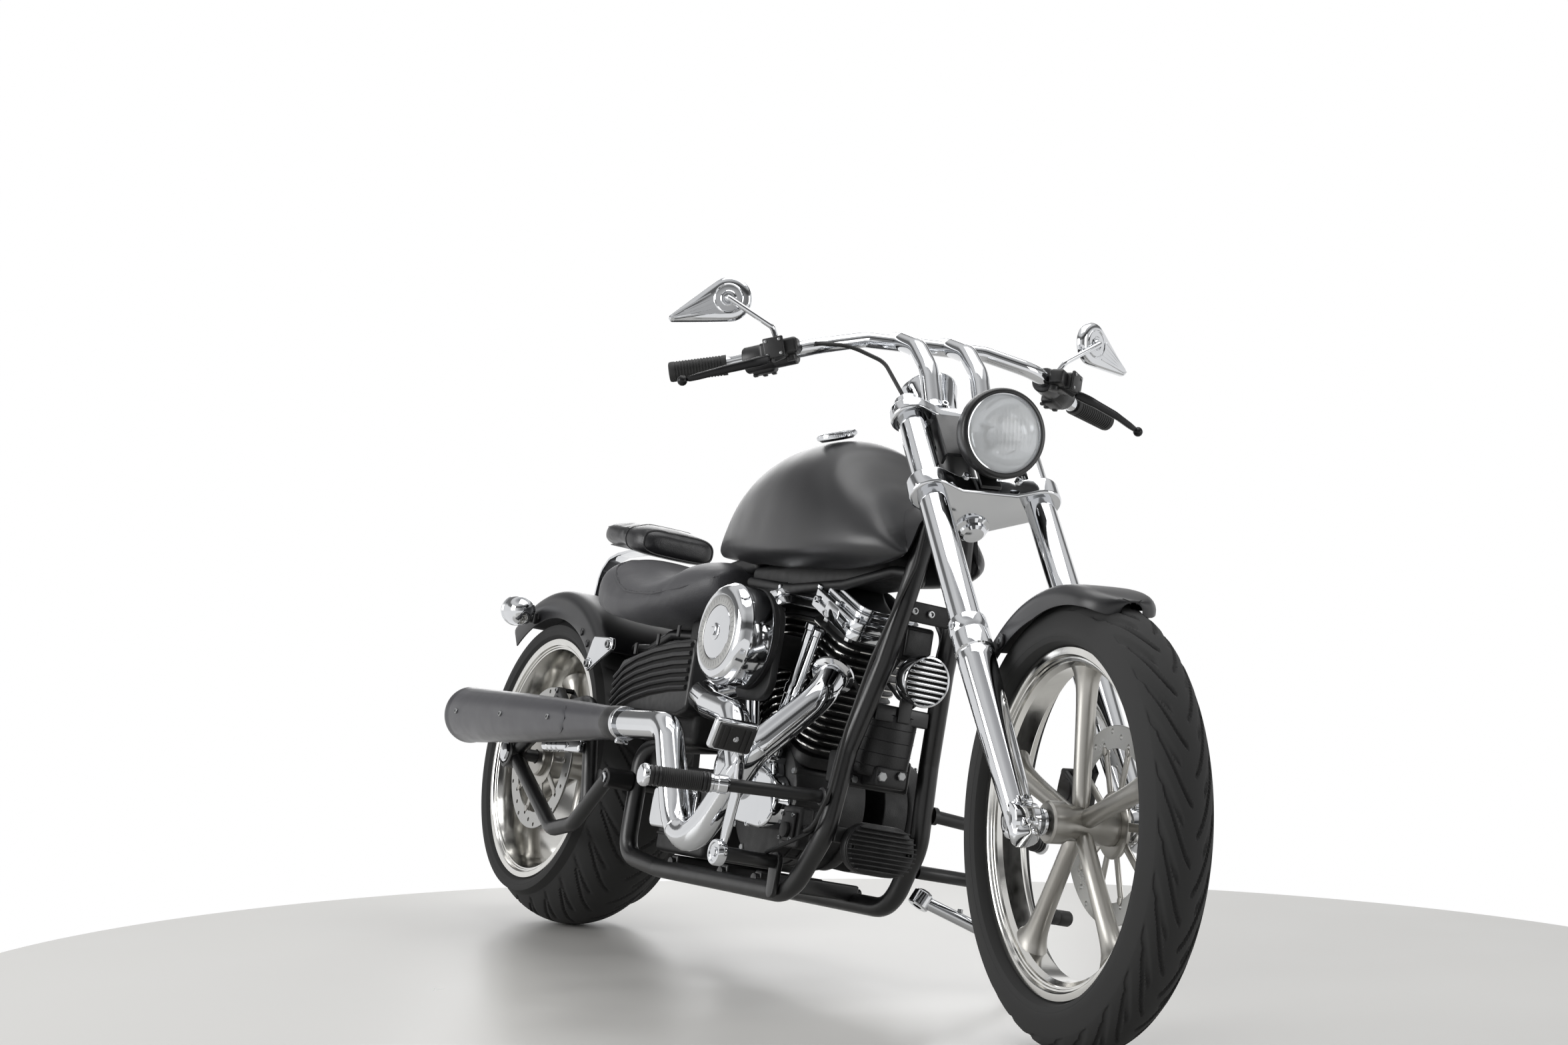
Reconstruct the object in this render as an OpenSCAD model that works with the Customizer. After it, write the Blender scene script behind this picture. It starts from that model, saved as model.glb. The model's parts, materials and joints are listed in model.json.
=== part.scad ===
// Chopper motorcycle, parked on its side stand with the bars turned to the right.
// Pieces are drawn upright with the bars straight: x forward from the rear axle,
// y to the left, z up from the ground, in millimetres. on_chassis(), on_fork() and
// parked() then turn the bars, lean the machine and set it on the floor.

/* [Stance] */
// Distance between the axles with the bars straight
wheelbase = 1758; // [1700:1:1850]
// Lean to the left on the side stand, degrees
lean = 10.65; // [6:0.05:13]
// Turn of the bars at rest, degrees, positive to the left
bar_turn = -10.35; // [-20:0.05:20]
// Angle of the steering head from upright, degrees
neck_rake = 37.17; // [30:0.01:42]
// Ground distance from the front axle to the steering axis
trail = 157.6; // [100:0.1:190]
// Angle of the fork legs from upright, degrees
fork_rake = 38; // [32:0.1:44]

/* [Front wheel] */
// Outer radius of the front tyre
front_tyre_r = 331; // [310:1:345]
// Width of the front tyre
front_tyre_w = 102; // [90:1:108]
// Radius of the front rim's outer edge
front_rim_r = 255; // [240:1:265]
// Width over the front rim's edges
front_rim_w = 66; // [56:1:74]
// Number of front spokes
front_spokes = 5; // [4:1:9]
// Radius of the front brake disc
front_disc_r = 146; // [120:1:155]

/* [Rear wheel] */
// Outer radius of the rear tyre
rear_tyre_r = 324.5; // [305:0.5:335]
// Width of the rear tyre
rear_tyre_w = 236; // [180:1:238]
// Radius of the rear tyre's tread crown
rear_crown_r = 130; // [120:1:180]
// Radius of the rear rim's outer edge
rear_rim_r = 245.5; // [230:0.5:255]
// Width over the rear rim's edges
rear_rim_w = 218; // [160:1:220]
// Radius of the rear brake disc
rear_disc_r = 145; // [120:1:155]

/* [Fork] */
// Distance from the centre plane to each fork leg
leg_y = 95; // [88:1:110]
// Radius of the fork tubes
fork_tube_r = 24.5; // [20:0.1:27]
// Radius of the sliders at their top
slider_r = 30.5; // [28:0.1:34]
// Distance along the leg from the axle to the slider's top
slider_top_s = 366; // [300:1:420]
// Distance along the leg from the axle to the lower clamp's middle
lower_clamp_s = 642; // [600:1:680]
// Distance along the leg from the axle to the upper clamp's middle
upper_clamp_s = 804; // [780:1:830]
// Radius of the axles
axle_r = 12.7; // [10:0.1:15]
// Bore through the hollow front axle
axle_bore_r = 7.5; // [4:0.1:9]

/* [Handlebar] */
// Radius of the handlebar tube
bar_r = 14; // [11:0.1:16]
// Radius of the grips
grip_r = 17.5; // [16:0.1:20]
// Radius of a mirror's round end
mirror_r = 39; // [30:1:50]

/* [Frame and bodywork] */
// Radius of the main frame tubes
tube_r = 17; // [14:0.5:20]
// Radius of the backbone tube
backbone_r = 25; // [20:0.5:27]
// Half width of the fuel tank
tank_half_w = 152; // [130:1:170]
// Air gap between the rear tyre and its fender
rear_fender_gap = 17; // [12:1:30]
// Air gap between the front tyre and its fender
front_fender_gap = 11; // [8:1:14]
// Thickness of the fender sheets
sheet_t = 4; // [3:0.5:5]

/* [Engine and exhaust] */
// Half of the angle between the two cylinders, degrees
bank_angle = 22.5; // [20:0.5:26]
// Radius of the air cleaner
air_cleaner_r = 88; // [70:1:95]
// Radius of the exhaust pipes
pipe_r = 26; // [20:0.5:27]
// Radius of the muffler at its outlet
muffler_r = 56; // [45:1:60]
// Width of the drive belt
belt_w = 22; // [18:1:24]

/* [Hidden] */

$fn = 48;
fit = 0.05;        // radial clearance of a shaft in its bore
seat_gap = 0.3;    // gap between pieces that rest on each other
eps = 0.01;
front_crown_r = front_tyre_w / 2;

// ---------- points and turns ----------
function unit(v) = v / norm(v);
function roll_x(p, a) = [p[0], p[1] * cos(a) - p[2] * sin(a), p[1] * sin(a) + p[2] * cos(a)];
function turned(p, a, k) = p * cos(a) + cross(k, p) * sin(a) + k * (k * p) * (1 - cos(a));
function side(p, s) = [p[0], s * p[1], p[2]];

rear_axle = [0, 0, rear_tyre_r];
front_axle = [wheelbase, 0, front_tyre_r];
steer_foot = [wheelbase + trail, 0, 0];
steer_dir = [-sin(neck_rake), 0, cos(neck_rake)];
leg_dir = [-sin(fork_rake), 0, cos(fork_rake)];
leg_fwd = [cos(fork_rake), 0, sin(fork_rake)];

function steered(p) = steer_foot + turned(p - steer_foot, bar_turn, steer_dir);
function steer_point(z) = [steer_foot[0] - z * tan(neck_rake), 0, z];
// A point of the fork: s up the leg line, f forward of it, y to the left
function on_leg(s, f = 0, y = 0) = front_axle + s * leg_dir + f * leg_fwd + [0, y, 0];

// Leaning rolls the machine about the centre of the rear tyre's crown, so the tyre
// still touches the floor; a small pitch about the rear axle brings the front tyre down.
crown = [0, 0, rear_crown_r];
function leaned(p) = roll_x(p - crown, -lean) + crown;
front_spin = roll_x(turned([0, 1, 0], bar_turn, steer_dir), -lean);
front_hub = leaned(steered(front_axle));
rear_hub = leaned(rear_axle);
front_low = front_hub[2] - (front_tyre_r - front_crown_r) * sqrt(1 - front_spin[2] * front_spin[2])
            - front_crown_r;
pitch = asin(front_low / (front_hub[0] - rear_hub[0]));
function pitched(p) = rear_hub + turned(p - rear_hub, pitch, [0, 1, 0]);
function unpitched(p) = rear_hub + turned(p - rear_hub, -pitch, [0, 1, 0]);
function unparked(p) = roll_x(unpitched(p + origin_shift) - crown, lean) + crown;

module parked() {
    translate(-origin_shift) translate(rear_hub) rotate([0, pitch, 0]) translate(-rear_hub)
        translate(crown) rotate([-lean, 0, 0]) translate(-crown) children();
}
module on_chassis() { parked() children(); }
module on_fork() {
    parked() translate(steer_foot) rotate(a = bar_turn, v = steer_dir) translate(-steer_foot) children();
}
module both_sides() {
    children();
    mirror([0, 1, 0]) children();
}

// ---------- shapes used by many pieces ----------
// Places children with their z axis along a direction and y kept level
module facing(p, dir) {
    w = unit(dir);
    u = abs(w[2]) > 0.999 ? [1, 0, 0] : unit(cross([0, 0, 1], w));
    v = cross(w, u);
    multmatrix([[u[0], v[0], w[0], p[0]], [u[1], v[1], w[1], p[1]], [u[2], v[2], w[2], p[2]], [0, 0, 0, 1]])
        children();
}
module rod(a, b, r, r2 = -1) {
    facing(a, b - a) cylinder(h = norm(b - a), r1 = r, r2 = r2 < 0 ? r : r2);
}
module tube(a, b, r, bore) {
    difference() {
        rod(a, b, r);
        rod(a - unit(b - a), b + unit(b - a), bore);
    }
}
// Turn and tangent length of the elbow at point i of a route
function elbow_turn(p, i) = acos(min(1, max(-1, unit(p[i] - p[i - 1]) * unit(p[i + 1] - p[i]))));
function elbow_len(p, i, bend) =
    min(bend * tan(elbow_turn(p, i) / 2), 0.49 * norm(p[i] - p[i - 1]), 0.49 * norm(p[i + 1] - p[i]));
// Points round one elbow: from the tangent point before the corner to the one after it
function elbow(p, i, bend, n) =
    let (a = unit(p[i] - p[i - 1]), b = unit(p[i + 1] - p[i]), t = elbow_len(p, i, bend), w = elbow_turn(p, i),
         r = t / tan(w / 2), m = unit(b - a * (a * b)), c = p[i] - a * t + m * r)
    [for (k = [0 : n]) c - m * r * cos(w * k / n) + a * r * sin(w * k / n)];
function bend_at(bend, i) = is_list(bend) ? bend[i - 1] : bend;
function rounded_route(p, bend, n) =
    [p[0], for (i = [1 : len(p) - 2], q = elbow_turn(p, i) < 1 ? [p[i]] : elbow(p, i, bend_at(bend, i), n)) q,
     p[len(p) - 1]];
function path_dir(p, i) = unit(unit(p[min(i + 1, len(p) - 1)] - p[min(i, len(p) - 2)])
                               + unit(p[max(i, 1)] - p[max(i - 1, 0)]));
function side_of(t) = unit(abs(t[2]) > 0.9 ? cross(t, [1, 0, 0]) : cross(t, [0, 0, 1]));
function carried(n, t) = unit(n - t * (n * t));
function path_normals(p, i = 0, prev = []) =
    i == len(p) ? [] :
    let (t = path_dir(p, i), n = i == 0 ? side_of(t) : carried(prev, t))
    concat([n], path_normals(p, i + 1, n));
// A round section swept along a path of points, with r at its start and r2 at its end
module swept(p, r, sides, r2 = -1) {
    n = path_normals(p);
    last = len(p) - 1;
    rings = [for (i = [0 : last], k = [0 : sides - 1])
        let (t = path_dir(p, i), a = 360 * k / sides, q = r2 < 0 ? r : r + (r2 - r) * i / last)
        p[i] + q * (cos(a) * n[i] + sin(a) * cross(t, n[i]))];
    polyhedron(rings, concat(
        [[for (k = [0 : sides - 1]) k]],
        [[for (k = [sides - 1 : -1 : 0]) last * sides + k]],
        [for (i = [0 : last - 1], k = [0 : sides - 1])
            [i * sides + k, (i + 1) * sides + k, (i + 1) * sides + (k + 1) % sides]],
        [for (i = [0 : last - 1], k = [0 : sides - 1])
            [i * sides + k, (i + 1) * sides + (k + 1) % sides, i * sides + (k + 1) % sides]]), convexity = 6);
}
// A round bar or tube bent along a route; bend is one elbow radius, or a list of one for each corner
module bent(pts, r, bend, sides = 16, steps = 4) { swept(rounded_route(pts, bend, steps), r, sides); }
// A cylinder lying across the machine, from y0 to y1
module across(x, z, y0, y1, r) {
    translate([x, min(y0, y1), z]) rotate([-90, 0, 0]) cylinder(h = abs(y1 - y0), r = r);
}
// A plate across the machine whose outline is drawn in x and z
module plate(y0, y1) {
    translate([0, max(y0, y1), 0]) rotate([90, 0, 0]) linear_extrude(abs(y1 - y0)) children();
}
// Outline that joins two circles by their common tangents
function arc(c, r, a0, a1, n) = [for (i = [0 : n]) c + r * [cos(a0 + (a1 - a0) * i / n), sin(a0 + (a1 - a0) * i / n)]];
module pear(a, ra, b, rb) {
    th = acos((ra - rb) / norm(b - a));
    ang = atan2(b[1] - a[1], b[0] - a[0]);
    polygon(concat(arc(a, ra, ang + th, ang + 360 - th, 32), arc(b, rb, ang - th, ang + th, 24)));
}
module rounded(w, h, r) {
    square([w - 2 * r, h], center = true);
    square([w, h - 2 * r], center = true);
    for (sx = [-1, 1], sz = [-1, 1]) translate([sx * (w / 2 - r), sz * (h / 2 - r)]) circle(r = r);
}
// A body of revolution about a wheel's axle; the profile is drawn as [radius, y]
module wheel_turned(centre) {
    translate(centre) rotate([-90, 0, 0]) rotate_extrude($fn = 96) children();
}
// The same over part of the circle, from a0 to a1 degrees above the forward direction
module wheel_arc(centre, a0, a1) {
    translate(centre) rotate([-90, 0, 0]) rotate([0, 0, -a1]) rotate_extrude(angle = a1 - a0, $fn = 96) children();
}
// A frame on the leg line: x forward of it, y to the left, z up the leg
module at_leg(s) {
    p = on_leg(s);
    multmatrix([[leg_fwd[0], 0, leg_dir[0], p[0]], [0, 1, 0, 0], [leg_fwd[2], 0, leg_dir[2], p[2]], [0, 0, 0, 1]])
        children();
}
// How far a short cylinder reaches along a row axis
function reach(n, h, r, k) = h * abs(n[k]) + r * sqrt(max(0, 1 - n[k] * n[k]));

// ---------- cables ----------
// A smooth line through the chosen points
function blend3(a, b, c, d, t) =
    0.5 * ((2 * b) + (c - a) * t + (2 * a - 5 * b + 4 * c - d) * t * t + (3 * b - a - 3 * c + d) * t * t * t);
function smooth(p, n) =
    [for (i = [0 : len(p) - 2], k = [0 : n - 1])
        blend3(p[max(i - 1, 0)], p[i], p[i + 1], p[min(i + 2, len(p) - 1)], k / n), p[len(p) - 1]];
module cable(route, r, steps = 3) { swept(smooth(route, steps), r, 8); }

// ---------- lofted bodies with a channel under them ----------
// Each station is [x, top z, bottom z, half width, height of the widest point,
// channel half width, channel top, forward shift of the low edge]
loft_n = 28;
function channel_start(s) = -acos(pow(min(0.95, s[5] / s[3]), 1.2));
function loft_point(s, a) =
    let (c = cos(a), h = sin(a), up = h >= 0,
         y = s[3] * sign(c) * pow(abs(c), 1 / 1.2),
         z = s[4] + (up ? s[1] - s[4] : s[4] - s[2]) * sign(h) * pow(abs(h), 1 / 1.2))
    [s[0] + s[7] * (s[1] - z) / (s[1] - s[2]), -y, z];
function loft_ring(s) =
    let (a0 = channel_start(s), first = loft_point(s, a0), lean_at = s[7] * (s[1] - s[6]) / (s[1] - s[2]))
    concat([for (i = [0 : loft_n]) loft_point(s, a0 + (180 - 2 * a0) * i / loft_n)],
           [[s[0] + lean_at, -first[1], s[6]], [s[0] + lean_at, first[1], s[6]]]);
module loft(stations) {
    rings = [for (s = stations) loft_ring(s)];
    m = loft_n + 3;
    pts = [for (r = rings, p = r) p];
    last = (len(stations) - 1) * m;
    mid = loft_n / 2;
    // Each end face goes round the channel: a fan from either top corner of it, and one between them
    cap = concat([for (k = [0 : mid - 1]) [m - 1, k, k + 1]], [for (k = [mid : m - 4]) [m - 2, k, k + 1]],
                 [[mid, m - 2, m - 1]]);
    polyhedron(pts, concat(
        [for (t = cap) [t[2], t[1], t[0]]],
        [for (t = cap) [last + t[0], last + t[1], last + t[2]]],
        [for (i = [0 : len(stations) - 2], k = [0 : m - 1])
            [i * m + k, (i + 1) * m + (k + 1) % m, (i + 1) * m + k]],
        [for (i = [0 : len(stations) - 2], k = [0 : m - 1])
            [i * m + k, i * m + (k + 1) % m, (i + 1) * m + (k + 1) % m]]), convexity = 8);
}

// ---------- key places ----------
neck_low_s = lower_clamp_s + 26;     // the neck's ends, measured up the leg line
neck_top_s = upper_clamp_s - 15;
neck_r = 30;
stem_r = 12.5;
// Height on the steering axis of a station s up the leg line
function axis_z(s) = (s + (steer_foot[0] - front_axle[0]) * sin(fork_rake) + front_axle[2] * cos(fork_rake))
                     / (tan(neck_rake) * sin(fork_rake) + cos(fork_rake));
function stem_back(s) = (steer_point(axis_z(s)) - front_axle) * leg_fwd;
neck_low = steer_point(axis_z(neck_low_s));
neck_top = steer_point(axis_z(neck_top_s));

case_floor = 182;    // underside of the engine and the gearbox
engine_bars = [655, 850, 975];
crank = [905, 0, 305];
case_r = 108;
drive_shaft = [640, 0, 305];
bank_len = 90;       // half length of a rocker cover along the machine
bank_half_w = 72;    // half width of the cylinders
deck_s = 114;        // lowest fin and the tops, above the crank, up each cylinder
barrel_top_s = 252;
head_top_s = 336;
cover_top_s = 392;
port = [1090, -79, 524];

arm_y = 166;         // centre of each swing arm
arm_r = 15;
pivot = [465, 0, 300];
pivot_r = 19;
rail_z = 152;
rail_y = 98;
upright_x = 465;
rear_fender_in = rear_tyre_r + rear_fender_gap;
rear_fender_y = rear_tyre_w / 2 + 8;
upright_y = 104;
belt_y = 135;        // middle of the drive belt
pulley_r = 100;
drive_pulley_r = 45;
belt_t = 4.5;

air_box = [910, -222, 570];
muffler_front = [600, -235, 397];
muffler_back = [-101, -235, 387];
muffler_depth = 140;
function muffler_line(x) = muffler_front + (x - muffler_front[0]) / (muffler_back[0] - muffler_front[0])
                           * (muffler_back - muffler_front);
tank_cap = [930, -55.3, 941.7];
tank_cap_r = 36;
tank_cap_tilt = 22;

peg_y = 400;
peg_end = [1084, -peg_y, 305];
peg_root = [1171, -(86.5 + tube_r + seat_gap), 318];
peg_cap_r = 19;
mirror_tip = [997, 430, 1121];
mirror_hub = [1040, 345, 1158];
mirror_tip_r = 7;
mirror_t = 20;
mirror_face = -unit(cross(mirror_tip - mirror_hub, [0, 0, 1]));
bar_route = [[1084, 0, 1114], [1086, 111, 1109], [1100, 205, 1086], [1008, 322, 1052], [969, 415, 1033]];
grip_dir = unit(bar_route[4] - bar_route[3]);
control_dir = unit(bar_route[3] - bar_route[2]);

// The origin is on the floor under the middle of the outline.
front_out = pitched(front_hub);
front_spin_p = turned(front_spin, pitch, [0, 1, 0]);
x_max = front_out[0] + reach(front_spin_p, 0, front_tyre_r - front_crown_r, 0) + front_crown_r;
x_min = rear_hub[0] - rear_tyre_r;
mirror_face_p = turned(roll_x(turned(mirror_face, bar_turn, steer_dir), -lean), pitch, [0, 1, 0]);
y_max = pitched(leaned(steered(mirror_tip)))[1] + reach(mirror_face_p, mirror_t / 2, mirror_tip_r, 1);
y_min = pitched(leaned(peg_end))[1] - peg_cap_r * sin(lean);
origin_shift = [(x_max + x_min) / 2, (y_max + y_min) / 2, 0];

stand_pivot = [1083, 165, 176];
stand_knee = [1162, 262, 138];
stand_r = 11;
stand_foot_x = 1196;     // where the stand meets the floor, from the rear axle
stand_foot_y = 335;
stand_pad_r = 26;
stand_pad_t = 9;
stand_ankle = unparked([stand_foot_x, stand_foot_y, stand_pad_t + 4] - origin_shift);
stand_stow = [-0.98, 0.14, -0.02];
stand_axis = unit(cross(stand_ankle - stand_pivot, stand_stow));
stand_pin_r = 8;
stand_eye_t = 26;

// ---------- chassis ----------
module frame() {
    down = [[1244, 20, 862], [1247, 36, 770], [1236, 50, 655], [1214, 58, 550], [1177, 80, 400],
            [1168, 90, 262], [1095, rail_y, rail_z], [600, rail_y, rail_z], [upright_x, upright_y, 165],
            [upright_x, upright_y, 372], [590, 8, 392]];
    color("#17171a") on_chassis() {
        difference() {
            union() {
                rod(neck_low, neck_top, neck_r);
                both_sides() bent(down, tube_r, [60, 60, 60, 60, 90, 90, 60, 50, 50]);
                bent([[1285, 0, 832], [1180, 0, 794], [725, 0, 752], [600, 0, 600], [585, 0, 385]],
                     backbone_r, [60, 60, 60]);
            }
            rod(neck_low - 20 * steer_dir, neck_top + 20 * steer_dir, stem_r + fit);
        }
        // cross members for the engine and the horn
        for (m = [[1194, 52, 470], [1168, 78, 262]])
            translate([m[0] - 8, -m[1], m[2] - 14]) cube([16, 2 * m[1], 28]);
        for (x = engine_bars)
            translate([x - 12, -rail_y, rail_z]) cube([24, 2 * rail_y, case_floor - seat_gap - rail_z]);
        // rails under the seat, out to the top of the rear fender
        fender_x = 262;
        fender_z = rear_tyre_r + sqrt(pow(rear_fender_in + sheet_t, 2) - fender_x * fender_x);
        both_sides() bent([[fender_x, 60, fender_z + 10 + seat_gap], [335, 60, fender_z + 10], [400, 50, 592],
                           [560, 36, 590], [604, 0, 590]], 10, 40, 12);
        // side stand bracket and its pin
        rod(stand_pivot - (stand_eye_t / 2 + 16) * stand_axis, stand_pivot - (stand_eye_t / 2 + seat_gap) * stand_axis, 20);
        rod(stand_pivot - (stand_eye_t / 2 + 18) * stand_axis, [1083, rail_y, rail_z + 8], 13);
        rod(stand_pivot - (stand_eye_t / 2 + 5) * stand_axis, stand_pivot + (stand_eye_t / 2 + 3) * stand_axis, stand_pin_r);
    }
}

module swingarm() {
    color("#1b1b1e") on_chassis() {
        both_sides() {
            bent([[0, arm_y, rear_tyre_r], [250, arm_y, 188], [345, arm_y, 205], [pivot[0], arm_y, pivot[2]]],
                 arm_r, 50);
            bent([[0, arm_y, rear_tyre_r], [190, arm_y, 418], [335, arm_y, 440], [395, arm_y, 250]], arm_r, 40);
            across(0, rear_tyre_r, 152, arm_y + 20, 31);
            across(pivot[0], pivot[2], upright_y + tube_r + seat_gap, arm_y + 8, pivot_r);
        }
        across(418, pivot[2], -arm_y, arm_y, arm_r);
        across(0, rear_tyre_r, -arm_y - 26, arm_y + 26, axle_r);
    }
}

// One cylinder's own frame: z up the cylinder from the crank; s is 1 in front, -1 behind
module bank(s) {
    translate(crank) rotate([0, s * bank_angle, 0]) children();
}
module bank_block(z0, z1, lx, wy, corner) {
    translate([0, 0, z0]) linear_extrude(z1 - z0) rounded(lx, wy, corner);
}

module crankcase() {
    color("#141416") on_chassis() {
        across(crank[0], crank[2], -bank_half_w, bank_half_w, case_r);
        plate(-bank_half_w + 1, bank_half_w - 1) polygon([[815, case_floor], [1000, case_floor], [1045, 235], [1045, 300], [900, 340], [785, 300]]);
    }
}
module cylinders() {
    color("#1c1c1f") on_chassis() difference() {
        for (s = [-1, 1]) bank(s) {
            bank_block(70, head_top_s, 112, 112, 40);
            for (i = [0 : 13]) bank_block(deck_s + 12 + i * 14.5, deck_s + 18 + i * 14.5, i < 9 ? 140 : 156,
                                          2 * bank_half_w, 34);
        }
        across(crank[0], crank[2], -bank_half_w - 1, bank_half_w + 1, case_r + seat_gap);
    }
}
module rocker_covers() {
    color("#d9dce0") on_chassis() for (s = [-1, 1]) bank(s) {
        bank_block(head_top_s + seat_gap, cover_top_s - 22, 2 * bank_len, 2 * bank_half_w + 6, 22);
        bank_block(cover_top_s - 23, cover_top_s, 2 * bank_len - 26, 2 * bank_half_w - 18, 26);
    }
}
module cam_cover() {
    color("#d4d7db") on_chassis() {
        plate(-bank_half_w - seat_gap, -108) {
            translate([900, 330]) circle(r = 70);
            pear([870, 318], 60, [958, 300], 48);
        }
        across(852, 345, -108 - eps, -128, 52);
        // pushrod tubes, up to the heads
        for (s = [-1, 1], k = [0, 1]) {
            low = [905 + s * (24 + 20 * k), -88, 382];
            top = crank + [s * (sin(bank_angle) * 318 + cos(bank_angle) * (-26 + 30 * k)), -bank_half_w - 14,
                           cos(bank_angle) * 318 + sin(bank_angle) * (26 - 30 * k)];
            rod(low, top, 9);
        }
    }
}
module air_cleaner() {
    color("#dfe2e5") on_chassis() {
        wheel_turned([air_box[0], 0, air_box[2]])
            polygon([[0, -222], [60, -222], [76, -217], [85, -207], [air_cleaner_r, -194], [air_cleaner_r, -158],
                     [83, -150], [60, -144], [0, -144]]);
        plate(-144 + eps, -128) translate([air_box[0] + 14, air_box[2] - 20]) rounded(130, 170, 20);
        across(air_box[0], air_box[2] - 10, -bank_half_w - 3, -129, 30);
        translate([780, -bank_half_w - 4.5, air_box[2] - 24]) cube([250, 4.5 - seat_gap, 26]);
    }
}
module primary_cover() {
    color("#1a1a1d") on_chassis() {
        plate(158, 212) pear([crank[0], crank[2]], 104, [drive_shaft[0], drive_shaft[2]], 96);
        across(crank[0], crank[2], bank_half_w + seat_gap, 158 + eps, 96);
        across(drive_shaft[0] + 12, drive_shaft[2], 212 - eps, 222, 66);
    }
}
module gearbox() {
    color("#161618") on_chassis() {
        plate(-96, 110) translate([655, 262]) rounded(190, 160, 24);
        plate(-96 + eps, -140) translate([655, 262]) rounded(110, 76, 16);
        across(drive_shaft[0], drive_shaft[2], 110 - eps, 150, drive_pulley_r);
    }
}
module oil_tank() {
    color("#1d1d20") on_chassis() difference() {
        plate(-143, 143) polygon([[352, 432], [352, 500], [376, 528], [560, 566], [662, 572], [676, 545], [676, 440], [640, 428]]);
        translate([545, -backbone_r - seat_gap, 400]) cube([150, 2 * (backbone_r + seat_gap), 200]);
    }
}

front_header = [port, [1122, -118, 478], [1096, -210, 374], [952, -236, 168], muffler_line(822), muffler_line(590)];
rear_header = [[786, -80.5, 500], [752, -152, 468], [868, -184, 447], [1010, -208, 430], [1078, -217, 338]];
module exhaust_pipes() {
    color("#d8dadd") on_chassis() {
        swept(rounded_route(front_header, [60, 70, 78, 46], 6), pipe_r, 20);
        swept(rounded_route(rear_header, [34, 60, 50], 4), pipe_r - 1, 16);
    }
}
module muffler() {
    long = norm(muffler_front - muffler_back);
    waist = 0.42 * long;
    neck = pipe_r + 4;
    color("#3a3a3f") on_chassis() facing(muffler_back, unit(muffler_front - muffler_back))
        rotate_extrude($fn = 72)
            polygon([[muffler_r - 6, 0], [muffler_r, 0], [muffler_r - 8, waist], [neck, long], [neck, long + 38],
                     [pipe_r + seat_gap, long + 38], [pipe_r + seat_gap, long - 20], [0, long - 20],
                     [0, muffler_depth], [muffler_r - 10, muffler_depth]]);
}

// [x, top, bottom, half width, widest height, channel half width, channel top, forward shift]
tank_stations = [
    [478, 778, 748, 22, 762, 14, 751, 0],
    [505, 808, 742, 34, 766, 24, 746, 0],
    [545, 848, 738, 50, 770, 30, 744, 0],
    [600, 886, 732, 72, 768, 34, 742, 0],
    [680, 918, 720, 100, 762, 34, 754.8, 0],
    [780, 940, 708, 127, 754, 68, 798.6, 0],
    [890, 950, 699, 146, 748, 68, 808, 0],
    [1000, 948, 694, 152, 746, 68, 814, 6],
    [1085, 930, 692, 146, 748, 68, 832, 20],
    [1150, 900, 694, 132, 754, 68, 848, 44],
    [1192, 868, 704, 112, 764, 66, 846, 62],
    [1212, 848, 718, 92, 774, 66, 838, 66]];
module fuel_tank() {
    color("#2b2b30") on_chassis() loft([for (s = tank_stations)
        [s[0], s[1], s[2], s[3] * tank_half_w / 152, s[4], s[5], s[6], s[7]]]);
}
module fuel_cap() {
    color("#d9dbde") on_chassis() translate(tank_cap) rotate([tank_cap_tilt, 0, 0]) cylinder(h = 17, r = tank_cap_r);
}

seat_stations = [
    [646, 722, 642, 98, 690, 40, 714, 0],
    [610, 728, 626, 120, 680, 40, 702, 0],
    [560, 732, 614, 136, 670, 60, 660, 0],
    [520, 728, 598, 146, 662, 70, 600.9, 0],
    [460, 705, 594, 154, 655, 76, 601.6, 0],
    [400, 702, 586, 157, 650, 84, 604, 0],
    [335, 718, 580, 157, 648, 134, 606, 0],
    [280, 735, 578, 154, 650, 134, 618, 0],
    [240, 745, 580, 150, 655, 134, 640, 0],
    [210, 747, 594, 144, 665, 133, 654, 0],
    [185, 742, 622, 128, 680, 112, 660, 0],
    [165, 730, 648, 100, 690, 80, 668, 0],
    [150, 712, 668, 60, 692, 40, 672, 0]];
module seat() {
    color("#3d3d42") on_chassis() loft([for (i = [len(seat_stations) - 1 : -1 : 0]) seat_stations[i]]);
}
// Pad: its side outline, a flat rear part and a deep front
pad_x = 157;
pad_long = 214;
pad_wide = 186;
function pad_under(x) = 771 - (x - 60) * 4 / 110 - seat_gap;
module pillion_pad() {
    color("#18181b") on_chassis() intersection() {
        translate([pad_x, 0, 700]) linear_extrude(200) rounded(pad_long, pad_wide, 46);
        plate(-pad_wide, pad_wide)
            polygon([[50, 778], [60, 771], [170, 767], [200, 750], [246, 750], [262, 764], [264, 790], [254, 804],
                     [160, 812], [64, 817], [50, 808]]);
    }
}

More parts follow.
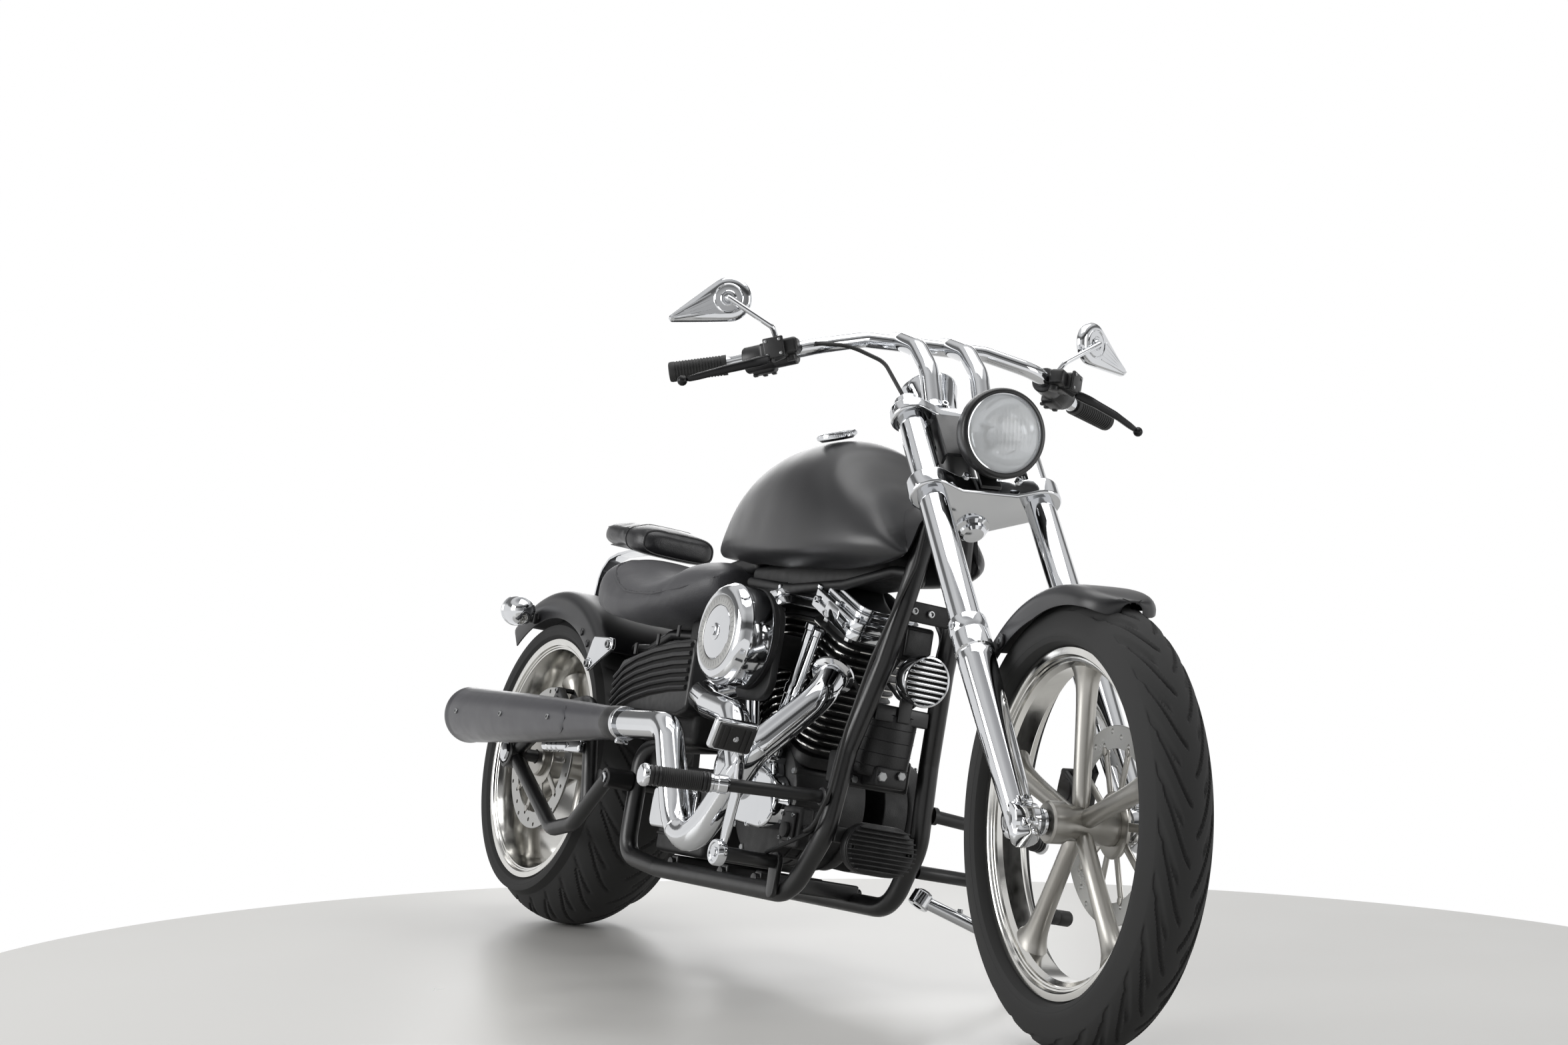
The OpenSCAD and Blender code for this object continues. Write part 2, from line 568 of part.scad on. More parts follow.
module rear_fender() {
    w = rear_fender_y;
    r = rear_fender_in;
    c = 22;
    t = sheet_t;
    color("#2a2a2e") on_chassis() wheel_arc(rear_axle, 40, 128)
        polygon([[r, -w + c], [r, w - c], [r - 7, w - 7], [r - c, w], [r - 58, w], [r - 58, w + t], [r - c + 1, w + t],
                 [r - 5, w - 4], [r + t, w - c + 2], [r + t, -w + c - 2], [r - 5, -w + 4], [r - c + 1, -w - t],
                 [r - 58, -w - t], [r - 58, -w], [r - c, -w], [r - 7, -w + 7]]);
}
module fender_brackets() {
    y = rear_fender_y + sheet_t + seat_gap;
    color("#dcdee1") on_chassis() both_sides() {
        plate(y, y + 9) {
            pear([307, 556], 14, [221, 516], 14);
            pear([307, 556], 14, [236, 560], 12);
            pear([221, 516], 14, [236, 560], 12);
        }
    }
    // pillion rail, from under the pad over the seat's back onto the fender
    r = rear_fender_in + sheet_t + seat_gap;
    color("#dcdee1") on_chassis() plate(-15, 15)
        polygon(concat([[165, pad_under(165)], [75, pad_under(75)], [0, 769], [-44, 760], [-74, 736], [-84, 716]],
                       [for (a = [102, 106, 110]) [(r + 7) * cos(a), rear_tyre_r + (r + 7) * sin(a)]],
                       [for (a = [110, 106, 102]) [r * cos(a), rear_tyre_r + r * sin(a)]],
                       [[-76, 712], [-67, 731], [-40, 753], [0, 762], [75, pad_under(75) - 7], [165, pad_under(165) - 7]]));
}
module turn_signals() {
    color("#d8dadd") on_chassis() both_sides() {
        rod([-100, 165, 618], [-138, 165, 618], 31, 29);
        rod([-70, 165, 618], [-100, 165, 618], 16, 31);
        across(-84, 606, rear_fender_y + sheet_t + seat_gap, 140, 10);
        rod([-84, 136, 606], [-84, 160, 616], 8);
    }
}
module footpegs() {
    color("#1a1a1c") on_chassis() both_sides() {
        e = [peg_end[0], peg_y, peg_end[2]];
        root = [peg_root[0], -peg_root[1], peg_root[2]];
        d = unit(e - root);
        knee = root + d * 168;
        across(root[0], root[2], root[1], root[1] + 9, 15);
        rod(root + d * 5, knee, 11);
        rod(knee - d * 2, e - d * 8, 17);
        across(e[0], e[2], peg_y - 14, peg_y, peg_cap_r);
        // passenger peg, folded forward along the swing arm
        rod([195, 184, 346], [312, 184, 350], 13);
        translate([300, arm_y + arm_r + seat_gap, 337]) cube([72, 14, 26]);
    }
}
brake_pivot = [1073, -232, 201];
shift_pivot = [1141, 232, 222];
module foot_controls() {
    color("#d6d8db") on_chassis() {
        across(brake_pivot[0], brake_pivot[2], -rail_y - tube_r - 5, -236, 12);
        plate(-rail_y - tube_r - 11, -rail_y - tube_r - seat_gap) pear([brake_pivot[0], rail_z], 12, [brake_pivot[0], brake_pivot[2]], 16);
        bent([brake_pivot + [0, 8, 0], [1097, -228, 308], [1121, -243, 353], [1160, -268, 374]], 9, [30, 25], 12);
        translate([1172, -290, 388]) rotate([0, 24, 0]) cube([24, 78, 56], center = true);
        across(shift_pivot[0], shift_pivot[2], 93.5 + tube_r + seat_gap, 236, 12);
        bent([shift_pivot - [0, 8, 0], [1210, 228, 206], [1284, 258, 190]], 9, 60, 12);
        translate([1292, 290, 186]) cube([26, 74, 30], center = true);
    }
}
module horn() {
    color("#d8dadd") on_chassis() {
        rod([1222, 0, 533], [1262, 0, 528], 43);
        rod([1206, 0, 526], [1224, 0, 531], 9);
        translate([1202 + seat_gap, -12, 458]) cube([6, 24, 76]);
    }
}
module voltage_regulator() {
    color("#1b1b1d") on_chassis() translate([1176 + seat_gap, 0, 246]) rotate([90, 0, 90])
        linear_extrude(34) pear([-24, 0], 42, [24, 0], 42);
}
module drive_belt() {
    a = [0, rear_tyre_r];
    b = [drive_shaft[0], drive_shaft[2]];
    color("#151516") on_chassis() plate(belt_y - belt_w / 2, belt_y + belt_w / 2) difference() {
        pear(a, pulley_r + seat_gap + belt_t, b, drive_pulley_r + seat_gap + belt_t);
        pear(a, pulley_r + seat_gap, b, drive_pulley_r + seat_gap);
    }
}
module rear_brake_caliper() {
    color("#1d1d1f") on_chassis() difference() {
        union() {
            wheel_arc(rear_axle, 28, 66) translate([98, -128]) square([64, 38]);
            wheel_arc(rear_axle, 22, 36) translate([112, -arm_y + arm_r + seat_gap]) square([38, 24]);
        }
        wheel_arc(rear_axle, 16, 74) translate([60, -111.2]) square([91.2, 17.4]);
    }
}
module frame_cables() {
    color("#101011") on_chassis() {
        cable([[1261.1, -49.6, 790], [1261.1, -56.6, 712], [1244, -72, 640], [1222, -88, 550], [1204, -104, 430], [1199, -112, 330],
               [1172, -118, 268], [1138, -113, 258], [1112, -94, 266], [1050, -78, 262]], 3.5);
    }
}

// ---------- steering ----------
module clamp_plate(s, thick, boss_r, back) {
    at_leg(s) difference() {
        translate([0, 0, -thick / 2]) linear_extrude(thick) {
            for (y = [-leg_y, leg_y]) translate([0, y]) circle(r = boss_r);
            translate([back, 0]) circle(r = 29);
            polygon([[back - 14, -24], [-20, -leg_y - 20], [boss_r - 8, -leg_y + 6], [boss_r - 15 - seat_gap, -leg_y + 45],
                     [boss_r - 15 - seat_gap, leg_y - 45], [boss_r - 8, leg_y - 6], [-20, leg_y + 20], [back - 14, 24]]);
        }
        for (y = [-leg_y, leg_y]) translate([0, y, -thick]) cylinder(h = 2 * thick, r = fork_tube_r + fit);
    }
}
module fork_clamps() {
    z0 = axis_z(lower_clamp_s - 40);
    z1 = axis_z(upper_clamp_s + 24);
    color("#cfd2d5") on_fork() {
        clamp_plate(lower_clamp_s, 34, 37, stem_back(lower_clamp_s));
        rod(steer_point(z0), steer_point(z1), stem_r);
        difference() {
            clamp_plate(upper_clamp_s, 24, 34, stem_back(upper_clamp_s));
            rod(steer_point(z0), steer_point(z1), stem_r);
        }
        rod(steer_point(axis_z(upper_clamp_s + 12.3)), steer_point(z1), 19);
    }
}
module fork_tubes() {
    color("#dfe1e4") on_fork() for (y = [-leg_y, leg_y]) {
        rod(on_leg(slider_top_s + seat_gap, 0, y), on_leg(upper_clamp_s + 26, 0, y), fork_tube_r);
        rod(on_leg(upper_clamp_s + 26, 0, y), on_leg(upper_clamp_s + 34, 0, y), 20);
    }
}
module fork_sliders() {
    color("#d7dadd") on_fork() difference() {
        for (y = [-leg_y, leg_y]) union() {
            rod(on_leg(-36, 0, y), on_leg(70, 0, y), 22, 24);
            rod(on_leg(70, 0, y), on_leg(300, 0, y), 24, slider_r - 1);
            rod(on_leg(300, 0, y), on_leg(slider_top_s, 0, y), slider_r);
        }
        across(front_axle[0], front_axle[2], -200, 200, axle_r + fit);
    }
}
module front_axle_rod() {
    color("#c9ccd0") on_fork() difference() {
        across(front_axle[0], front_axle[2], -leg_y - 22, leg_y + 22, axle_r);
        across(front_axle[0], front_axle[2], -leg_y - 30, leg_y + 30, axle_bore_r);
    }
}
module handlebar() {
    half = [for (i = [4 : -1 : 1]) side(bar_route[i], -1)];
    color("#dcdfe2") on_fork() {
        bent(concat(half, [for (i = [1 : 4]) bar_route[i]]), bar_r, [60, 75, 60, 60, 75, 60], 20);
        both_sides() bent([on_leg(upper_clamp_s + 12 + seat_gap, -4, 46), on_leg(upper_clamp_s + 34, -4, 46),
                             [1215, 46, 1050], [1164, 46, 1092], [1094, 46, 1112]], 16.5, [20, 70, 60], 20);
    }
}
module hand_controls() {
    color("#1a1a1c") on_fork() both_sides() {
        a = bar_route[2] + 36 * control_dir;
        difference() {
            union() {
                rod(a, a + 92 * control_dir, 23);
                facing(a, control_dir) {
                    translate([-52, -14, 6]) cube([52, 30, 34]);
                    translate([-44, -12, -16]) cube([30, 28, 70]);
                }
            }
            rod(a - 40 * control_dir, a + 120 * control_dir, bar_r + fit);
            cable(lever_route, lever_r + seat_gap, 3);
        }
    }
}
lever_r = 6.5;
lever_route = [[1100.2, 282, 1057], [1104, 318, 1044], [1094, 372, 1026], [1070, 428, 1006]];
module levers() {
    color("#19191b") on_fork() both_sides() {
        cable(lever_route, lever_r, 3);
        translate(lever_route[3]) sphere(r = 9);
    }
}
module grips() {
    color("#1a1a1c") on_fork() both_sides()
        tube(bar_route[3] + 8 * grip_dir, bar_route[4] + 5 * grip_dir, grip_r, bar_r + fit);
}
module mirrors() {
    w = mirror_face;
    u = unit(cross([0, 0, 1], w));
    v = cross(w, u);
    d = mirror_tip - mirror_hub;
    color("#d9dcdf") on_fork() both_sides() {
        facing(mirror_hub, w) translate([0, 0, -mirror_t / 2]) linear_extrude(mirror_t)
            pear([0, 0], mirror_r, [d * u, d * v], mirror_tip_r);
        bent([[1063, 264, 1094], [1072, 276, 1114], mirror_hub - 16 * w], 5, 16, 10);
    }
}
lamp = [1425, 0, 930];
module headlight() {
    color("#1c1c1e") on_fork() {
        translate(lamp) rotate([0, -90, 0]) rotate_extrude($fn = 72)
            polygon([[0, 12], [64, 12], [64, 0], [73, 0], [73, 18], [70, 30], [62, 44], [50, 58], [34, 70], [14, 78], [0, 80]]);
        at_leg(740) translate([22, -66, -44]) cube([7, 132, 92]);
        at_leg(lower_clamp_s) translate([22, -18, -10]) cube([7, 36, 66]);
        rod([1352, 0, 922], on_leg(742, 28), 18);
    }
}
module headlight_lens() {
    color("#e8ecee") on_fork() translate(lamp) rotate([0, 90, 0]) {
        translate([0, 0, -11]) cylinder(h = 12, r = 63.5);
    }
}
module speedometer() {
    c = [1128, 0, 1004];
    ax = unit([-0.62, 0, 0.78]);
    color("#d9dcdf") on_fork() {
        rod(c - 44 * ax, c + 30 * ax, 34, 51);
        rod(c + 20 * [1, 0, -0.3], on_leg(upper_clamp_s + 27, -46), 8);
    }
}
module front_fender() {
    r = front_tyre_r + front_fender_gap;
    w = front_tyre_w / 2 + 6;
    t = sheet_t;
    c = 16;
    color("#222226") on_fork() {
        wheel_arc(front_axle, 68, 134)
            polygon([[r, -w + c], [r, w - c], [r - 5, w - 5], [r - c, w], [r - 44, w], [r - 44, w + t - 0.5], [r - c, w + t - 0.5],
                     [r - 2, w - 3], [r + t, w - c + 2], [r + t, -w + c - 2], [r - 2, -w + 3], [r - c, -w - t + 0.5],
                     [r - 44, -w - t + 0.5], [r - 44, -w], [r - c, -w], [r - 5, -w + 5]]);
        // pads on the sliders
        for (s = [-1, 1]) wheel_arc(front_axle, 121, 133)
            translate([r - 43, s > 0 ? w + 1 : -(leg_y - slider_r - seat_gap)]) square([30, leg_y - slider_r - seat_gap - w - 1]);
    }
}
module front_brake_caliper() {
    color("#1c1c1e") on_fork() difference() {
        union() {
            wheel_arc(front_axle, 150, 192) translate([98, 36]) square([64, 40]);
            wheel_arc(front_axle, 128, 152) translate([112, 64]) square([36, 11]);
        }
        wheel_arc(front_axle, 120, 200) translate([60, 47]) square([92, 16]);
        rod(on_leg(-36, 0, leg_y), on_leg(70, 0, leg_y), 22 + seat_gap, 24 + seat_gap);
        rod(on_leg(70, 0, leg_y), on_leg(300, 0, leg_y), 24 + seat_gap, slider_r - 1 + seat_gap);
    }
}
module fork_cables() {
    color("#101011") on_fork() {
        cable([[1121.2, -215, 1086.8], [1111.7, -150, 1091.6], [1140, -96, 1066], [1174, -74, 1010], [1194, -66, 955], [1208, -62, 914]],
              3.5);
    }
}

// ---------- wheels ----------
// Tyre section: a round crown, side walls, and beads between the rim's edges
module tyre_section(r, half_w, crown_r, crown_a, rim_r, rim_half_w) {
    lip = rim_half_w - 4 - seat_gap;
    seat_r = rim_r - 12 + seat_gap;
    one = [[seat_r, lip], [rim_r + 2, lip], [rim_r + 6, half_w - 5], [rim_r + 14, half_w - 0.5], [rim_r + 20, half_w],
           [rim_r + 27, half_w - 2]];
    polygon(concat(one, arc([r - crown_r, 0], crown_r, crown_a, -crown_a, 20),
                   [for (i = [len(one) - 1 : -1 : 0]) [one[i][0], -one[i][1]]]));
}
// Rim section: edges, bead seats, a well, and a wall
module rim_section(rim_r, half_w, well) {
    seat_r = rim_r - 12;
    seat_w = min(22, 0.32 * half_w);
    slope = min(12, 0.2 * half_w);
    one = [[rim_r, half_w], [rim_r, half_w - 4], [seat_r, half_w - 4], [seat_r, half_w - 4 - seat_w],
           [seat_r - well, half_w - 4 - seat_w - slope]];
    in = [[rim_r - 14, half_w], [rim_r - 18, half_w - 7], [seat_r - 6, half_w - 6 - seat_w],
          [seat_r - well - 6, half_w - 6 - seat_w - slope]];
    polygon(concat(one, [for (i = [len(one) - 1 : -1 : 0]) [one[i][0], -one[i][1]]],
                   [for (p = in) [p[0], -p[1]]], [for (i = [len(in) - 1 : -1 : 0]) in[i]]));
}
module spokes(centre, n, r0, r1, thick0, thick1, phase) {
    for (i = [0 : n - 1]) {
        a = phase + 360 * i / n;
        d = [cos(a), 0, sin(a)];
        rod(centre + r0 * d, centre + r1 * d, thick0, thick1);
    }
}
module front_tyre() {
    color("#1b1b1c") on_fork() wheel_turned(front_axle)
        tyre_section(front_tyre_r, front_tyre_w / 2, front_crown_r, 62, front_rim_r, front_rim_w / 2);
}
module front_rim() {
    color("#c9c8c4") on_fork() difference() {
        union() {
            wheel_turned(front_axle) rim_section(front_rim_r, front_rim_w / 2, 8);
            across(front_axle[0], front_axle[2], -55, 57.5, 31);
            across(front_axle[0], front_axle[2], -63, 63, 20);
            spokes(front_axle, front_spokes, 24, front_rim_r - 23.5, 12, 15, 18);
        }
        across(front_axle[0], front_axle[2], -90, 90, axle_r + fit);
    }
}
module front_brake_disc() {
    color("#b9babb") on_fork() wheel_turned(front_axle) translate([31.3, 52.5]) square([front_disc_r - 31.3, 5]);
}
module rear_tyre() {
    color("#1b1b1c") on_chassis() wheel_turned(rear_axle)
        tyre_section(rear_tyre_r, rear_tyre_w / 2, rear_crown_r, 50, rear_rim_r, rear_rim_w / 2);
}
module rear_rim() {
    color("#c6c5c1") on_chassis() difference() {
        union() {
            wheel_turned(rear_axle) rim_section(rear_rim_r, rear_rim_w / 2, 14);
            across(0, rear_tyre_r, -118, 118, 38);
            across(0, rear_tyre_r, -150, 150, 24);
            spokes(rear_axle, front_spokes, 30, rear_rim_r - 30, 14, 17, 54);
        }
        across(0, rear_tyre_r, -170, 170, axle_r + fit);
    }
}
module rear_brake_disc() {
    color("#bcbdbe") on_chassis() wheel_turned(rear_axle) translate([38.3, -105]) square([rear_disc_r - 38.3, 5]);
}
module rear_pulley() {
    color("#8e8f91") on_chassis() wheel_turned(rear_axle)
        translate([24.3, belt_y - belt_w / 2 - 3]) square([pulley_r - 24.3, belt_w + 6]);
}

// ---------- side stand ----------
module side_stand() {
    color("#c9cbcd") {
        on_chassis() difference() {
            union() {
                rod(stand_pivot - stand_eye_t / 2 * stand_axis, stand_pivot + stand_eye_t / 2 * stand_axis, 19);
                bent([stand_pivot + 10 * unit(stand_knee - stand_pivot), stand_knee, stand_ankle], stand_r, 45);
            }
            rod(stand_pivot - 30 * stand_axis, stand_pivot + 30 * stand_axis, stand_pin_r + fit);
        }
        translate([stand_foot_x, stand_foot_y, 0] - origin_shift) {
            cylinder(h = stand_pad_t, r = stand_pad_r);
            translate([0, 0, stand_pad_t - eps]) cylinder(h = 9, r1 = 18, r2 = 9);
        }
    }
}

frame();
swingarm();
crankcase();
cylinders();
rocker_covers();
cam_cover();
air_cleaner();
primary_cover();
gearbox();
oil_tank();
exhaust_pipes();
muffler();
fuel_tank();
fuel_cap();
seat();
pillion_pad();
rear_fender();
fender_brackets();
turn_signals();
footpegs();
foot_controls();
horn();
voltage_regulator();
drive_belt();
rear_brake_caliper();
frame_cables();
fork_clamps();
fork_tubes();
fork_sliders();
front_axle_rod();  // front_axle
handlebar();
hand_controls();
levers();
grips();
mirrors();
headlight();
headlight_lens();
speedometer();
front_fender();
front_brake_caliper();
fork_cables();
front_tyre();
front_rim();
front_brake_disc();
rear_tyre();
rear_rim();
rear_brake_disc();
rear_pulley();
side_stand();
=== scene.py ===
"""Chopper motorcycle: the finished visual model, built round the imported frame."""

from __future__ import annotations

import json
import logging
import math
from dataclasses import dataclass, field
from enum import Enum
from functools import partial
from typing import Callable, Iterable, Sequence

import bpy
from mathutils import Matrix, Vector

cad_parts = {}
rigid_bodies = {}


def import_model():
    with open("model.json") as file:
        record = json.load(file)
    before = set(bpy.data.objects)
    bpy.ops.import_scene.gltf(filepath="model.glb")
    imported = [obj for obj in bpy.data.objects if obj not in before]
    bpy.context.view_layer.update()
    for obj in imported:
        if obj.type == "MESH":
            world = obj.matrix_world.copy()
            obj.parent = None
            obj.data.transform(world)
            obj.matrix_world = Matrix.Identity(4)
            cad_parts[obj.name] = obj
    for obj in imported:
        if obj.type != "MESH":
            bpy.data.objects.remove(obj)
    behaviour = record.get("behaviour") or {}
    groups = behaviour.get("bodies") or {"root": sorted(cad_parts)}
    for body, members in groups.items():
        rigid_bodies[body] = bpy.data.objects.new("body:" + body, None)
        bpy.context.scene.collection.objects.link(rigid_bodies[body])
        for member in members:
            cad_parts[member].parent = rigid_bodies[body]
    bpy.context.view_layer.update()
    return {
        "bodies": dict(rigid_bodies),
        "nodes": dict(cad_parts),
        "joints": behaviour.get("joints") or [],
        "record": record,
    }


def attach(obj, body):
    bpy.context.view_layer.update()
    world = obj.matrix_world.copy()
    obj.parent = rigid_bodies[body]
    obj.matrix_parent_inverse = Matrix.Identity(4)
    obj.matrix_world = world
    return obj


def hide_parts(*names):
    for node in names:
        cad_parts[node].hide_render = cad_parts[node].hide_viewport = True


LOG = logging.getLogger("chopper")
MM = 0.001
Point = tuple[float, float, float]


# ---------- places ----------
@dataclass(frozen=True)
class Stance:
    """How the parked machine stands: all sizes in millimetres and degrees."""

    lean: float = 10.65
    pitch: float = -0.0299877
    bar_turn: float = -10.35
    rake: float = 37.17
    wheelbase: float = 1758.0
    trail: float = 157.6
    lean_height: float = 130.0
    origin: Point = (880.323, 131.394, 0.0)

    def chassis(self) -> Matrix:
        """Returns the matrix from the upright machine, in mm, to the frame, in metres."""
        tip = Matrix.Rotation(math.radians(self.pitch), 4, "Y")
        up = Matrix.Translation((0, 0, self.lean_height))
        roll = up @ Matrix.Rotation(math.radians(-self.lean), 4, "X") @ up.inverted()
        shift = Matrix.Translation([-c for c in self.origin])
        return Matrix.Scale(MM, 4) @ shift @ tip @ roll

    def fork(self) -> Matrix:
        """Returns the same matrix for what turns with the bars."""
        rake = math.radians(self.rake)
        axis = Vector((-math.sin(rake), 0, math.cos(rake)))
        foot = Matrix.Translation((self.wheelbase + self.trail, 0, 0))
        turn = Matrix.Rotation(math.radians(self.bar_turn), 4, axis)
        return self.chassis() @ foot @ turn @ foot.inverted()


STANCE = Stance()
CHASSIS = STANCE.chassis()
FORK = STANCE.fork()


class Body(Enum):
    """The moving bodies, by the frame's names."""

    CHASSIS = "chassis"
    STEERING = "steering"
    FRONT_WHEEL = "front_wheel"
    REAR_WHEEL = "rear_wheel"
    STAND = "side_stand"

    def matrix(self) -> Matrix:
        """Returns the matrix from the machine's millimetres to the frame."""
        return FORK if self in (Body.STEERING, Body.FRONT_WHEEL) else CHASSIS


FRONT_AXLE = Vector((1758.0, 0.0, 331.0))
REAR_AXLE = Vector((0.0, 0.0, 324.5))


def wheel_point(axle: Vector, degrees: float, radius: float, y: float) -> Vector:
    """Returns a point round a wheel's axle."""
    t = math.radians(degrees)
    return axle + Vector((radius * math.cos(t), y, radius * math.sin(t)))


# ---------- colours and nodes ----------
def linear(code: str, alpha: float = 1.0) -> tuple[float, float, float, float]:
    """Turns an sRGB hex colour into Blender's linear colour.

    Args:
        code: Six hex digits, with or without a leading #.
        alpha: The fourth value.

    Returns:
        Red, green, blue and alpha.
    """
    digits = code.lstrip("#")
    parts = [int(digits[i : i + 2], 16) / 255 for i in (0, 2, 4)]
    low = [c / 12.92 if c <= 0.04045 else ((c + 0.055) / 1.055) ** 2.4 for c in parts]
    return (low[0], low[1], low[2], alpha)


def add_node(tree: bpy.types.NodeTree, kind: str, links: dict | None = None, **settings) -> bpy.types.Node:
    """Adds a node with its settings and links.

    Args:
        tree: The node tree.
        kind: The node's class name, without the ShaderNode in front.
        links: Input name or number to a value, or to an output socket to link.
        settings: The node's own properties.

    Returns:
        The node.
    """
    node = tree.nodes.new("ShaderNode" + kind)
    for key, value in settings.items():
        setattr(node, key, value)
    for key, value in (links or {}).items():
        if isinstance(value, bpy.types.NodeSocket):
            tree.links.new(value, node.inputs[key])
        else:
            node.inputs[key].default_value = value
    return node


@dataclass(frozen=True)
class Finish:
    """One finish: a principled shader with colour mottling and a fine bump.

    Colours are sRGB hex. Scales are the real size of a pattern's grain in millimetres.
    """

    name: str
    slot: str
    colour: str
    second: str = ""
    metallic: float = 0.0
    rough: float = 0.5
    rough_spread: float = 0.0
    blotch_mm: float = 40.0
    grain_mm: float = 1.5
    bump: float = 0.0
    coat: float = 0.0
    coat_rough: float = 0.1
    sheen: float = 0.0
    ior: float = 1.5
    glass: float = 0.0
    emission: float = 0.0
    specular: float = 0.5
    cells: bool = False
    stretch: Point = (1.0, 1.0, 1.0)

    def build(self) -> bpy.types.Material:
        """Returns the material, made on first use."""
        found = bpy.data.materials.get(self.name)
        if found:
            return found
        material = bpy.data.materials.new(self.name)
        material.use_nodes = True
        tree = material.node_tree
        shader = tree.nodes["Principled BSDF"]
        sockets = shader.inputs
        base = linear(self.colour)
        sockets["Base Color"].default_value = base
        sockets["Metallic"].default_value = self.metallic
        sockets["Roughness"].default_value = self.rough
        if not self.metallic:
            sockets["IOR"].default_value = self.ior
        sockets["Specular IOR Level"].default_value = self.specular
        sockets["Coat Weight"].default_value = self.coat
        sockets["Coat Roughness"].default_value = self.coat_rough
        sockets["Sheen Weight"].default_value = self.sheen
        sockets["Transmission Weight"].default_value = self.glass
        if self.emission:
            sockets["Emission Color"].default_value = base
            sockets["Emission Strength"].default_value = self.emission
        place = add_node(tree, "TexCoord").outputs["Object"]
        place = add_node(tree, "Mapping", {"Vector": place, "Scale": self.stretch}).outputs[0]
        blotch = add_node(tree, "TexNoise", {"Vector": place, "Scale": 1000 / self.blotch_mm,
                                             "Detail": 4.0})
        if self.second:
            mix = add_node(tree, "MixRGB", {0: blotch.outputs[0], 1: base, 2: linear(self.second)})
            tree.links.new(mix.outputs[0], sockets["Base Color"])
        if self.rough_spread:
            low, high = self.rough - self.rough_spread, self.rough + self.rough_spread
            spread = add_node(tree, "MapRange", {0: blotch.outputs[0], 1: 0.3, 2: 0.7, 3: max(low, 0.01),
                                                 4: high})
            tree.links.new(spread.outputs[0], sockets["Roughness"])
        if self.bump:
            if self.cells:
                grain = add_node(tree, "TexVoronoi", {"Vector": place, "Scale": 1000 / self.grain_mm})
            else:
                grain = add_node(tree, "TexNoise", {"Vector": place, "Scale": 1000 / self.grain_mm,
                                                    "Detail": 3.0})
            bump = add_node(tree, "Bump", {"Height": grain.outputs[0], "Strength": self.bump,
                                           "Distance": self.grain_mm * MM * 0.5})
            tree.links.new(bump.outputs[0], sockets["Normal"])
        return material


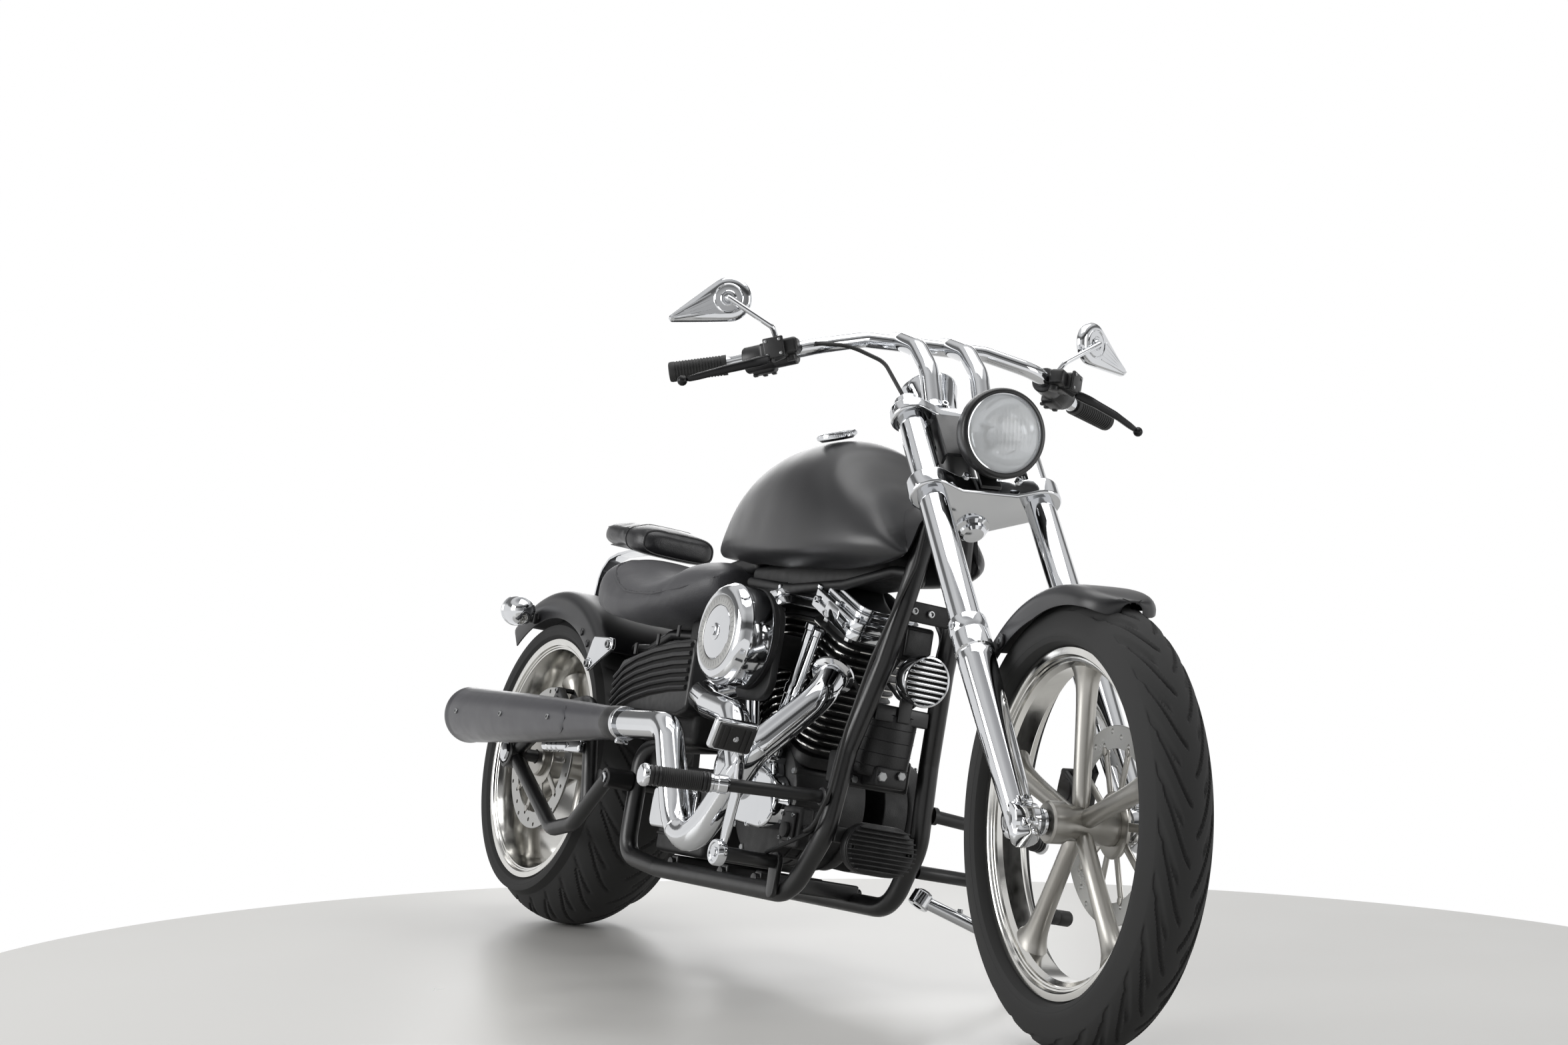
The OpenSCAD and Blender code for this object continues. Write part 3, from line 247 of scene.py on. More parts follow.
class Paint(Enum):
    """Every finish on the machine."""

    # Satin denim paint, sprayed: a soft grey sheen over charcoal
    DENIM = Finish("denim_satin_paint", "denim_paint", "141416", "18181b", rough=0.4, rough_spread=0.05,
                   blotch_mm=120, grain_mm=1.2, bump=0.04, coat=0.12, coat_rough=0.35)
    # Polyester powder coat, baked: a slight orange peel on black
    POWDER = Finish("powder_coat_black", "black_frame_paint", "0c0c0d", "111112", rough=0.36,
                    rough_spread=0.06, blotch_mm=30, grain_mm=2.0, bump=0.12, coat=0.15, coat_rough=0.25)
    # Wrinkle enamel on cast aluminium: a fine matt crinkle
    CRINKLE = Finish("wrinkle_enamel", "black_engine_paint", "0e0e0f", "141415", rough=0.5,
                     rough_spread=0.08, blotch_mm=25, grain_mm=1.8, bump=0.35)
    # Chromium plate, polished: a mirror with a thin haze of dust
    CHROME = Finish("chrome_plate", "chrome", "d9dadc", "cfd1d4", metallic=1.0, rough=0.07,
                    rough_spread=0.03, blotch_mm=60)
    # Cast aluminium, lacquered: satin with a fine grain
    CAST = Finish("cast_aluminium_satin", "cast_wheel", "a3a19c", "aeaca7", metallic=1.0, rough=0.34,
                  rough_spread=0.05, blotch_mm=60, grain_mm=3.0, bump=0.02)
    # Turned aluminium lip, polished bright
    LIP = Finish("polished_aluminium", "cast_wheel", "dcdbd8", "d2d1cd", metallic=1.0, rough=0.14,
                 rough_spread=0.04, blotch_mm=20)
    # Ground stainless steel: fine scratches round the disc
    STEEL = Finish("ground_stainless", "brushed_steel", "a6a6a4", "b0b0ae", metallic=1.0, rough=0.3,
                   rough_spread=0.04, blotch_mm=45)
    # Zinc plated fasteners
    ZINC = Finish("zinc_plate", "brushed_steel", "8c8d8e", "9b9c9c", metallic=1.0, rough=0.34,
                  rough_spread=0.08, blotch_mm=8)
    # Natural and black rubber, moulded
    TYRE = Finish("tyre_rubber", "tyre_rubber", "191919", "232322", rough=0.62, rough_spread=0.08,
                  blotch_mm=25, grain_mm=1.6, bump=0.15)
    RUBBER = Finish("moulded_rubber", "grip_rubber", "161616", "1d1d1d", rough=0.55, rough_spread=0.06,
                    blotch_mm=14, grain_mm=1.2, bump=0.15)
    # Vinyl leather: small pebbled grain, soft sheen
    LEATHER = Finish("seat_vinyl", "seat_leather", "323235", "39393c", rough=0.47, rough_spread=0.05,
                     blotch_mm=60, grain_mm=2.2, bump=0.22, cells=True, sheen=0.08)
    PAD = Finish("pad_vinyl", "pad_leather", "18181a", "202022", rough=0.34, rough_spread=0.06,
                 blotch_mm=40, grain_mm=2.2, bump=0.14, cells=True)
    THREAD = Finish("bonded_thread", "seat_leather", "343436", rough=0.6)
    # ABS, moulded with a fine texture
    PLASTIC = Finish("moulded_abs", "black_plastic", "141415", "1a1a1b", rough=0.4, rough_spread=0.06,
                     blotch_mm=12, grain_mm=1.0, bump=0.1)
    # Anodised lever, satin black
    ANODISED = Finish("black_anodised", "black_plastic", "1b1b1c", "232324", metallic=0.6, rough=0.33,
                      rough_spread=0.05, blotch_mm=10)
    # Ceramic muffler coat: dark satin
    CERAMIC = Finish("ceramic_coat", "muffler_coat", "303034", "37373b", rough=0.36, rough_spread=0.06,
                     blotch_mm=35, grain_mm=1.2, bump=0.06, coat=0.2, coat_rough=0.3)
    # Near-black matt: real soot inside the muffler's outlet, and painted shade on the oil tank's panels
    # between the ribs and in the horn's recess.
    SOOT_AND_SHADE = Finish("soot_and_painted_shade", "muffler_coat", "0b0b0b", "131211", rough=0.9, blotch_mm=15)
    GLASS = Finish("lamp_glass", "lamp_glass", "f4f7f8", rough=0.02, glass=1.0, ior=1.5)
    AMBER = Finish("amber_lens", "lamp_glass", "d9720f", "c5610a", rough=0.12, ior=1.49, coat=0.6)
    REFLECTOR = Finish("silvered_bowl", "chrome", "e6e8ea", metallic=1.0, rough=0.09)
    MIRROR = Finish("mirror_glass", "chrome", "e2e5e7", metallic=1.0, rough=0.02)
    DIAL = Finish("dial_face", "black_plastic", "101011", "161617", rough=0.3, coat=0.8, coat_rough=0.03)
    DIAL_MARK = Finish("dial_marks", "black_plastic", "d9d9d6", rough=0.5)

    def material(self) -> bpy.types.Material:
        """Returns the finish's material."""
        return self.value.build()


# ---------- making ----------
def deselect() -> None:
    """Clears the selection before a new piece."""
    if bpy.context.mode != "OBJECT":
        bpy.ops.object.mode_set(mode="OBJECT")
    bpy.ops.object.select_all(action="DESELECT")


def only(piece: bpy.types.Object) -> None:
    """Makes one piece the whole selection."""
    deselect()
    piece.select_set(True)
    bpy.context.view_layer.objects.active = piece


def apply_modifier(piece: bpy.types.Object, kind: str, **settings) -> None:
    """Adds a modifier and applies it.

    Args:
        piece: The piece.
        kind: The modifier's type.
        settings: Its properties.
    """
    only(piece)
    modifier = piece.modifiers.new(kind.lower(), kind)
    for key, value in settings.items():
        setattr(modifier, key, value)
    bpy.ops.object.modifier_apply(modifier=modifier.name)


def edit(piece: bpy.types.Object, work: Callable[[], None]) -> None:
    """Runs edit-mode work with the whole mesh selected.

    Args:
        piece: The piece.
        work: What to do there.
    """
    only(piece)
    bpy.ops.object.mode_set(mode="EDIT")
    bpy.ops.mesh.select_all(action="SELECT")
    work()
    bpy.ops.object.mode_set(mode="OBJECT")


def tidy_normals() -> None:
    """Merges doubles and points the faces outwards, in edit mode."""
    bpy.ops.mesh.select_all(action="SELECT")
    bpy.ops.mesh.remove_doubles(threshold=0.02)
    bpy.ops.mesh.normals_make_consistent(inside=False)


def new_mesh(name: str, points: Sequence, edges: Sequence = (), faces: Sequence = ()) -> bpy.types.Object:
    """Adds a mesh object from points, edges and faces, in millimetres."""
    mesh = bpy.data.meshes.new(name)
    mesh.from_pydata([tuple(p) for p in points], list(edges), list(faces))
    mesh.update()
    piece = bpy.data.objects.new(name, mesh)
    bpy.context.collection.objects.link(piece)
    return piece


def toward(start: Vector, end: Vector) -> Matrix:
    """Returns the matrix that takes +Z to the line from start to end, standing at start."""
    turn = (Vector(end) - Vector(start)).to_track_quat("Z", "Y").to_matrix().to_4x4()
    return Matrix.Translation(start) @ turn


def lathe(name: str, profile: Sequence[tuple[float, float]], start: Sequence[float], end: Sequence[float],
          steps: int = 64, angle: float = 360.0, phase: float = 0.0) -> bpy.types.Object:
    """Spins a profile about the line from start towards end.

    Args:
        name: The piece's name.
        profile: Radius and height pairs, the height measured from start.
        start: Where height is nought.
        end: A point further along the axis.
        steps: Facets in a turn.
        angle: How far it spins.
        phase: Where the spin starts.

    Returns:
        The piece, in millimetres.
    """
    turn = Matrix.Rotation(math.radians(phase), 4, "Z")
    points = [turn @ Vector((r, 0, h)) for r, h in profile]
    piece = new_mesh(name, points, [(i, i + 1) for i in range(len(points) - 1)])

    def spin() -> None:
        """Spins the edge chain."""
        bpy.ops.mesh.spin(steps=max(3, round(steps * angle / 360)), angle=math.radians(angle),
                          center=(0, 0, 0), axis=(0, 0, 1))
        tidy_normals()

    edit(piece, spin)
    piece.data.transform(toward(Vector(start), Vector(end)))
    return piece


def rod(name: str, start: Sequence[float], end: Sequence[float], radius: float,
        radius_end: float | None = None, sides: int = 40, edge: float = 1.0) -> bpy.types.Object:
    """A turned rod with eased edges.

    Args:
        name: The piece's name.
        start: Middle of one end.
        end: Middle of the other.
        radius: Radius at the start.
        radius_end: Radius at the end, if it tapers.
        sides: Facets round it.
        edge: How much each end is eased.

    Returns:
        The piece, in millimetres.
    """
    r1 = radius if radius_end is None else radius_end
    long = (Vector(end) - Vector(start)).length
    e = min(edge, 0.4 * long, 0.6 * min(radius, r1))
    profile = [(0, 0), (radius - e, 0), (radius - 0.3 * e, 0.3 * e), (radius, e), (r1, long - e),
               (r1 - 0.3 * e, long - 0.3 * e), (r1 - e, long), (0, long)]
    return lathe(name, profile, start, end, sides)


def rounded_route(points: Sequence[Sequence[float]], bends: Sequence[float],
                  steps: int = 8) -> list[Vector]:
    """A route whose corners are arcs.

    Args:
        points: The corners.
        bends: The bend radius at each inner corner.
        steps: Points along each arc.

    Returns:
        The points along it.
    """
    route = [Vector(p) for p in points]
    out = [route[0]]
    for i in range(1, len(route) - 1):
        a, b, c = route[i - 1], route[i], route[i + 1]
        into, away = (a - b).normalized(), (c - b).normalized()
        half = into.angle(away) / 2
        back = bends[i - 1] / math.tan(half)
        back = min(back, 0.48 * (a - b).length, 0.48 * (c - b).length)
        for k in range(steps + 1):
            t = k / steps
            out.append((b + into * back).lerp(b, t).lerp(b.lerp(b + away * back, t), t))
    out.append(route[-1])
    return out


def tube(name: str, route: Sequence[Sequence[float]], radius: float, sides: int = 24,
         smooth: bool = False, radii: Sequence[float] | None = None) -> bpy.types.Object:
    """A tube along a route, from a bevelled curve with closed ends.

    Args:
        name: The piece's name.
        route: Points along its middle.
        radius: The tube's radius.
        sides: Facets round it.
        smooth: Whether the route is rounded through its points.
        radii: A factor on the radius at each point.

    Returns:
        The piece, in millimetres.
    """
    deselect()
    bpy.ops.curve.primitive_nurbs_path_add(location=(0, 0, 0))
    piece = bpy.context.object
    piece.name = name
    data = piece.data
    data.splines.clear()
    spline = data.splines.new("NURBS" if smooth else "POLY")
    spline.points.add(len(route) - 1)
    for i, p in enumerate(route):
        spline.points[i].co = (*p, 1.0)
        spline.points[i].radius = radii[i] if radii else 1.0
    if smooth:
        spline.order_u = 4
        spline.use_endpoint_u = True
        spline.resolution_u = 6
    data.bevel_depth = radius
    data.bevel_resolution = max(1, sides // 4 - 1)
    data.use_fill_caps = True
    data.twist_mode = "MINIMUM"
    only(piece)
    bpy.ops.object.convert(target="MESH")
    edit(piece, tidy_normals)
    return piece


def slab(name: str, outline: Sequence[Sequence[float]], lift: Sequence[float], bevel: float = 0.0,
         segments: int = 2) -> bpy.types.Object:
    """A flat outline extruded to a thickness, with its edges eased.

    Args:
        name: The piece's name.
        outline: The corners, in order.
        lift: The extrusion.
        bevel: Width of the eased edges.
        segments: Facets across them.

    Returns:
        The piece, in millimetres.
    """
    piece = new_mesh(name, outline, faces=[tuple(range(len(outline)))])

    def raise_it() -> None:
        """Extrudes the outline."""
        bpy.ops.mesh.extrude_region_move(TRANSFORM_OT_translate={"value": tuple(lift)})
        tidy_normals()

    edit(piece, raise_it)
    if bevel:
        apply_modifier(piece, "BEVEL", width=bevel, segments=segments, limit_method="ANGLE",
                       angle_limit=math.radians(35))
    return piece


def block(name: str, centre: Sequence[float], size: Sequence[float], bevel: float = 1.5,
          turn: Matrix | None = None, segments: int = 3) -> bpy.types.Object:
    """A milled block with eased edges.

    Args:
        name: The piece's name.
        centre: Its middle.
        size: Its three sizes.
        bevel: Width of the eased edges.
        turn: A rotation about its middle.
        segments: Facets across an edge.

    Returns:
        The piece, in millimetres.
    """
    deselect()
    bpy.ops.mesh.primitive_cube_add(size=1.0, location=(0, 0, 0))
    piece = bpy.context.object
    piece.name = name
    piece.data.transform(Matrix.Diagonal((*size, 1.0)))
    apply_modifier(piece, "BEVEL", width=min(bevel, 0.45 * min(size)), segments=segments)
    piece.data.transform(Matrix.Translation(centre) @ (turn or Matrix()))
    return piece


def loft(name: str, rings: Sequence[Sequence[Sequence[float]]], levels: int = 2, caps: bool = True,
         closed: bool = False) -> bpy.types.Object:
    """Bridges rings of points into one skin and subdivides it.

    Args:
        name: The piece's name.
        rings: Rings of as many points each.
        levels: Subdivision levels.
        caps: Whether the first and last ring are filled.
        closed: Whether the last ring joins the first.

    Returns:
        The piece, in millimetres.
    """
    n = len(rings[0])
    points = [p for ring in rings for p in ring]
    faces = []
    last = len(rings) if closed else len(rings) - 1
    for i in range(last):
        a, b = i * n, (i + 1) % len(rings) * n
        faces += [(a + k, a + (k + 1) % n, b + (k + 1) % n, b + k) for k in range(n)]
    if caps and not closed:
        faces += [tuple(range(n))[::-1], tuple(range((len(rings) - 1) * n, len(rings) * n))]
    piece = new_mesh(name, points, faces=faces)
    edit(piece, tidy_normals)
    if levels:
        apply_modifier(piece, "SUBSURF", levels=levels, render_levels=levels)
    return piece


def copy_of(piece: bpy.types.Object, change: Matrix) -> bpy.types.Object:
    """Returns a copy with its own mesh, moved by the matrix."""
    twin = piece.copy()
    twin.data = piece.data.copy()
    bpy.context.collection.objects.link(twin)
    twin.data.transform(change)
    if change.determinant() < 0:
        twin.data.flip_normals()
    return twin


def mirrored(piece: bpy.types.Object) -> bpy.types.Object:
    """Returns the piece's mirror image on the machine's other side."""
    return copy_of(piece, Matrix.Scale(-1, 4, (0, 1, 0)))


def joined(name: str, pieces: Iterable[bpy.types.Object]) -> bpy.types.Object:
    """Joins pieces into one and names it."""
    group = list(pieces)
    only(group[0])
    for piece in group:
        piece.select_set(True)
    if len(group) > 1:
        bpy.ops.object.join()
    group[0].name = name
    return group[0]


def squarish(wave: float, power: float) -> float:
    """Returns a sine or cosine raised to a power, with its own sign: a circle turned squarish."""
    return math.copysign(abs(wave) ** power, wave)


def polar(count: int, phase: float = 0.0) -> list[float]:
    """Returns evenly spaced angles in radians."""
    return [math.radians(phase) + 2 * math.pi * i / count for i in range(count)]


def smooth(piece: bpy.types.Object, angle: float = 35.0) -> None:
    """Shades a piece smooth up to an angle."""
    only(piece)
    bpy.ops.object.shade_smooth_by_angle(angle=math.radians(angle))


PLACED: list[str] = []


def place(piece: bpy.types.Object, paint: Paint, body: Body, replaces: Sequence[str] = (),
          angle: float = 35.0, move: bool = True) -> bpy.types.Object:
    """Takes a finished piece to its place, paints it and lets it ride.

    Args:
        piece: The piece, in the machine's millimetres.
        paint: Its finish.
        body: The body that it moves with.
        replaces: CAD nodes that it stands for.
        angle: Shading angle.
        move: Whether it still has to go from millimetres to the frame.

    Returns:
        The piece.
    """
    if move:
        piece.data.transform(body.matrix())
    piece.data.update()
    smooth(piece, angle)
    if not piece.data.materials:
        piece.data.materials.append(paint.material())
    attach(piece, body.value)
    if replaces:
        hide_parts(*replaces)
    PLACED.append(piece.name)
    LOG.info("%s: %d faces", piece.name, len(piece.data.polygons))
    return piece


def socket_head(name: str, centre: Sequence[float], out: Sequence[float], radius: float = 6.0,
                height: float = 5.0) -> bpy.types.Object:
    """A socket-head bolt: a turned head with a hexagon recess.

    Args:
        name: The piece's name.
        centre: Where the head sits.
        out: The direction its head faces.
        radius: The head's radius.
        height: The head's height.

    Returns:
        The piece, in millimetres.
    """
    base, away = Vector(centre), Vector(out).normalized()
    e = 0.18 * radius
    head = lathe(name, [(0, 0), (radius, 0), (radius, height - e), (radius - e, height),
                        (0.55 * radius, height)], base, base + away, 20)
    well = lathe(name + "_well", [(0.55 * radius, height), (0.5 * radius, 0.35 * height),
                                  (0, 0.3 * height)], base, base + away, 6)
    return joined(name, [head, well])


def hex_head(name: str, centre: Sequence[float], out: Sequence[float], radius: float = 9.0,
             height: float = 6.0, washer: float = 0.0) -> bpy.types.Object:
    """A hexagon bolt head, chamfered, on a washer if it has one.

    Args:
        name: The piece's name.
        centre: Where the head sits.
        out: The direction it faces.
        radius: Across its corners, halved.
        height: The head's height.
        washer: The washer's radius, or nought.

    Returns:
        The piece, in millimetres.
    """
    base, away = Vector(centre), Vector(out).normalized()
    head = lathe(name, [(0, 0), (radius, 0), (radius, 0.8 * height), (0.82 * radius, height), (0, height)],
                 base, base + away, 6)
    if not washer:
        return head
    ring = lathe(name + "_washer", [(0, 0), (washer, 0), (washer, 1.6), (0, 1.6)], base, base + away, 24)
    return joined(name, [head, ring])


# ---------- studio ----------
@dataclass
class Studio:
    """Pale floor, white surround, soft lamps and the camera."""

    eye: Point = (3.904377, -2.251594, 0.6363)
    yaw: float = 151.33
    tilt: float = 2.03
    lens: float = 58.2
    disc: float = 1.62

    def build(self) -> None:
        """Builds the whole studio."""
        self.camera()
        self.floor()
        self.world()
        self.lamps()

    def camera(self) -> None:
        """Stands the camera where it sees the machine's right front."""
        deselect()
        bpy.ops.object.camera_add(location=self.eye, rotation=(math.radians(90 + self.tilt), 0,
                                                               math.radians(self.yaw - 90)))
        camera = bpy.context.object
        camera.data.lens = self.lens
        camera.data.sensor_width = 36.0
        camera.data.clip_end = 60.0
        bpy.context.scene.camera = camera

    def backdrop(self, name: str, colour: str, rough: float, seen: float) -> bpy.types.Material:
        """A stage material that is paler where the camera, gloss and glass look at it.

        Args:
            name: The material's name.
            colour: Its own colour.
            rough: Its roughness.
            seen: How far it is whitened there.

        Returns:
            The material.
        """
        material = bpy.data.materials.new(name)
        material.use_nodes = True
        tree = material.node_tree
        shader = tree.nodes["Principled BSDF"]
        shader.inputs["Base Color"].default_value = linear(colour)
        shader.inputs["Roughness"].default_value = rough
        path = add_node(tree, "LightPath")
        some = add_node(tree, "Math", {0: path.outputs["Is Camera Ray"], 1: path.outputs["Is Glossy Ray"]},
                        operation="ADD")
        some = add_node(tree, "Math", {0: some.outputs[0], 1: path.outputs["Is Transmission Ray"]},
                        operation="ADD", use_clamp=True)
        amount = add_node(tree, "Math", {0: some.outputs[0], 1: seen}, operation="MULTIPLY")
        glow = add_node(tree, "Emission", {"Color": (1, 1, 1, 1), "Strength": 1.0})
        mix = add_node(tree, "MixShader", {0: amount.outputs[0], 1: shader.outputs[0], 2: glow.outputs[0]})
        tree.links.new(mix.outputs[0], tree.nodes["Material Output"].inputs[0])
        return material

    def floor(self) -> None:
        """A grey turntable in a white floor."""
        deselect()
        bpy.ops.mesh.primitive_circle_add(vertices=160, radius=self.disc, fill_type="NGON",
                                          location=(0.05, 0, 0))
        disc = bpy.context.object
        disc.name = "turntable"
        material = bpy.data.materials.new("painted_screed")
        material.use_nodes = True
        tree = material.node_tree
        shader = tree.nodes["Principled BSDF"]
        place_at = add_node(tree, "TexCoord").outputs["Object"]
        cloud = add_node(tree, "TexNoise", {"Vector": place_at, "Scale": 3.0, "Detail": 5.0})
        colour = add_node(tree, "MixRGB", {0: cloud.outputs[0], 1: linear("b4b3b0"), 2: linear("c4c3c0")})
        gloss = add_node(tree, "MapRange", {0: cloud.outputs[0], 3: 0.22, 4: 0.4})
        tree.links.new(colour.outputs[0], shader.inputs["Base Color"])
        tree.links.new(gloss.outputs[0], shader.inputs["Roughness"])
        disc.data.materials.append(material)
        deselect()
        bpy.ops.mesh.primitive_circle_add(vertices=64, radius=14.0, fill_type="NGON",
                                          location=(0, 0, -0.002))
        ground = bpy.context.object
        ground.name = "white_floor"
        ground.data.materials.append(self.backdrop("white_backdrop", "f2f2f2", 0.8, 1.0))

    def world(self) -> None:
        """A white room with a darker band, so that chrome has something to show."""
        world = bpy.data.worlds.new("white_room")
        bpy.context.scene.world = world
        world.use_nodes = True
        tree = world.node_tree
        sky = tree.nodes["Background"]
        way = add_node(tree, "TexCoord").outputs["Generated"]
        parts = add_node(tree, "SeparateXYZ", {0: way})
        ramp = add_node(tree, "ValToRGB", {0: parts.outputs[2]})
        ramp.color_ramp.elements[0].position = 0.0
        ramp.color_ramp.elements[0].color = (0.95, 0.95, 0.95, 1)
        ramp.color_ramp.elements[1].position = 1.0
        ramp.color_ramp.elements[1].color = (0.30, 0.30, 0.31, 1)
        for spot, level in ((0.28, 0.95), (0.36, 0.22), (0.52, 0.16), (0.62, 0.75), (0.8, 0.8)):
            mark = ramp.color_ramp.elements.new(spot)
            mark.color = (level, level, level, 1)
        side = add_node(tree, "MapRange", {0: parts.outputs[0], 1: 0.35, 2: 0.95, 3: 1.0, 4: 0.25})
        dim = add_node(tree, "MixRGB", {0: 1.0, 1: ramp.outputs[0], 2: side.outputs[0]},
                       blend_type="MULTIPLY")
        path = add_node(tree, "LightPath")
        seen = add_node(tree, "MixRGB", {0: path.outputs["Is Camera Ray"], 1: dim.outputs[0],
                                         2: (1, 1, 1, 1)})
        tree.links.new(seen.outputs[0], sky.inputs[0])
        sky.inputs[1].default_value = 1.0

    def lamps(self) -> None:
        """Four soft boxes: over the machine, at its right, behind it and before it."""
        for name, spot, aim, size, power in (
                ("top_box", (0.2, 0.2, 3.4), (0, 0, 0.5), 2.6, 60),
                ("right_box", (-0.8, -4.2, 1.9), (-0.2, 0, 0.5), 2.4, 105),
                ("rear_box", (-3.6, 1.8, 2.2), (0, 0, 0.6), 2.2, 45),
                ("front_box", (4.0, 2.6, 1.6), (0.6, 0, 0.5), 2.0, 40)):
            deselect()
            way = (Vector(aim) - Vector(spot)).to_track_quat("-Z", "Y")
            bpy.ops.object.light_add(type="AREA", location=spot, rotation=way.to_euler())
            lamp = bpy.context.object
            lamp.name = name
            lamp.data.size = size
            lamp.data.energy = power


# ---------- carried-over CAD nodes ----------
CAD_PAINT: dict[str, Paint] = {"front_axle": Paint.ZINC, "rear_pulley": Paint.CAST}


def dress_cad(nodes: dict[str, bpy.types.Object]) -> None:
    """Gives the CAD nodes that stay in sight their finish.

    Args:
        nodes: The frame's node objects by name.
    """
    for name, paint in CAD_PAINT.items():
        piece = nodes.get(name)
        if piece is None:
            LOG.warning("no node %s", name)
            continue
        if not piece.data.materials:
            piece.data.materials.append(paint.material())
        for i in range(len(piece.material_slots)):
            piece.material_slots[i].material = paint.material()


# ---------- wheels ----------
@dataclass
class Tyre:
    """A tyre with moulded grooves.

    Attributes:
        name: The piece's name.
        centre: Where its axle crosses its middle plane.
        outer: Radius over the crown.
        half: Half its width.
        crown: Radius of the crown's curve.
        crown_angle: Half the crown's arc.
        rim: The rim's radius.
        rim_half: Half the rim's width.
        blocks: How often the tread repeats.
        sweep: How far round a groove runs from the middle to the shoulder, in degrees.
    """

    name: str
    centre: Vector
    outer: float
    half: float
    crown: float
    crown_angle: float
    rim: float
    rim_half: float
    blocks: int
    sweep: float
    around: int = 640
    groove: float = 4.0
    groove_wide: float = 6.4

    def section(self) -> list[tuple[float, float, float]]:
        """Returns radius, side and tread share (1 on the crown, 0 on the wall) round the section."""
        lip = self.rim_half - 4.3
        one = [(self.rim - 11.7, lip), (self.rim + 1, lip), (self.rim + 2, lip),
               (self.rim + 4, self.half - 10), (self.rim + 7, self.half - 4.5),
               (self.rim + 14, self.half - 1.0), (self.rim + 20, self.half - 0.2),
               (self.rim + 27, self.half - 2)]
        n = 26
        crown = []
        for i in range(2 * n + 1):
            a = math.radians(self.crown_angle * (1 - i / n))
            crown.append((self.outer - self.crown + self.crown * math.cos(a), self.crown * math.sin(a),
                          1.0))
        walls = [(r, y, 0.0) for r, y in one]
        return walls + crown + [(r, -y, 0.0) for r, y, _ in reversed(walls)]

    def depth(self, turn: float, side: float) -> float:
        """How deep the tread is cut.

        Args:
            turn: The angle round the tyre, in radians.
            side: From -1 to 1 across the crown.

        Returns:
            The depth in millimetres.
        """
        pitch = 2 * math.pi / self.blocks
        shoulder = abs(side)
        half_step = 0.5 * pitch if side < 0 else 0.0
        run = math.radians(self.sweep)
        deep = 0.0
        for lane, start, stop, share in ((0.0, 0.06, 0.86, 1.0), (0.5, 0.34, 0.97, 0.8)):
            if not start < shoulder < stop:
                continue
            line = run * (shoulder ** 1.6) * (1 if lane == 0.0 else 0.72)
            off = (turn - half_step - lane * pitch - line) % pitch
            off = min(off, pitch - off) * self.outer
            slope = math.hypot(1.0, run * 1.6 * shoulder ** 0.6 * self.outer / (self.half + 1))
            near = off / slope / (0.5 * self.groove_wide)
            ends = min(1.0, (shoulder - start) / 0.05, (stop - shoulder) / 0.05)
            deep = max(deep, share * ends * max(0.0, 1.0 - near ** 4))
        return self.groove * deep

    def build(self, body: Body) -> None:
        """Builds, cuts and places the tyre.

        Args:
            body: The wheel's body.
        """
        section = self.section()
        n = len(section)
        half = self.crown * math.sin(math.radians(self.crown_angle))
        points, faces = [], []
        for i in range(self.around):
            turn = 2 * math.pi * i / self.around
            c, s = math.cos(turn), math.sin(turn)
            for r, y, tread in section:
                r -= self.depth(turn, y / half) * tread if tread else 0.0
                points.append((self.centre.x + r * c, y, self.centre.z + r * s))
            a, b = i * n, (i + 1) % self.around * n
            faces += [(a + k, b + k, b + (k + 1) % n, a + (k + 1) % n) for k in range(n)]
        piece = new_mesh(self.name + "_tread", points, faces=faces)
        edit(piece, tidy_normals)
        place(piece, Paint.TYRE, body, [self.name], angle=28)
        ribs = []
        for lift, out in ((0.2, 0.4), (0.34, 0.3)):
            r = self.rim + 7 + lift * 40
            y = self.half - 1.6 + out
            for sign in (-1, 1):
                base = Vector((self.centre.x, sign * y, self.centre.z))
                ribs.append(lathe("rib", [(r - 1.6, -1.4), (r - 0.6, 0.6), (r + 0.6, 0.6), (r + 1.6, -1.4)],
                                  base, base + Vector((0, sign, 0)), 160))
        place(joined(self.name + "_wall_ribs", ribs), Paint.TYRE, body)


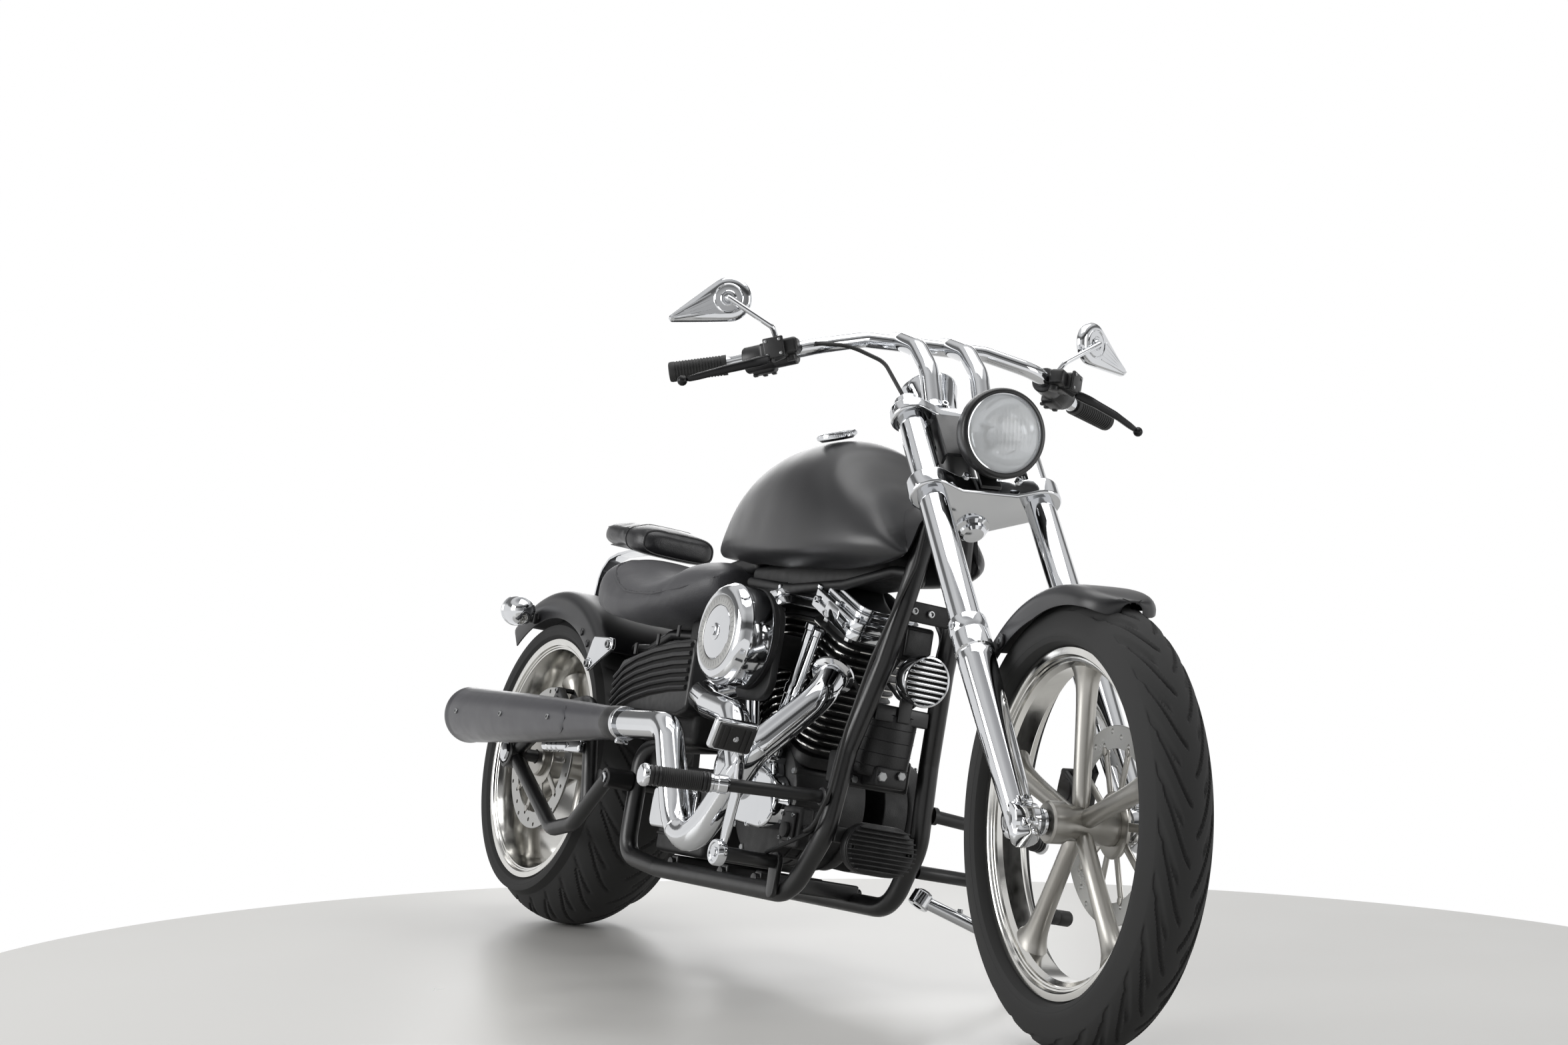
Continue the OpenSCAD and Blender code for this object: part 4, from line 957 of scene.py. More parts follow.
@dataclass
class CastWheel:
    """A five-spoke cast wheel with a stepped, polished lip."""

    name: str
    node: str
    centre: Vector
    rim: float
    half: float
    well: float
    spokes: int
    phase: float
    hub: float
    hub_ends: tuple[float, float]
    root: tuple[float, float]
    tip: tuple[float, float]

    def rim_ring(self) -> bpy.types.Object:
        """The rim: rolled edges, bead seats and a stepped dish."""
        r, w = self.rim, self.half
        one = [(r, w - 4), (r - 12, w - 4), (r - 12, w - 4 - min(22, 0.32 * w)),
               (r - 12 - self.well, 0.45 * w if w < 60 else w - 38)]
        inner = [(r + 0.2, w - 1.2), (r - 0.8, w), (r - 6, w + 0.2), (r - 11, w), (r - 13, w - 1.4),
                 (r - 14.5, w - 5), (r - 17, w - 5.4), (r - 18, w - 8), (r - 20.5, w - 8.6),
                 (r - 21.5, w - 12), (r - 20 - self.well, 0.45 * w if w < 60 else w - 42)]
        loop = one + [(a, -b) for a, b in reversed(one)] + [(a, -b) for a,
                                                            b in inner] + list(reversed(inner))
        base = self.centre
        return lathe(self.name + "_ring", loop + loop[:1], base, base + Vector((0, 1, 0)), 180)

    def spoke(self, turn: float) -> bpy.types.Object:
        """One round spoke that flares into the rim.

        Args:
            turn: Its angle round the wheel.

        Returns:
            The spoke.
        """
        r0, r1 = self.hub * 0.6, self.rim - 17 - self.well
        rings = []
        stations = [(0.0, 1.25, 1.0), (0.1, 1.1, 1.0), (0.25, 1.0, 1.0), (0.6, 1.0, 1.0),
                    (0.82, 1.12, 1.05), (0.92, 1.45, 1.2), (0.98, 2.1, 1.45), (1.0, 2.6, 1.6)]
        for t, wide, thick in stations:
            r = r0 + t * (r1 - r0)
            a = self.root[0] + t * (self.tip[0] - self.root[0])
            b = self.root[1] + t * (self.tip[1] - self.root[1])
            rings.append([(a * wide * math.cos(p), b * thick * math.sin(p), r) for p in polar(20)])
        piece = loft("spoke", rings, levels=1)
        turned = Matrix.Translation(self.centre) @ Matrix.Rotation(math.pi / 2 - turn, 4, "Y")
        piece.data.transform(turned)
        return piece

    def build(self, body: Body) -> None:
        """Builds and places the wheel.

        Args:
            body: The wheel's body.
        """
        place(self.rim_ring(), Paint.LIP, body, angle=25)
        spokes = [self.spoke(turn) for turn in polar(self.spokes, self.phase)]
        lo, hi = self.hub_ends
        h = self.hub
        start, end = self.centre + Vector((0, lo, 0)), self.centre + Vector((0, hi, 0))
        long = hi - lo
        hub = lathe("hub", [(15, 0), (h - 3, 0), (h, 3), (h, 0.22 * long), (h - 5, 0.3 * long),
                            (h - 5, 0.7 * long), (h, 0.78 * long), (h, long - 3), (h - 3, long), (15, long),
                            (13, long - 3), (13, 3), (15, 0)], start, end, 64)
        place(joined(self.name + "_spokes", spokes + [hub]), Paint.CAST, body, [self.node], angle=40)


@dataclass
class BrakeDisc:
    """A floating disc: drilled ring, slotted carrier and rivets."""

    name: str
    node: str
    centre: Vector
    radius: float
    side: float
    inner: float
    carrier: float

    def build(self, body: Body) -> None:
        """Builds and places the disc.

        Args:
            body: The wheel's body.
        """
        low = self.centre + Vector((0, self.side - 2.4, 0))
        up = low + Vector((0, 1, 0))
        width = self.radius - self.carrier
        ring = lathe(self.name + "_ring", [(self.carrier, 0), (self.radius - 0.6, 0), (self.radius, 0.6),
                                           (self.radius, 4.2), (self.radius - 0.6, 4.8),
                                           (self.carrier, 4.8), (self.carrier, 0)], low, up, 120)
        cutters = []
        for i, turn in enumerate(polar(30)):
            r = self.carrier + width * (0.25 + 0.25 * (i % 3))
            spot = low + Vector((r * math.cos(turn), -4, r * math.sin(turn)))
            cutters.append(rod("hole", spot, spot + Vector((0, 14, 0)), 4.2, sides=14, edge=0.01))
        cutter = joined("holes", cutters)
        apply_modifier(ring, "BOOLEAN", object=cutter, operation="DIFFERENCE", solver="EXACT")
        bpy.data.objects.remove(cutter)
        place(ring, Paint.STEEL, body, [self.node], angle=30)
        arms = []
        for turn in polar(10):
            c, s = math.cos(turn), math.sin(turn)
            a, b = self.inner + 4, self.carrier + 6
            spin = Matrix.Rotation(-turn, 4, "Y")
            arms.append(block("arm", low + Vector((0.5 * (a + b) * c, 2.4, 0.5 * (a + b) * s)),
                              (b - a, 3.6, 13), 1.2, spin, 2))
            spot = low + Vector((self.carrier * c, -1.2, self.carrier * s))
            arms.append(rod("rivet", spot, spot + Vector((0, 7.2, 0)), 6.5, sides=18, edge=0.8))
        arms.append(lathe("carrier", [(self.inner, -0.6), (self.inner + 16, -0.6), (self.inner + 18, 0.6),
                                      (self.inner + 18, 4.4), (self.inner + 16, 5.2), (self.inner, 5.2),
                                      (self.inner, -0.6)], low, up, 64))
        for turn in polar(5, 18):
            spot = low + Vector((0, 5.0, 0)) + Vector((math.cos(turn), 0,
                                                       math.sin(turn))) * (self.inner + 9)
            arms.append(socket_head("bolt", spot, (0, 1, 0), 4.6, 3.4))
        place(joined(self.name + "_carrier", arms), Paint.CAST, body)


@dataclass
class WheelsMaker:
    """Both wheels, their tyres and discs."""

    def build(self) -> None:
        """Builds every wheel piece."""
        Tyre("front_tyre", FRONT_AXLE, 331, 51, 50, 62, 255, 33, 26, 26).build(Body.FRONT_WHEEL)
        CastWheel("front_wheel", "front_rim", FRONT_AXLE, 255, 33, 8, 5, 18, 31, (-55, 57.5), (13, 13),
                  (16, 15)).build(Body.FRONT_WHEEL)
        BrakeDisc("front_disc", "front_brake_disc", FRONT_AXLE, 146, 55, 31.5, 112).build(Body.FRONT_WHEEL)
        Tyre("rear_tyre", REAR_AXLE, 324.5, 118, 130, 50, 245.5, 109, 26, 24).build(Body.REAR_WHEEL)
        CastWheel("rear_wheel", "rear_rim", REAR_AXLE, 245.5, 109, 14, 5, 54, 38, (-118, 118), (15, 17),
                  (18, 22)).build(Body.REAR_WHEEL)
        BrakeDisc("rear_disc", "rear_brake_disc", REAR_AXLE, 145, -102.5, 38.5, 112).build(Body.REAR_WHEEL)


# ---------- bodywork ----------
@dataclass(frozen=True)
class Station:
    """One cross-section of the tank or seat, in millimetres."""

    x: float
    top: float
    bottom: float
    half: float
    widest: float
    slot: float
    slot_top: float
    lean: float = 0.0

    def ring(self, count: int = 32, power: float = 2.3, inset: float = 0.0) -> list[Point]:
        """Returns points round the section.

        Args:
            count: Points over the outside.
            power: How square the shoulders are.
            inset: How far the skin is drawn in.

        Returns:
            The points, from the right slot edge over the top to the left one.
        """
        points = []
        half = max(self.half - inset, 4.0)
        slot = min(self.slot, 0.92 * half)
        low = self.bottom + inset
        share = min(1.0, slot / half)
        first = -math.pi / 2 + math.asin(share ** (power / 2)) * 0.98
        for i in range(count + 1):
            a = first + (math.pi - 2 * first) * i / count
            c, s = math.cos(a), math.sin(a)
            reach = (self.top - inset - self.widest) if s > 0 else (self.widest - low)
            y = -half * squarish(c, (2 / power))
            z = self.widest + reach * squarish(s, (2 / power))
            shift = self.lean * (self.widest - z) / max(1.0, self.widest - self.bottom)
            points.append((self.x + (shift if self.lean else 0.0), y, z))
        roof = max(self.slot_top - 1.0, low + 0.5)
        points += [(points[-1][0], points[-1][1], roof), (points[0][0], points[0][1], roof)]
        return points


TANK = (Station(478, 778, 748, 22, 762, 14, 751), Station(505, 808, 742, 34, 766, 24, 746),
        Station(545, 848, 738, 50, 770, 30, 744), Station(600, 886, 732, 72, 768, 34, 742),
        Station(680, 918, 720, 100, 762, 34, 754.8), Station(780, 940, 708, 127, 754, 68, 798.6),
        Station(890, 950, 699, 146, 748, 68, 808), Station(1000, 948, 694, 152, 746, 68, 814, 6),
        Station(1085, 930, 692, 146, 748, 68, 832, 20), Station(1150, 900, 694, 132, 754, 68, 848, 44),
        Station(1192, 868, 704, 112, 764, 66, 846, 62), Station(1212, 848, 718, 92, 774, 66, 838, 66))

SEAT = (Station(152, 712, 668, 60, 692, 40, 672), Station(165, 730, 648, 100, 690, 80, 668),
        Station(185, 742, 622, 128, 680, 112, 660), Station(210, 747, 594, 144, 665, 133, 654),
        Station(240, 745, 580, 150, 655, 134, 640), Station(280, 735, 578, 154, 650, 134, 618),
        Station(335, 718, 580, 157, 648, 134, 606), Station(400, 702, 586, 157, 650, 84, 604),
        Station(460, 705, 594, 154, 655, 76, 602), Station(520, 728, 598, 146, 662, 70, 602),
        Station(560, 732, 614, 136, 670, 60, 660), Station(610, 728, 626, 120, 680, 40, 702),
        Station(644, 722, 642, 98, 690, 40, 714))


def between(low: Station, high: Station, t: float) -> Station:
    """Returns the station a share t of the way from low to high."""
    mix = [getattr(low, key) + t * (getattr(high, key) - getattr(low, key))
           for key in ("x", "top", "bottom", "half", "widest", "slot", "slot_top", "lean")]
    return Station(*mix)


def swell(piece: bpy.types.Object, voxel: float, pressure: float, cap: float,
          pinned: Callable[[Vector], float], frames: int = 20) -> None:
    """Puffs a soft piece up with cloth pressure, and caps how far it moves.

    Args:
        piece: The closed piece, already in the frame's metres.
        voxel: Voxel size of the remesh.
        pressure: Air pressure in it.
        cap: The furthest a point may move.
        pinned: From a point, how far it is held, 0 to 1.
        frames: Steps of simulation.
    """
    apply_modifier(piece, "REMESH", mode="VOXEL", voxel_size=voxel)
    rest = [v.co.copy() for v in piece.data.vertices]
    held = piece.vertex_groups.new(name="held")
    for v in piece.data.vertices:
        weight = pinned(v.co)
        if weight > 0:
            held.add([v.index], weight, "REPLACE")
    only(piece)
    cloth = piece.modifiers.new("cloth", "CLOTH")
    cloth.settings.use_pressure = True
    cloth.settings.uniform_pressure_force = pressure
    cloth.settings.vertex_group_mass = "held"
    cloth.settings.effector_weights.gravity = 0.0
    cloth.settings.quality = 4
    cloth.collision_settings.use_self_collision = False
    cloth.point_cache.frame_start = 1
    cloth.point_cache.frame_end = frames
    scene = bpy.context.scene
    for frame in range(1, frames + 1):
        scene.frame_set(frame)
    bpy.ops.object.modifier_apply(modifier="cloth")
    scene.frame_set(1)
    for v, at in zip(piece.data.vertices, rest):
        move = v.co - at
        if move.length > cap:
            v.co = at + move.normalized() * cap
    apply_modifier(piece, "SMOOTH", factor=0.5, iterations=6)


@dataclass
class TankMaker:
    """The fuel tank and its cap."""

    def build(self) -> None:
        """Builds every tank piece."""
        rings = []
        for a, b in zip(TANK, TANK[1:]):
            rings += [between(a, b, t).ring() for t in (0.0, 0.5)]
        rings.append(TANK[-1].ring())
        tank = loft("tank_skin", rings, levels=1)
        apply_modifier(tank, "SMOOTH", factor=0.5, iterations=5)
        place(tank, Paint.DENIM, Body.CHASSIS, ["fuel_tank"], angle=60)
        self.cap()

    def cap(self) -> None:
        """A knurled screw cap on its bung."""
        base = Vector((930, -55.3, 941.7))
        up = Vector((0, -math.sin(math.radians(22)), math.cos(math.radians(22))))
        cap = lathe("filler_cap", [(0, 0.5), (29, 0.5), (32, 3), (35.6, 5), (35.6, 12), (34, 14.6),
                                   (30, 16.2), (22, 16.7), (0, 16.9)], base, base + up, 96)
        knurl = [rod("rib", base + toward(Vector((0, 0, 0)), up) @ Vector((35.2 * math.cos(t),
                                                                           35.2 * math.sin(t), 6)),
                     base + toward(Vector((0, 0, 0)), up) @ Vector((35.2 * math.cos(t), 35.2 * math.sin(t),
                                                                    11.6)), 0.75, sides=6,
                     edge=0.2) for t in polar(60)]
        place(joined("filler_cap", [cap] + knurl), Paint.CHROME, Body.CHASSIS, ["fuel_cap"])


@dataclass
class SeatMaker:
    """The rider's seat and the pillion pad, both padded, with their seams and bracket."""

    voxel: float = 0.006
    swell_by: float = 0.007

    def build(self) -> None:
        """Builds every seat piece."""
        self.seat()
        self.seams()
        self.pad()

    def seat(self) -> None:
        """The dished seat, swollen with its underside held."""
        rings = []
        for a, b in zip(SEAT, SEAT[1:]):
            rings += [between(a, b, t).ring(28, 2.5, 5.0) for t in (0.0, 0.5)]
        rings.append(SEAT[-1].ring(28, 2.5, 5.0))
        seat = loft("seat_cushion", rings, levels=1)
        seat.data.transform(CHASSIS)
        up = (CHASSIS.to_3x3() @ Vector((0, 0, 1))).normalized()
        side = (CHASSIS.to_3x3() @ Vector((0, 1, 0))).normalized()
        foot = CHASSIS @ Vector((0, 0, 640))
        middle = CHASSIS @ Vector((0, 0, 0))

        def held(at: Vector) -> float:
            """Holds the underside and the channel."""
            rise = (at - foot).dot(up)
            across = abs((at - middle).dot(side))
            return 1.0 if rise < -0.005 and across < 0.150 else max(0.0, min(1.0, (0.03 - rise) / 0.06)) * 0.6

        swell(seat, self.voxel, 3.0, self.swell_by, held)
        apply_modifier(seat, "SUBSURF", levels=1, render_levels=1)
        place(seat, Paint.LEATHER, Body.CHASSIS, ["seat"], angle=70, move=False)
        self.cushion = seat

    def on_cushion(self, route: Sequence[Sequence[float]], lift: float) -> list[Vector]:
        """Drops a route onto the cushion's skin.

        Args:
            route: Points in the machine's millimetres.
            lift: How far above the skin it lies, in millimetres.

        Returns:
            The route in the machine's millimetres.
        """
        home = CHASSIS.inverted()
        line = []
        for p in route:
            at = CHASSIS @ Vector(p)
            ok, spot, normal, _ = self.cushion.closest_point_on_mesh(at)
            line.append(home @ (spot + normal * lift * MM) if ok else Vector(p))
        return line

    def seams(self) -> None:
        """The sewn loop round the seat's top, with its stitches."""
        loop = [Vector(p) for p in ((634, -104, 694), (560, -140, 668), (470, -158, 660), (400, -160, 661),
                                    (345, -158, 666), (300, -152, 682), (262, -144, 704), (226, -120, 727),
                                    (204, -70, 742), (198, 0, 747))]
        side = rounded_route(loop, [50] * 8, 4)
        shift, stitch_pitch = 6.0, 6.4
        welts, threads = [], []
        for sign in (-1, 1):
            route = [Vector((p.x, -sign * p.y, p.z)) for p in side]
            welts.append(tube("welt", self.on_cushion(route, 0.3), 1.6, sides=8))
            inner = [Vector((p.x + (shift if p.x < 230 else 0), p.y * (1 - shift / 120),
                             p.z + 1)) for p in route]
            line = self.on_cushion(inner, 0.2)
            dense = [a.lerp(b, t) for a, b in zip(line, line[1:]) for t in (0.0, 0.25, 0.5, 0.75)]
            gone = 0.0
            for a, b in zip(dense, dense[1:]):
                gone += (b - a).length
                if gone > stitch_pitch:
                    gone = 0.0
                    way = (b - a).normalized() * 2.1
                    threads.append(rod("stitch", a - way, a + way, 0.5, sides=6, edge=0.15))
        place(joined("seat_welt", welts), Paint.LEATHER, Body.CHASSIS)
        place(joined("seat_stitches", threads), Paint.THREAD, Body.CHASSIS)

    def pad_ring(self, x: float, low: float, high: float, inset: float = 0.0,
                 count: int = 28) -> list[Vector]:
        """Returns the pad's cross-section at x: a rounded rectangle across the machine.

        Args:
            x: Where along the machine.
            low: Its underside.
            high: Its top.
            inset: How far inside the full outline.
            count: Points round it.

        Returns:
            The points.
        """
        end = max(0.0, abs(x - 157) - (107 - 46)) / 46
        half = 93 - 46 + 46 * math.sqrt(max(0.0, 1 - min(end, 1.0) ** 2)) - inset
        mid, tall = (low + high) / 2, (high - low) / 2 - inset
        points = []
        for a in polar(count):
            c, s = math.cos(a), math.sin(a)
            rise = tall * squarish(s, 0.62) + (3.0 if s > 0 else 0.0) * (1 - c * c)
            points.append(Vector((x, half * squarish(c, 0.42), mid + rise)))
        return points

    def pad(self) -> None:
        """The pillion pad: a flat cushion with a deep padded front, piped along its edges."""
        spans = ((52, 778, 808), (60, 771, 815), (84, 770.5, 817), (120, 769, 816), (158, 767, 814),
                 (180, 762, 812), (200, 752, 810), (226, 749, 807.5), (246, 749.5, 804), (257, 754, 797),
                 (262, 764, 788))
        pad = loft("pillion_cushion", [self.pad_ring(x, low, high, 1) for x, low, high in spans], levels=1)
        pad.data.transform(CHASSIS)
        up = (CHASSIS.to_3x3() @ Vector((0, 0, 1))).normalized()
        foot = CHASSIS @ Vector((0, 0, 779))
        swell(pad, 0.0045, 3.0, 0.004, lambda at: 1.0 if (at - foot).dot(up) < -0.006 else 0.0)
        apply_modifier(pad, "SUBSURF", levels=1, render_levels=1)
        place(pad, Paint.PAD, Body.CHASSIS, ["pillion_pad"], angle=70, move=False)
        base = block("pillion_base", (118, 0, 772.6), (100, 130, 2.4), 1.0,
                     Matrix.Rotation(math.radians(2), 4, "Y"))
        place(base, Paint.PLASTIC, Body.CHASSIS)
        face = self.pad_ring(250, 752, 800, 2.2, 72)
        seam = self.pad_ring(194, 756, 807.5, 1.6, 72)
        self.cushion = pad
        face, seam = self.on_cushion(face + face[:1], 0.6), self.on_cushion(seam + seam[:1], 0.3)
        piping = [tube("piping", face, 2.2, sides=8), tube("piping", seam, 1.3, sides=8)]
        rim = [Vector((157 + 104 * squarish(math.cos(a), 0.5),
                       90 * squarish(math.sin(a), 0.5),
                       806 - 0.035 * 104 * math.cos(a))) for a in polar(72)]
        rim = [p for p in rim if p.x < 200]
        rim.sort(key=lambda p: math.atan2(p.y, p.x - 230) % (2 * math.pi))
        piping.append(tube("piping", self.on_cushion(rim, 0.3), 1.3, sides=8))
        place(joined("pillion_piping", piping), Paint.PAD, Body.CHASSIS)


# ---------- fork, bars and lamp ----------
RAKE = math.radians(38)
LEG_UP = Vector((-math.sin(RAKE), 0, math.cos(RAKE)))
LEG_FWD = Vector((math.cos(RAKE), 0, math.sin(RAKE)))


def on_leg(s: float, forward: float = 0.0, y: float = 0.0) -> Vector:
    """Returns the point at height s up the leg line, in the machine's millimetres."""
    return FRONT_AXLE + s * LEG_UP + forward * LEG_FWD + Vector((0, y, 0))


def leg_plane(s: float) -> Matrix:
    """Returns the matrix of the plane across the legs at s: x forward, y left, z up the legs."""
    axes = Matrix((LEG_FWD, Vector((0, 1, 0)), LEG_UP)).transposed().to_4x4()
    return Matrix.Translation(on_leg(s)) @ axes


LEG_TURN = leg_plane(0).to_3x3().to_4x4()


def steer_point(z: float) -> Vector:
    """Returns the steering axis at a height."""
    foot = STANCE.wheelbase + STANCE.trail
    return Vector((foot - z * math.tan(math.radians(STANCE.rake)), 0, z))


def stem_back(s: float) -> float:
    """Returns how far behind the legs the steering axis lies at s."""
    up = math.tan(math.radians(STANCE.rake)) * math.sin(RAKE) + math.cos(RAKE)
    z = (s + STANCE.trail * math.sin(RAKE) + FRONT_AXLE.z * math.cos(RAKE)) / up
    return (steer_point(z) - on_leg(0)).dot(LEG_FWD)


@dataclass
class ForkMaker:
    """Legs, clamps and axle ends."""

    leg_y: float = 95.0

    def build(self) -> None:
        """Builds every fork piece."""
        self.tubes()
        self.sliders()
        self.clamps()
        self.axle_ends()
        self.caliper()

    def tubes(self) -> None:
        """Chromed tubes with their top caps."""
        pieces = []
        for y in (-self.leg_y, self.leg_y):
            low, up = on_leg(350, 0, y), on_leg(351, 0, y)
            pieces.append(lathe("tube", [(24.4, 0), (24.5, 40), (24.5, 478), (23.5, 480), (0, 480)], low,
                                up, 72))
            pieces.append(lathe("cap", [(0, 477), (21.5, 477), (21.5, 483), (20, 485), (14, 485.6),
                                        (11, 487.4), (0, 487.8)], low, up, 48))
            pieces.append(hex_head("cap_hex", on_leg(836, 0, y), LEG_UP, 11, 4))
        place(joined("fork_legs", pieces), Paint.CHROME, Body.STEERING, ["fork_tubes"], angle=40)

    def sliders(self) -> None:
        """Polished sliders: a stepped top ring, a long taper and the axle boss."""
        pieces = []
        for y in (-self.leg_y, self.leg_y):
            low, up = on_leg(-36, 0, y), on_leg(-35, 0, y)
            profile = [(0, 0), (15, 0), (19, 1.5), (21, 5), (22, 12), (22.6, 40), (24, 104), (27, 220),
                       (29.3, 322), (29.5, 336), (28.2, 338), (28.2, 341), (30.5, 343), (30.5, 372),
                       (29.4, 374), (29.4, 377), (30.5, 379), (30.5, 399), (29.5, 401.5), (27, 402),
                       (24.7, 402)]
            pieces.append(lathe("slider", profile, low, up, 72))
            sign = math.copysign(1, y)
            hub = on_leg(0, 0, y)
            pieces.append(lathe("boss", [(13, 0), (24, 0), (26.5, 2), (27, 6), (27, 38), (26, 41),
                                         (23, 42.5), (13, 42.5)], hub - Vector((0, sign * 22, 0)), hub, 56))
            for s in (-19, 19):
                foot = on_leg(s - 2, 24, y)
                pieces.append(block("pinch", on_leg(s, 20, y), (16, 26, 13), 3,
                                    LEG_TURN))
                pieces.append(socket_head("pinch_bolt", foot + LEG_UP * 2 + LEG_FWD * 4, LEG_FWD, 5.4, 4.5))
            for s in (150, 196):
                pieces.append(rod("fender_lug", on_leg(s, -14, y - sign * 16),
                                  on_leg(s, -14, y - sign * 31), 9, sides=24, edge=1.5))
            pieces.append(socket_head("drain", on_leg(352, 6, y + sign * 29.6), (0, sign, 0), 6.5, 2.2))
        place(joined("fork_lower_legs", pieces), Paint.CHROME, Body.STEERING, ["fork_sliders"], angle=40)

    def clamp(self, s: float, thick: float, boss: float, bevel: float) -> bpy.types.Object:
        """One clamp plate with round ends, forged in one piece.

        Args:
            s: Its height up the legs.
            thick: Its thickness.
            boss: Radius of its ends.
            bevel: How round its edges are.

        Returns:
            The plate.
        """
        back = stem_back(s)
        outline = [(boss * math.cos(math.radians(a)), -self.leg_y + boss * math.sin(math.radians(a)))
                   for a in range(200, 391, 10)]
        outline += [(boss - 12, -60), (boss - 17, -48), (boss - 17, 0), (boss - 17, 48), (boss - 12, 60)]
        outline += [(boss * math.cos(math.radians(a)), self.leg_y + boss * math.sin(math.radians(a)))
                    for a in range(-30, 161, 10)]
        outline += [(back + 29 * math.cos(math.radians(a)), 29 * math.sin(math.radians(a)))
                    for a in range(110, 251, 10)]
        plate = slab("clamp", [(x, y, -thick / 2) for x, y in outline], (0, 0, thick), bevel, 4)
        plate.data.transform(leg_plane(s))
        return plate

    def clamps(self) -> None:
        """The upper and lower clamps, the stem nut and pinch bolts."""
        pieces = [self.clamp(642, 34, 37, 6), self.clamp(804, 24, 34, 5)]
        for s, boss, thick in ((642, 37, 34), (804, 34, 24)):
            for sign in (-1, 1):
                ear = on_leg(s, -20, sign * (self.leg_y + 4))
                pieces.append(block("ear", ear + Vector((0, -sign * 30, 0)), (30, 30, thick - 8), 4,
                                    LEG_TURN))
                pieces.append(socket_head("pinch_bolt", on_leg(s, boss - 3, sign * 46), LEG_FWD, 6.5, 6))
        up = (steer_point(900) - steer_point(800)).normalized()
        foot = steer_point(800)
        reach = (on_leg(804, stem_back(804)) - foot).dot(up)
        pieces.append(lathe("stem_cap", [(0, reach + 12), (24, reach + 12), (24, reach + 18),
                                         (20, reach + 24), (12, reach + 27), (0, reach + 28)], foot,
                            foot + up, 48))
        low = (on_leg(642, stem_back(642)) - foot).dot(up)
        pieces.append(lathe("stem", [(0, low - 34), (17, low - 33), (22, low - 29), (23, low - 24),
                                     (29, low - 20), (30, low - 10), (0, low - 10)], foot, foot + up, 48))
        pieces.append(rod("steering_stem", foot + up * low, foot + up * (reach + 12), 12.4))
        place(joined("fork_yokes", pieces), Paint.CHROME, Body.STEERING, ["fork_clamps"], angle=32)

    def axle_ends(self) -> None:
        """The axle's plain and nut ends, with its bore left open, and the wheel spacers."""
        pieces = []
        for sign in (-1, 1):
            end = Vector((1758, sign * 117, 331))
            out = Vector((0, sign, 0))
            pieces.append(lathe("nut", [(7.6, -1), (18, -1), (18, 3.4), (16, 4.6), (7.8, 4.6), (7.6, -1)],
                                end - out * 6, end, 6 if sign > 0 else 40))
            pieces.append(lathe("spacer", [(13, 0), (19, 0), (20, 1.4), (20, 4.2), (19, 5.6), (13, 5.6)],
                                Vector((1758, sign * 58.6, 331)), Vector((1758, sign * 60, 331)), 40))
        place(joined("front_axle_ends", pieces), Paint.CHROME, Body.STEERING)

    def caliper(self) -> None:
        """The two-piece front caliper, with pistons, bolts and its bracket."""
        pieces = []
        at = partial(wheel_point, FRONT_AXLE)
        for y0, y1 in ((36.5, 46.6), (63.4, 75.6)):
            outline = [at(a, 160, y0) for a in range(151, 192, 4)] + [at(a, 104, y0)
                                                                      for a in range(191, 150, -4)]
            pieces.append(slab("half", outline, (0, y1 - y0, 0), 3, 3))
            for a in (160, 182):
                side = 1 if y0 > 50 else -1
                spot = at(a, 131, y1 - 1 if side > 0 else y0 + 1)
                pieces.append(lathe("piston", [(0, 0), (18, 0), (17, 3), (12, 3.6), (0, 3.8)], spot,
                                    spot + Vector((0, side, 0)), 32))
        for a in (153, 171, 189):
            pieces.append(rod("bridge", at(a, 156, 38), at(a, 156, 74), 6.5, sides=20))
            pieces.append(socket_head("bridge_bolt", at(a, 156, 75.4), (0, 1, 0), 6, 4))
        outline = [at(a, 146, 64.5) for a in range(138, 153, 3)] + [at(a, 114, 64.5)
                                                                    for a in range(152, 137, -3)]
        pieces.append(slab("bracket", outline, (0, 9, 0), 2, 2))
        place(joined("front_caliper", pieces), Paint.PLASTIC, Body.STEERING, ["front_brake_caliper"])


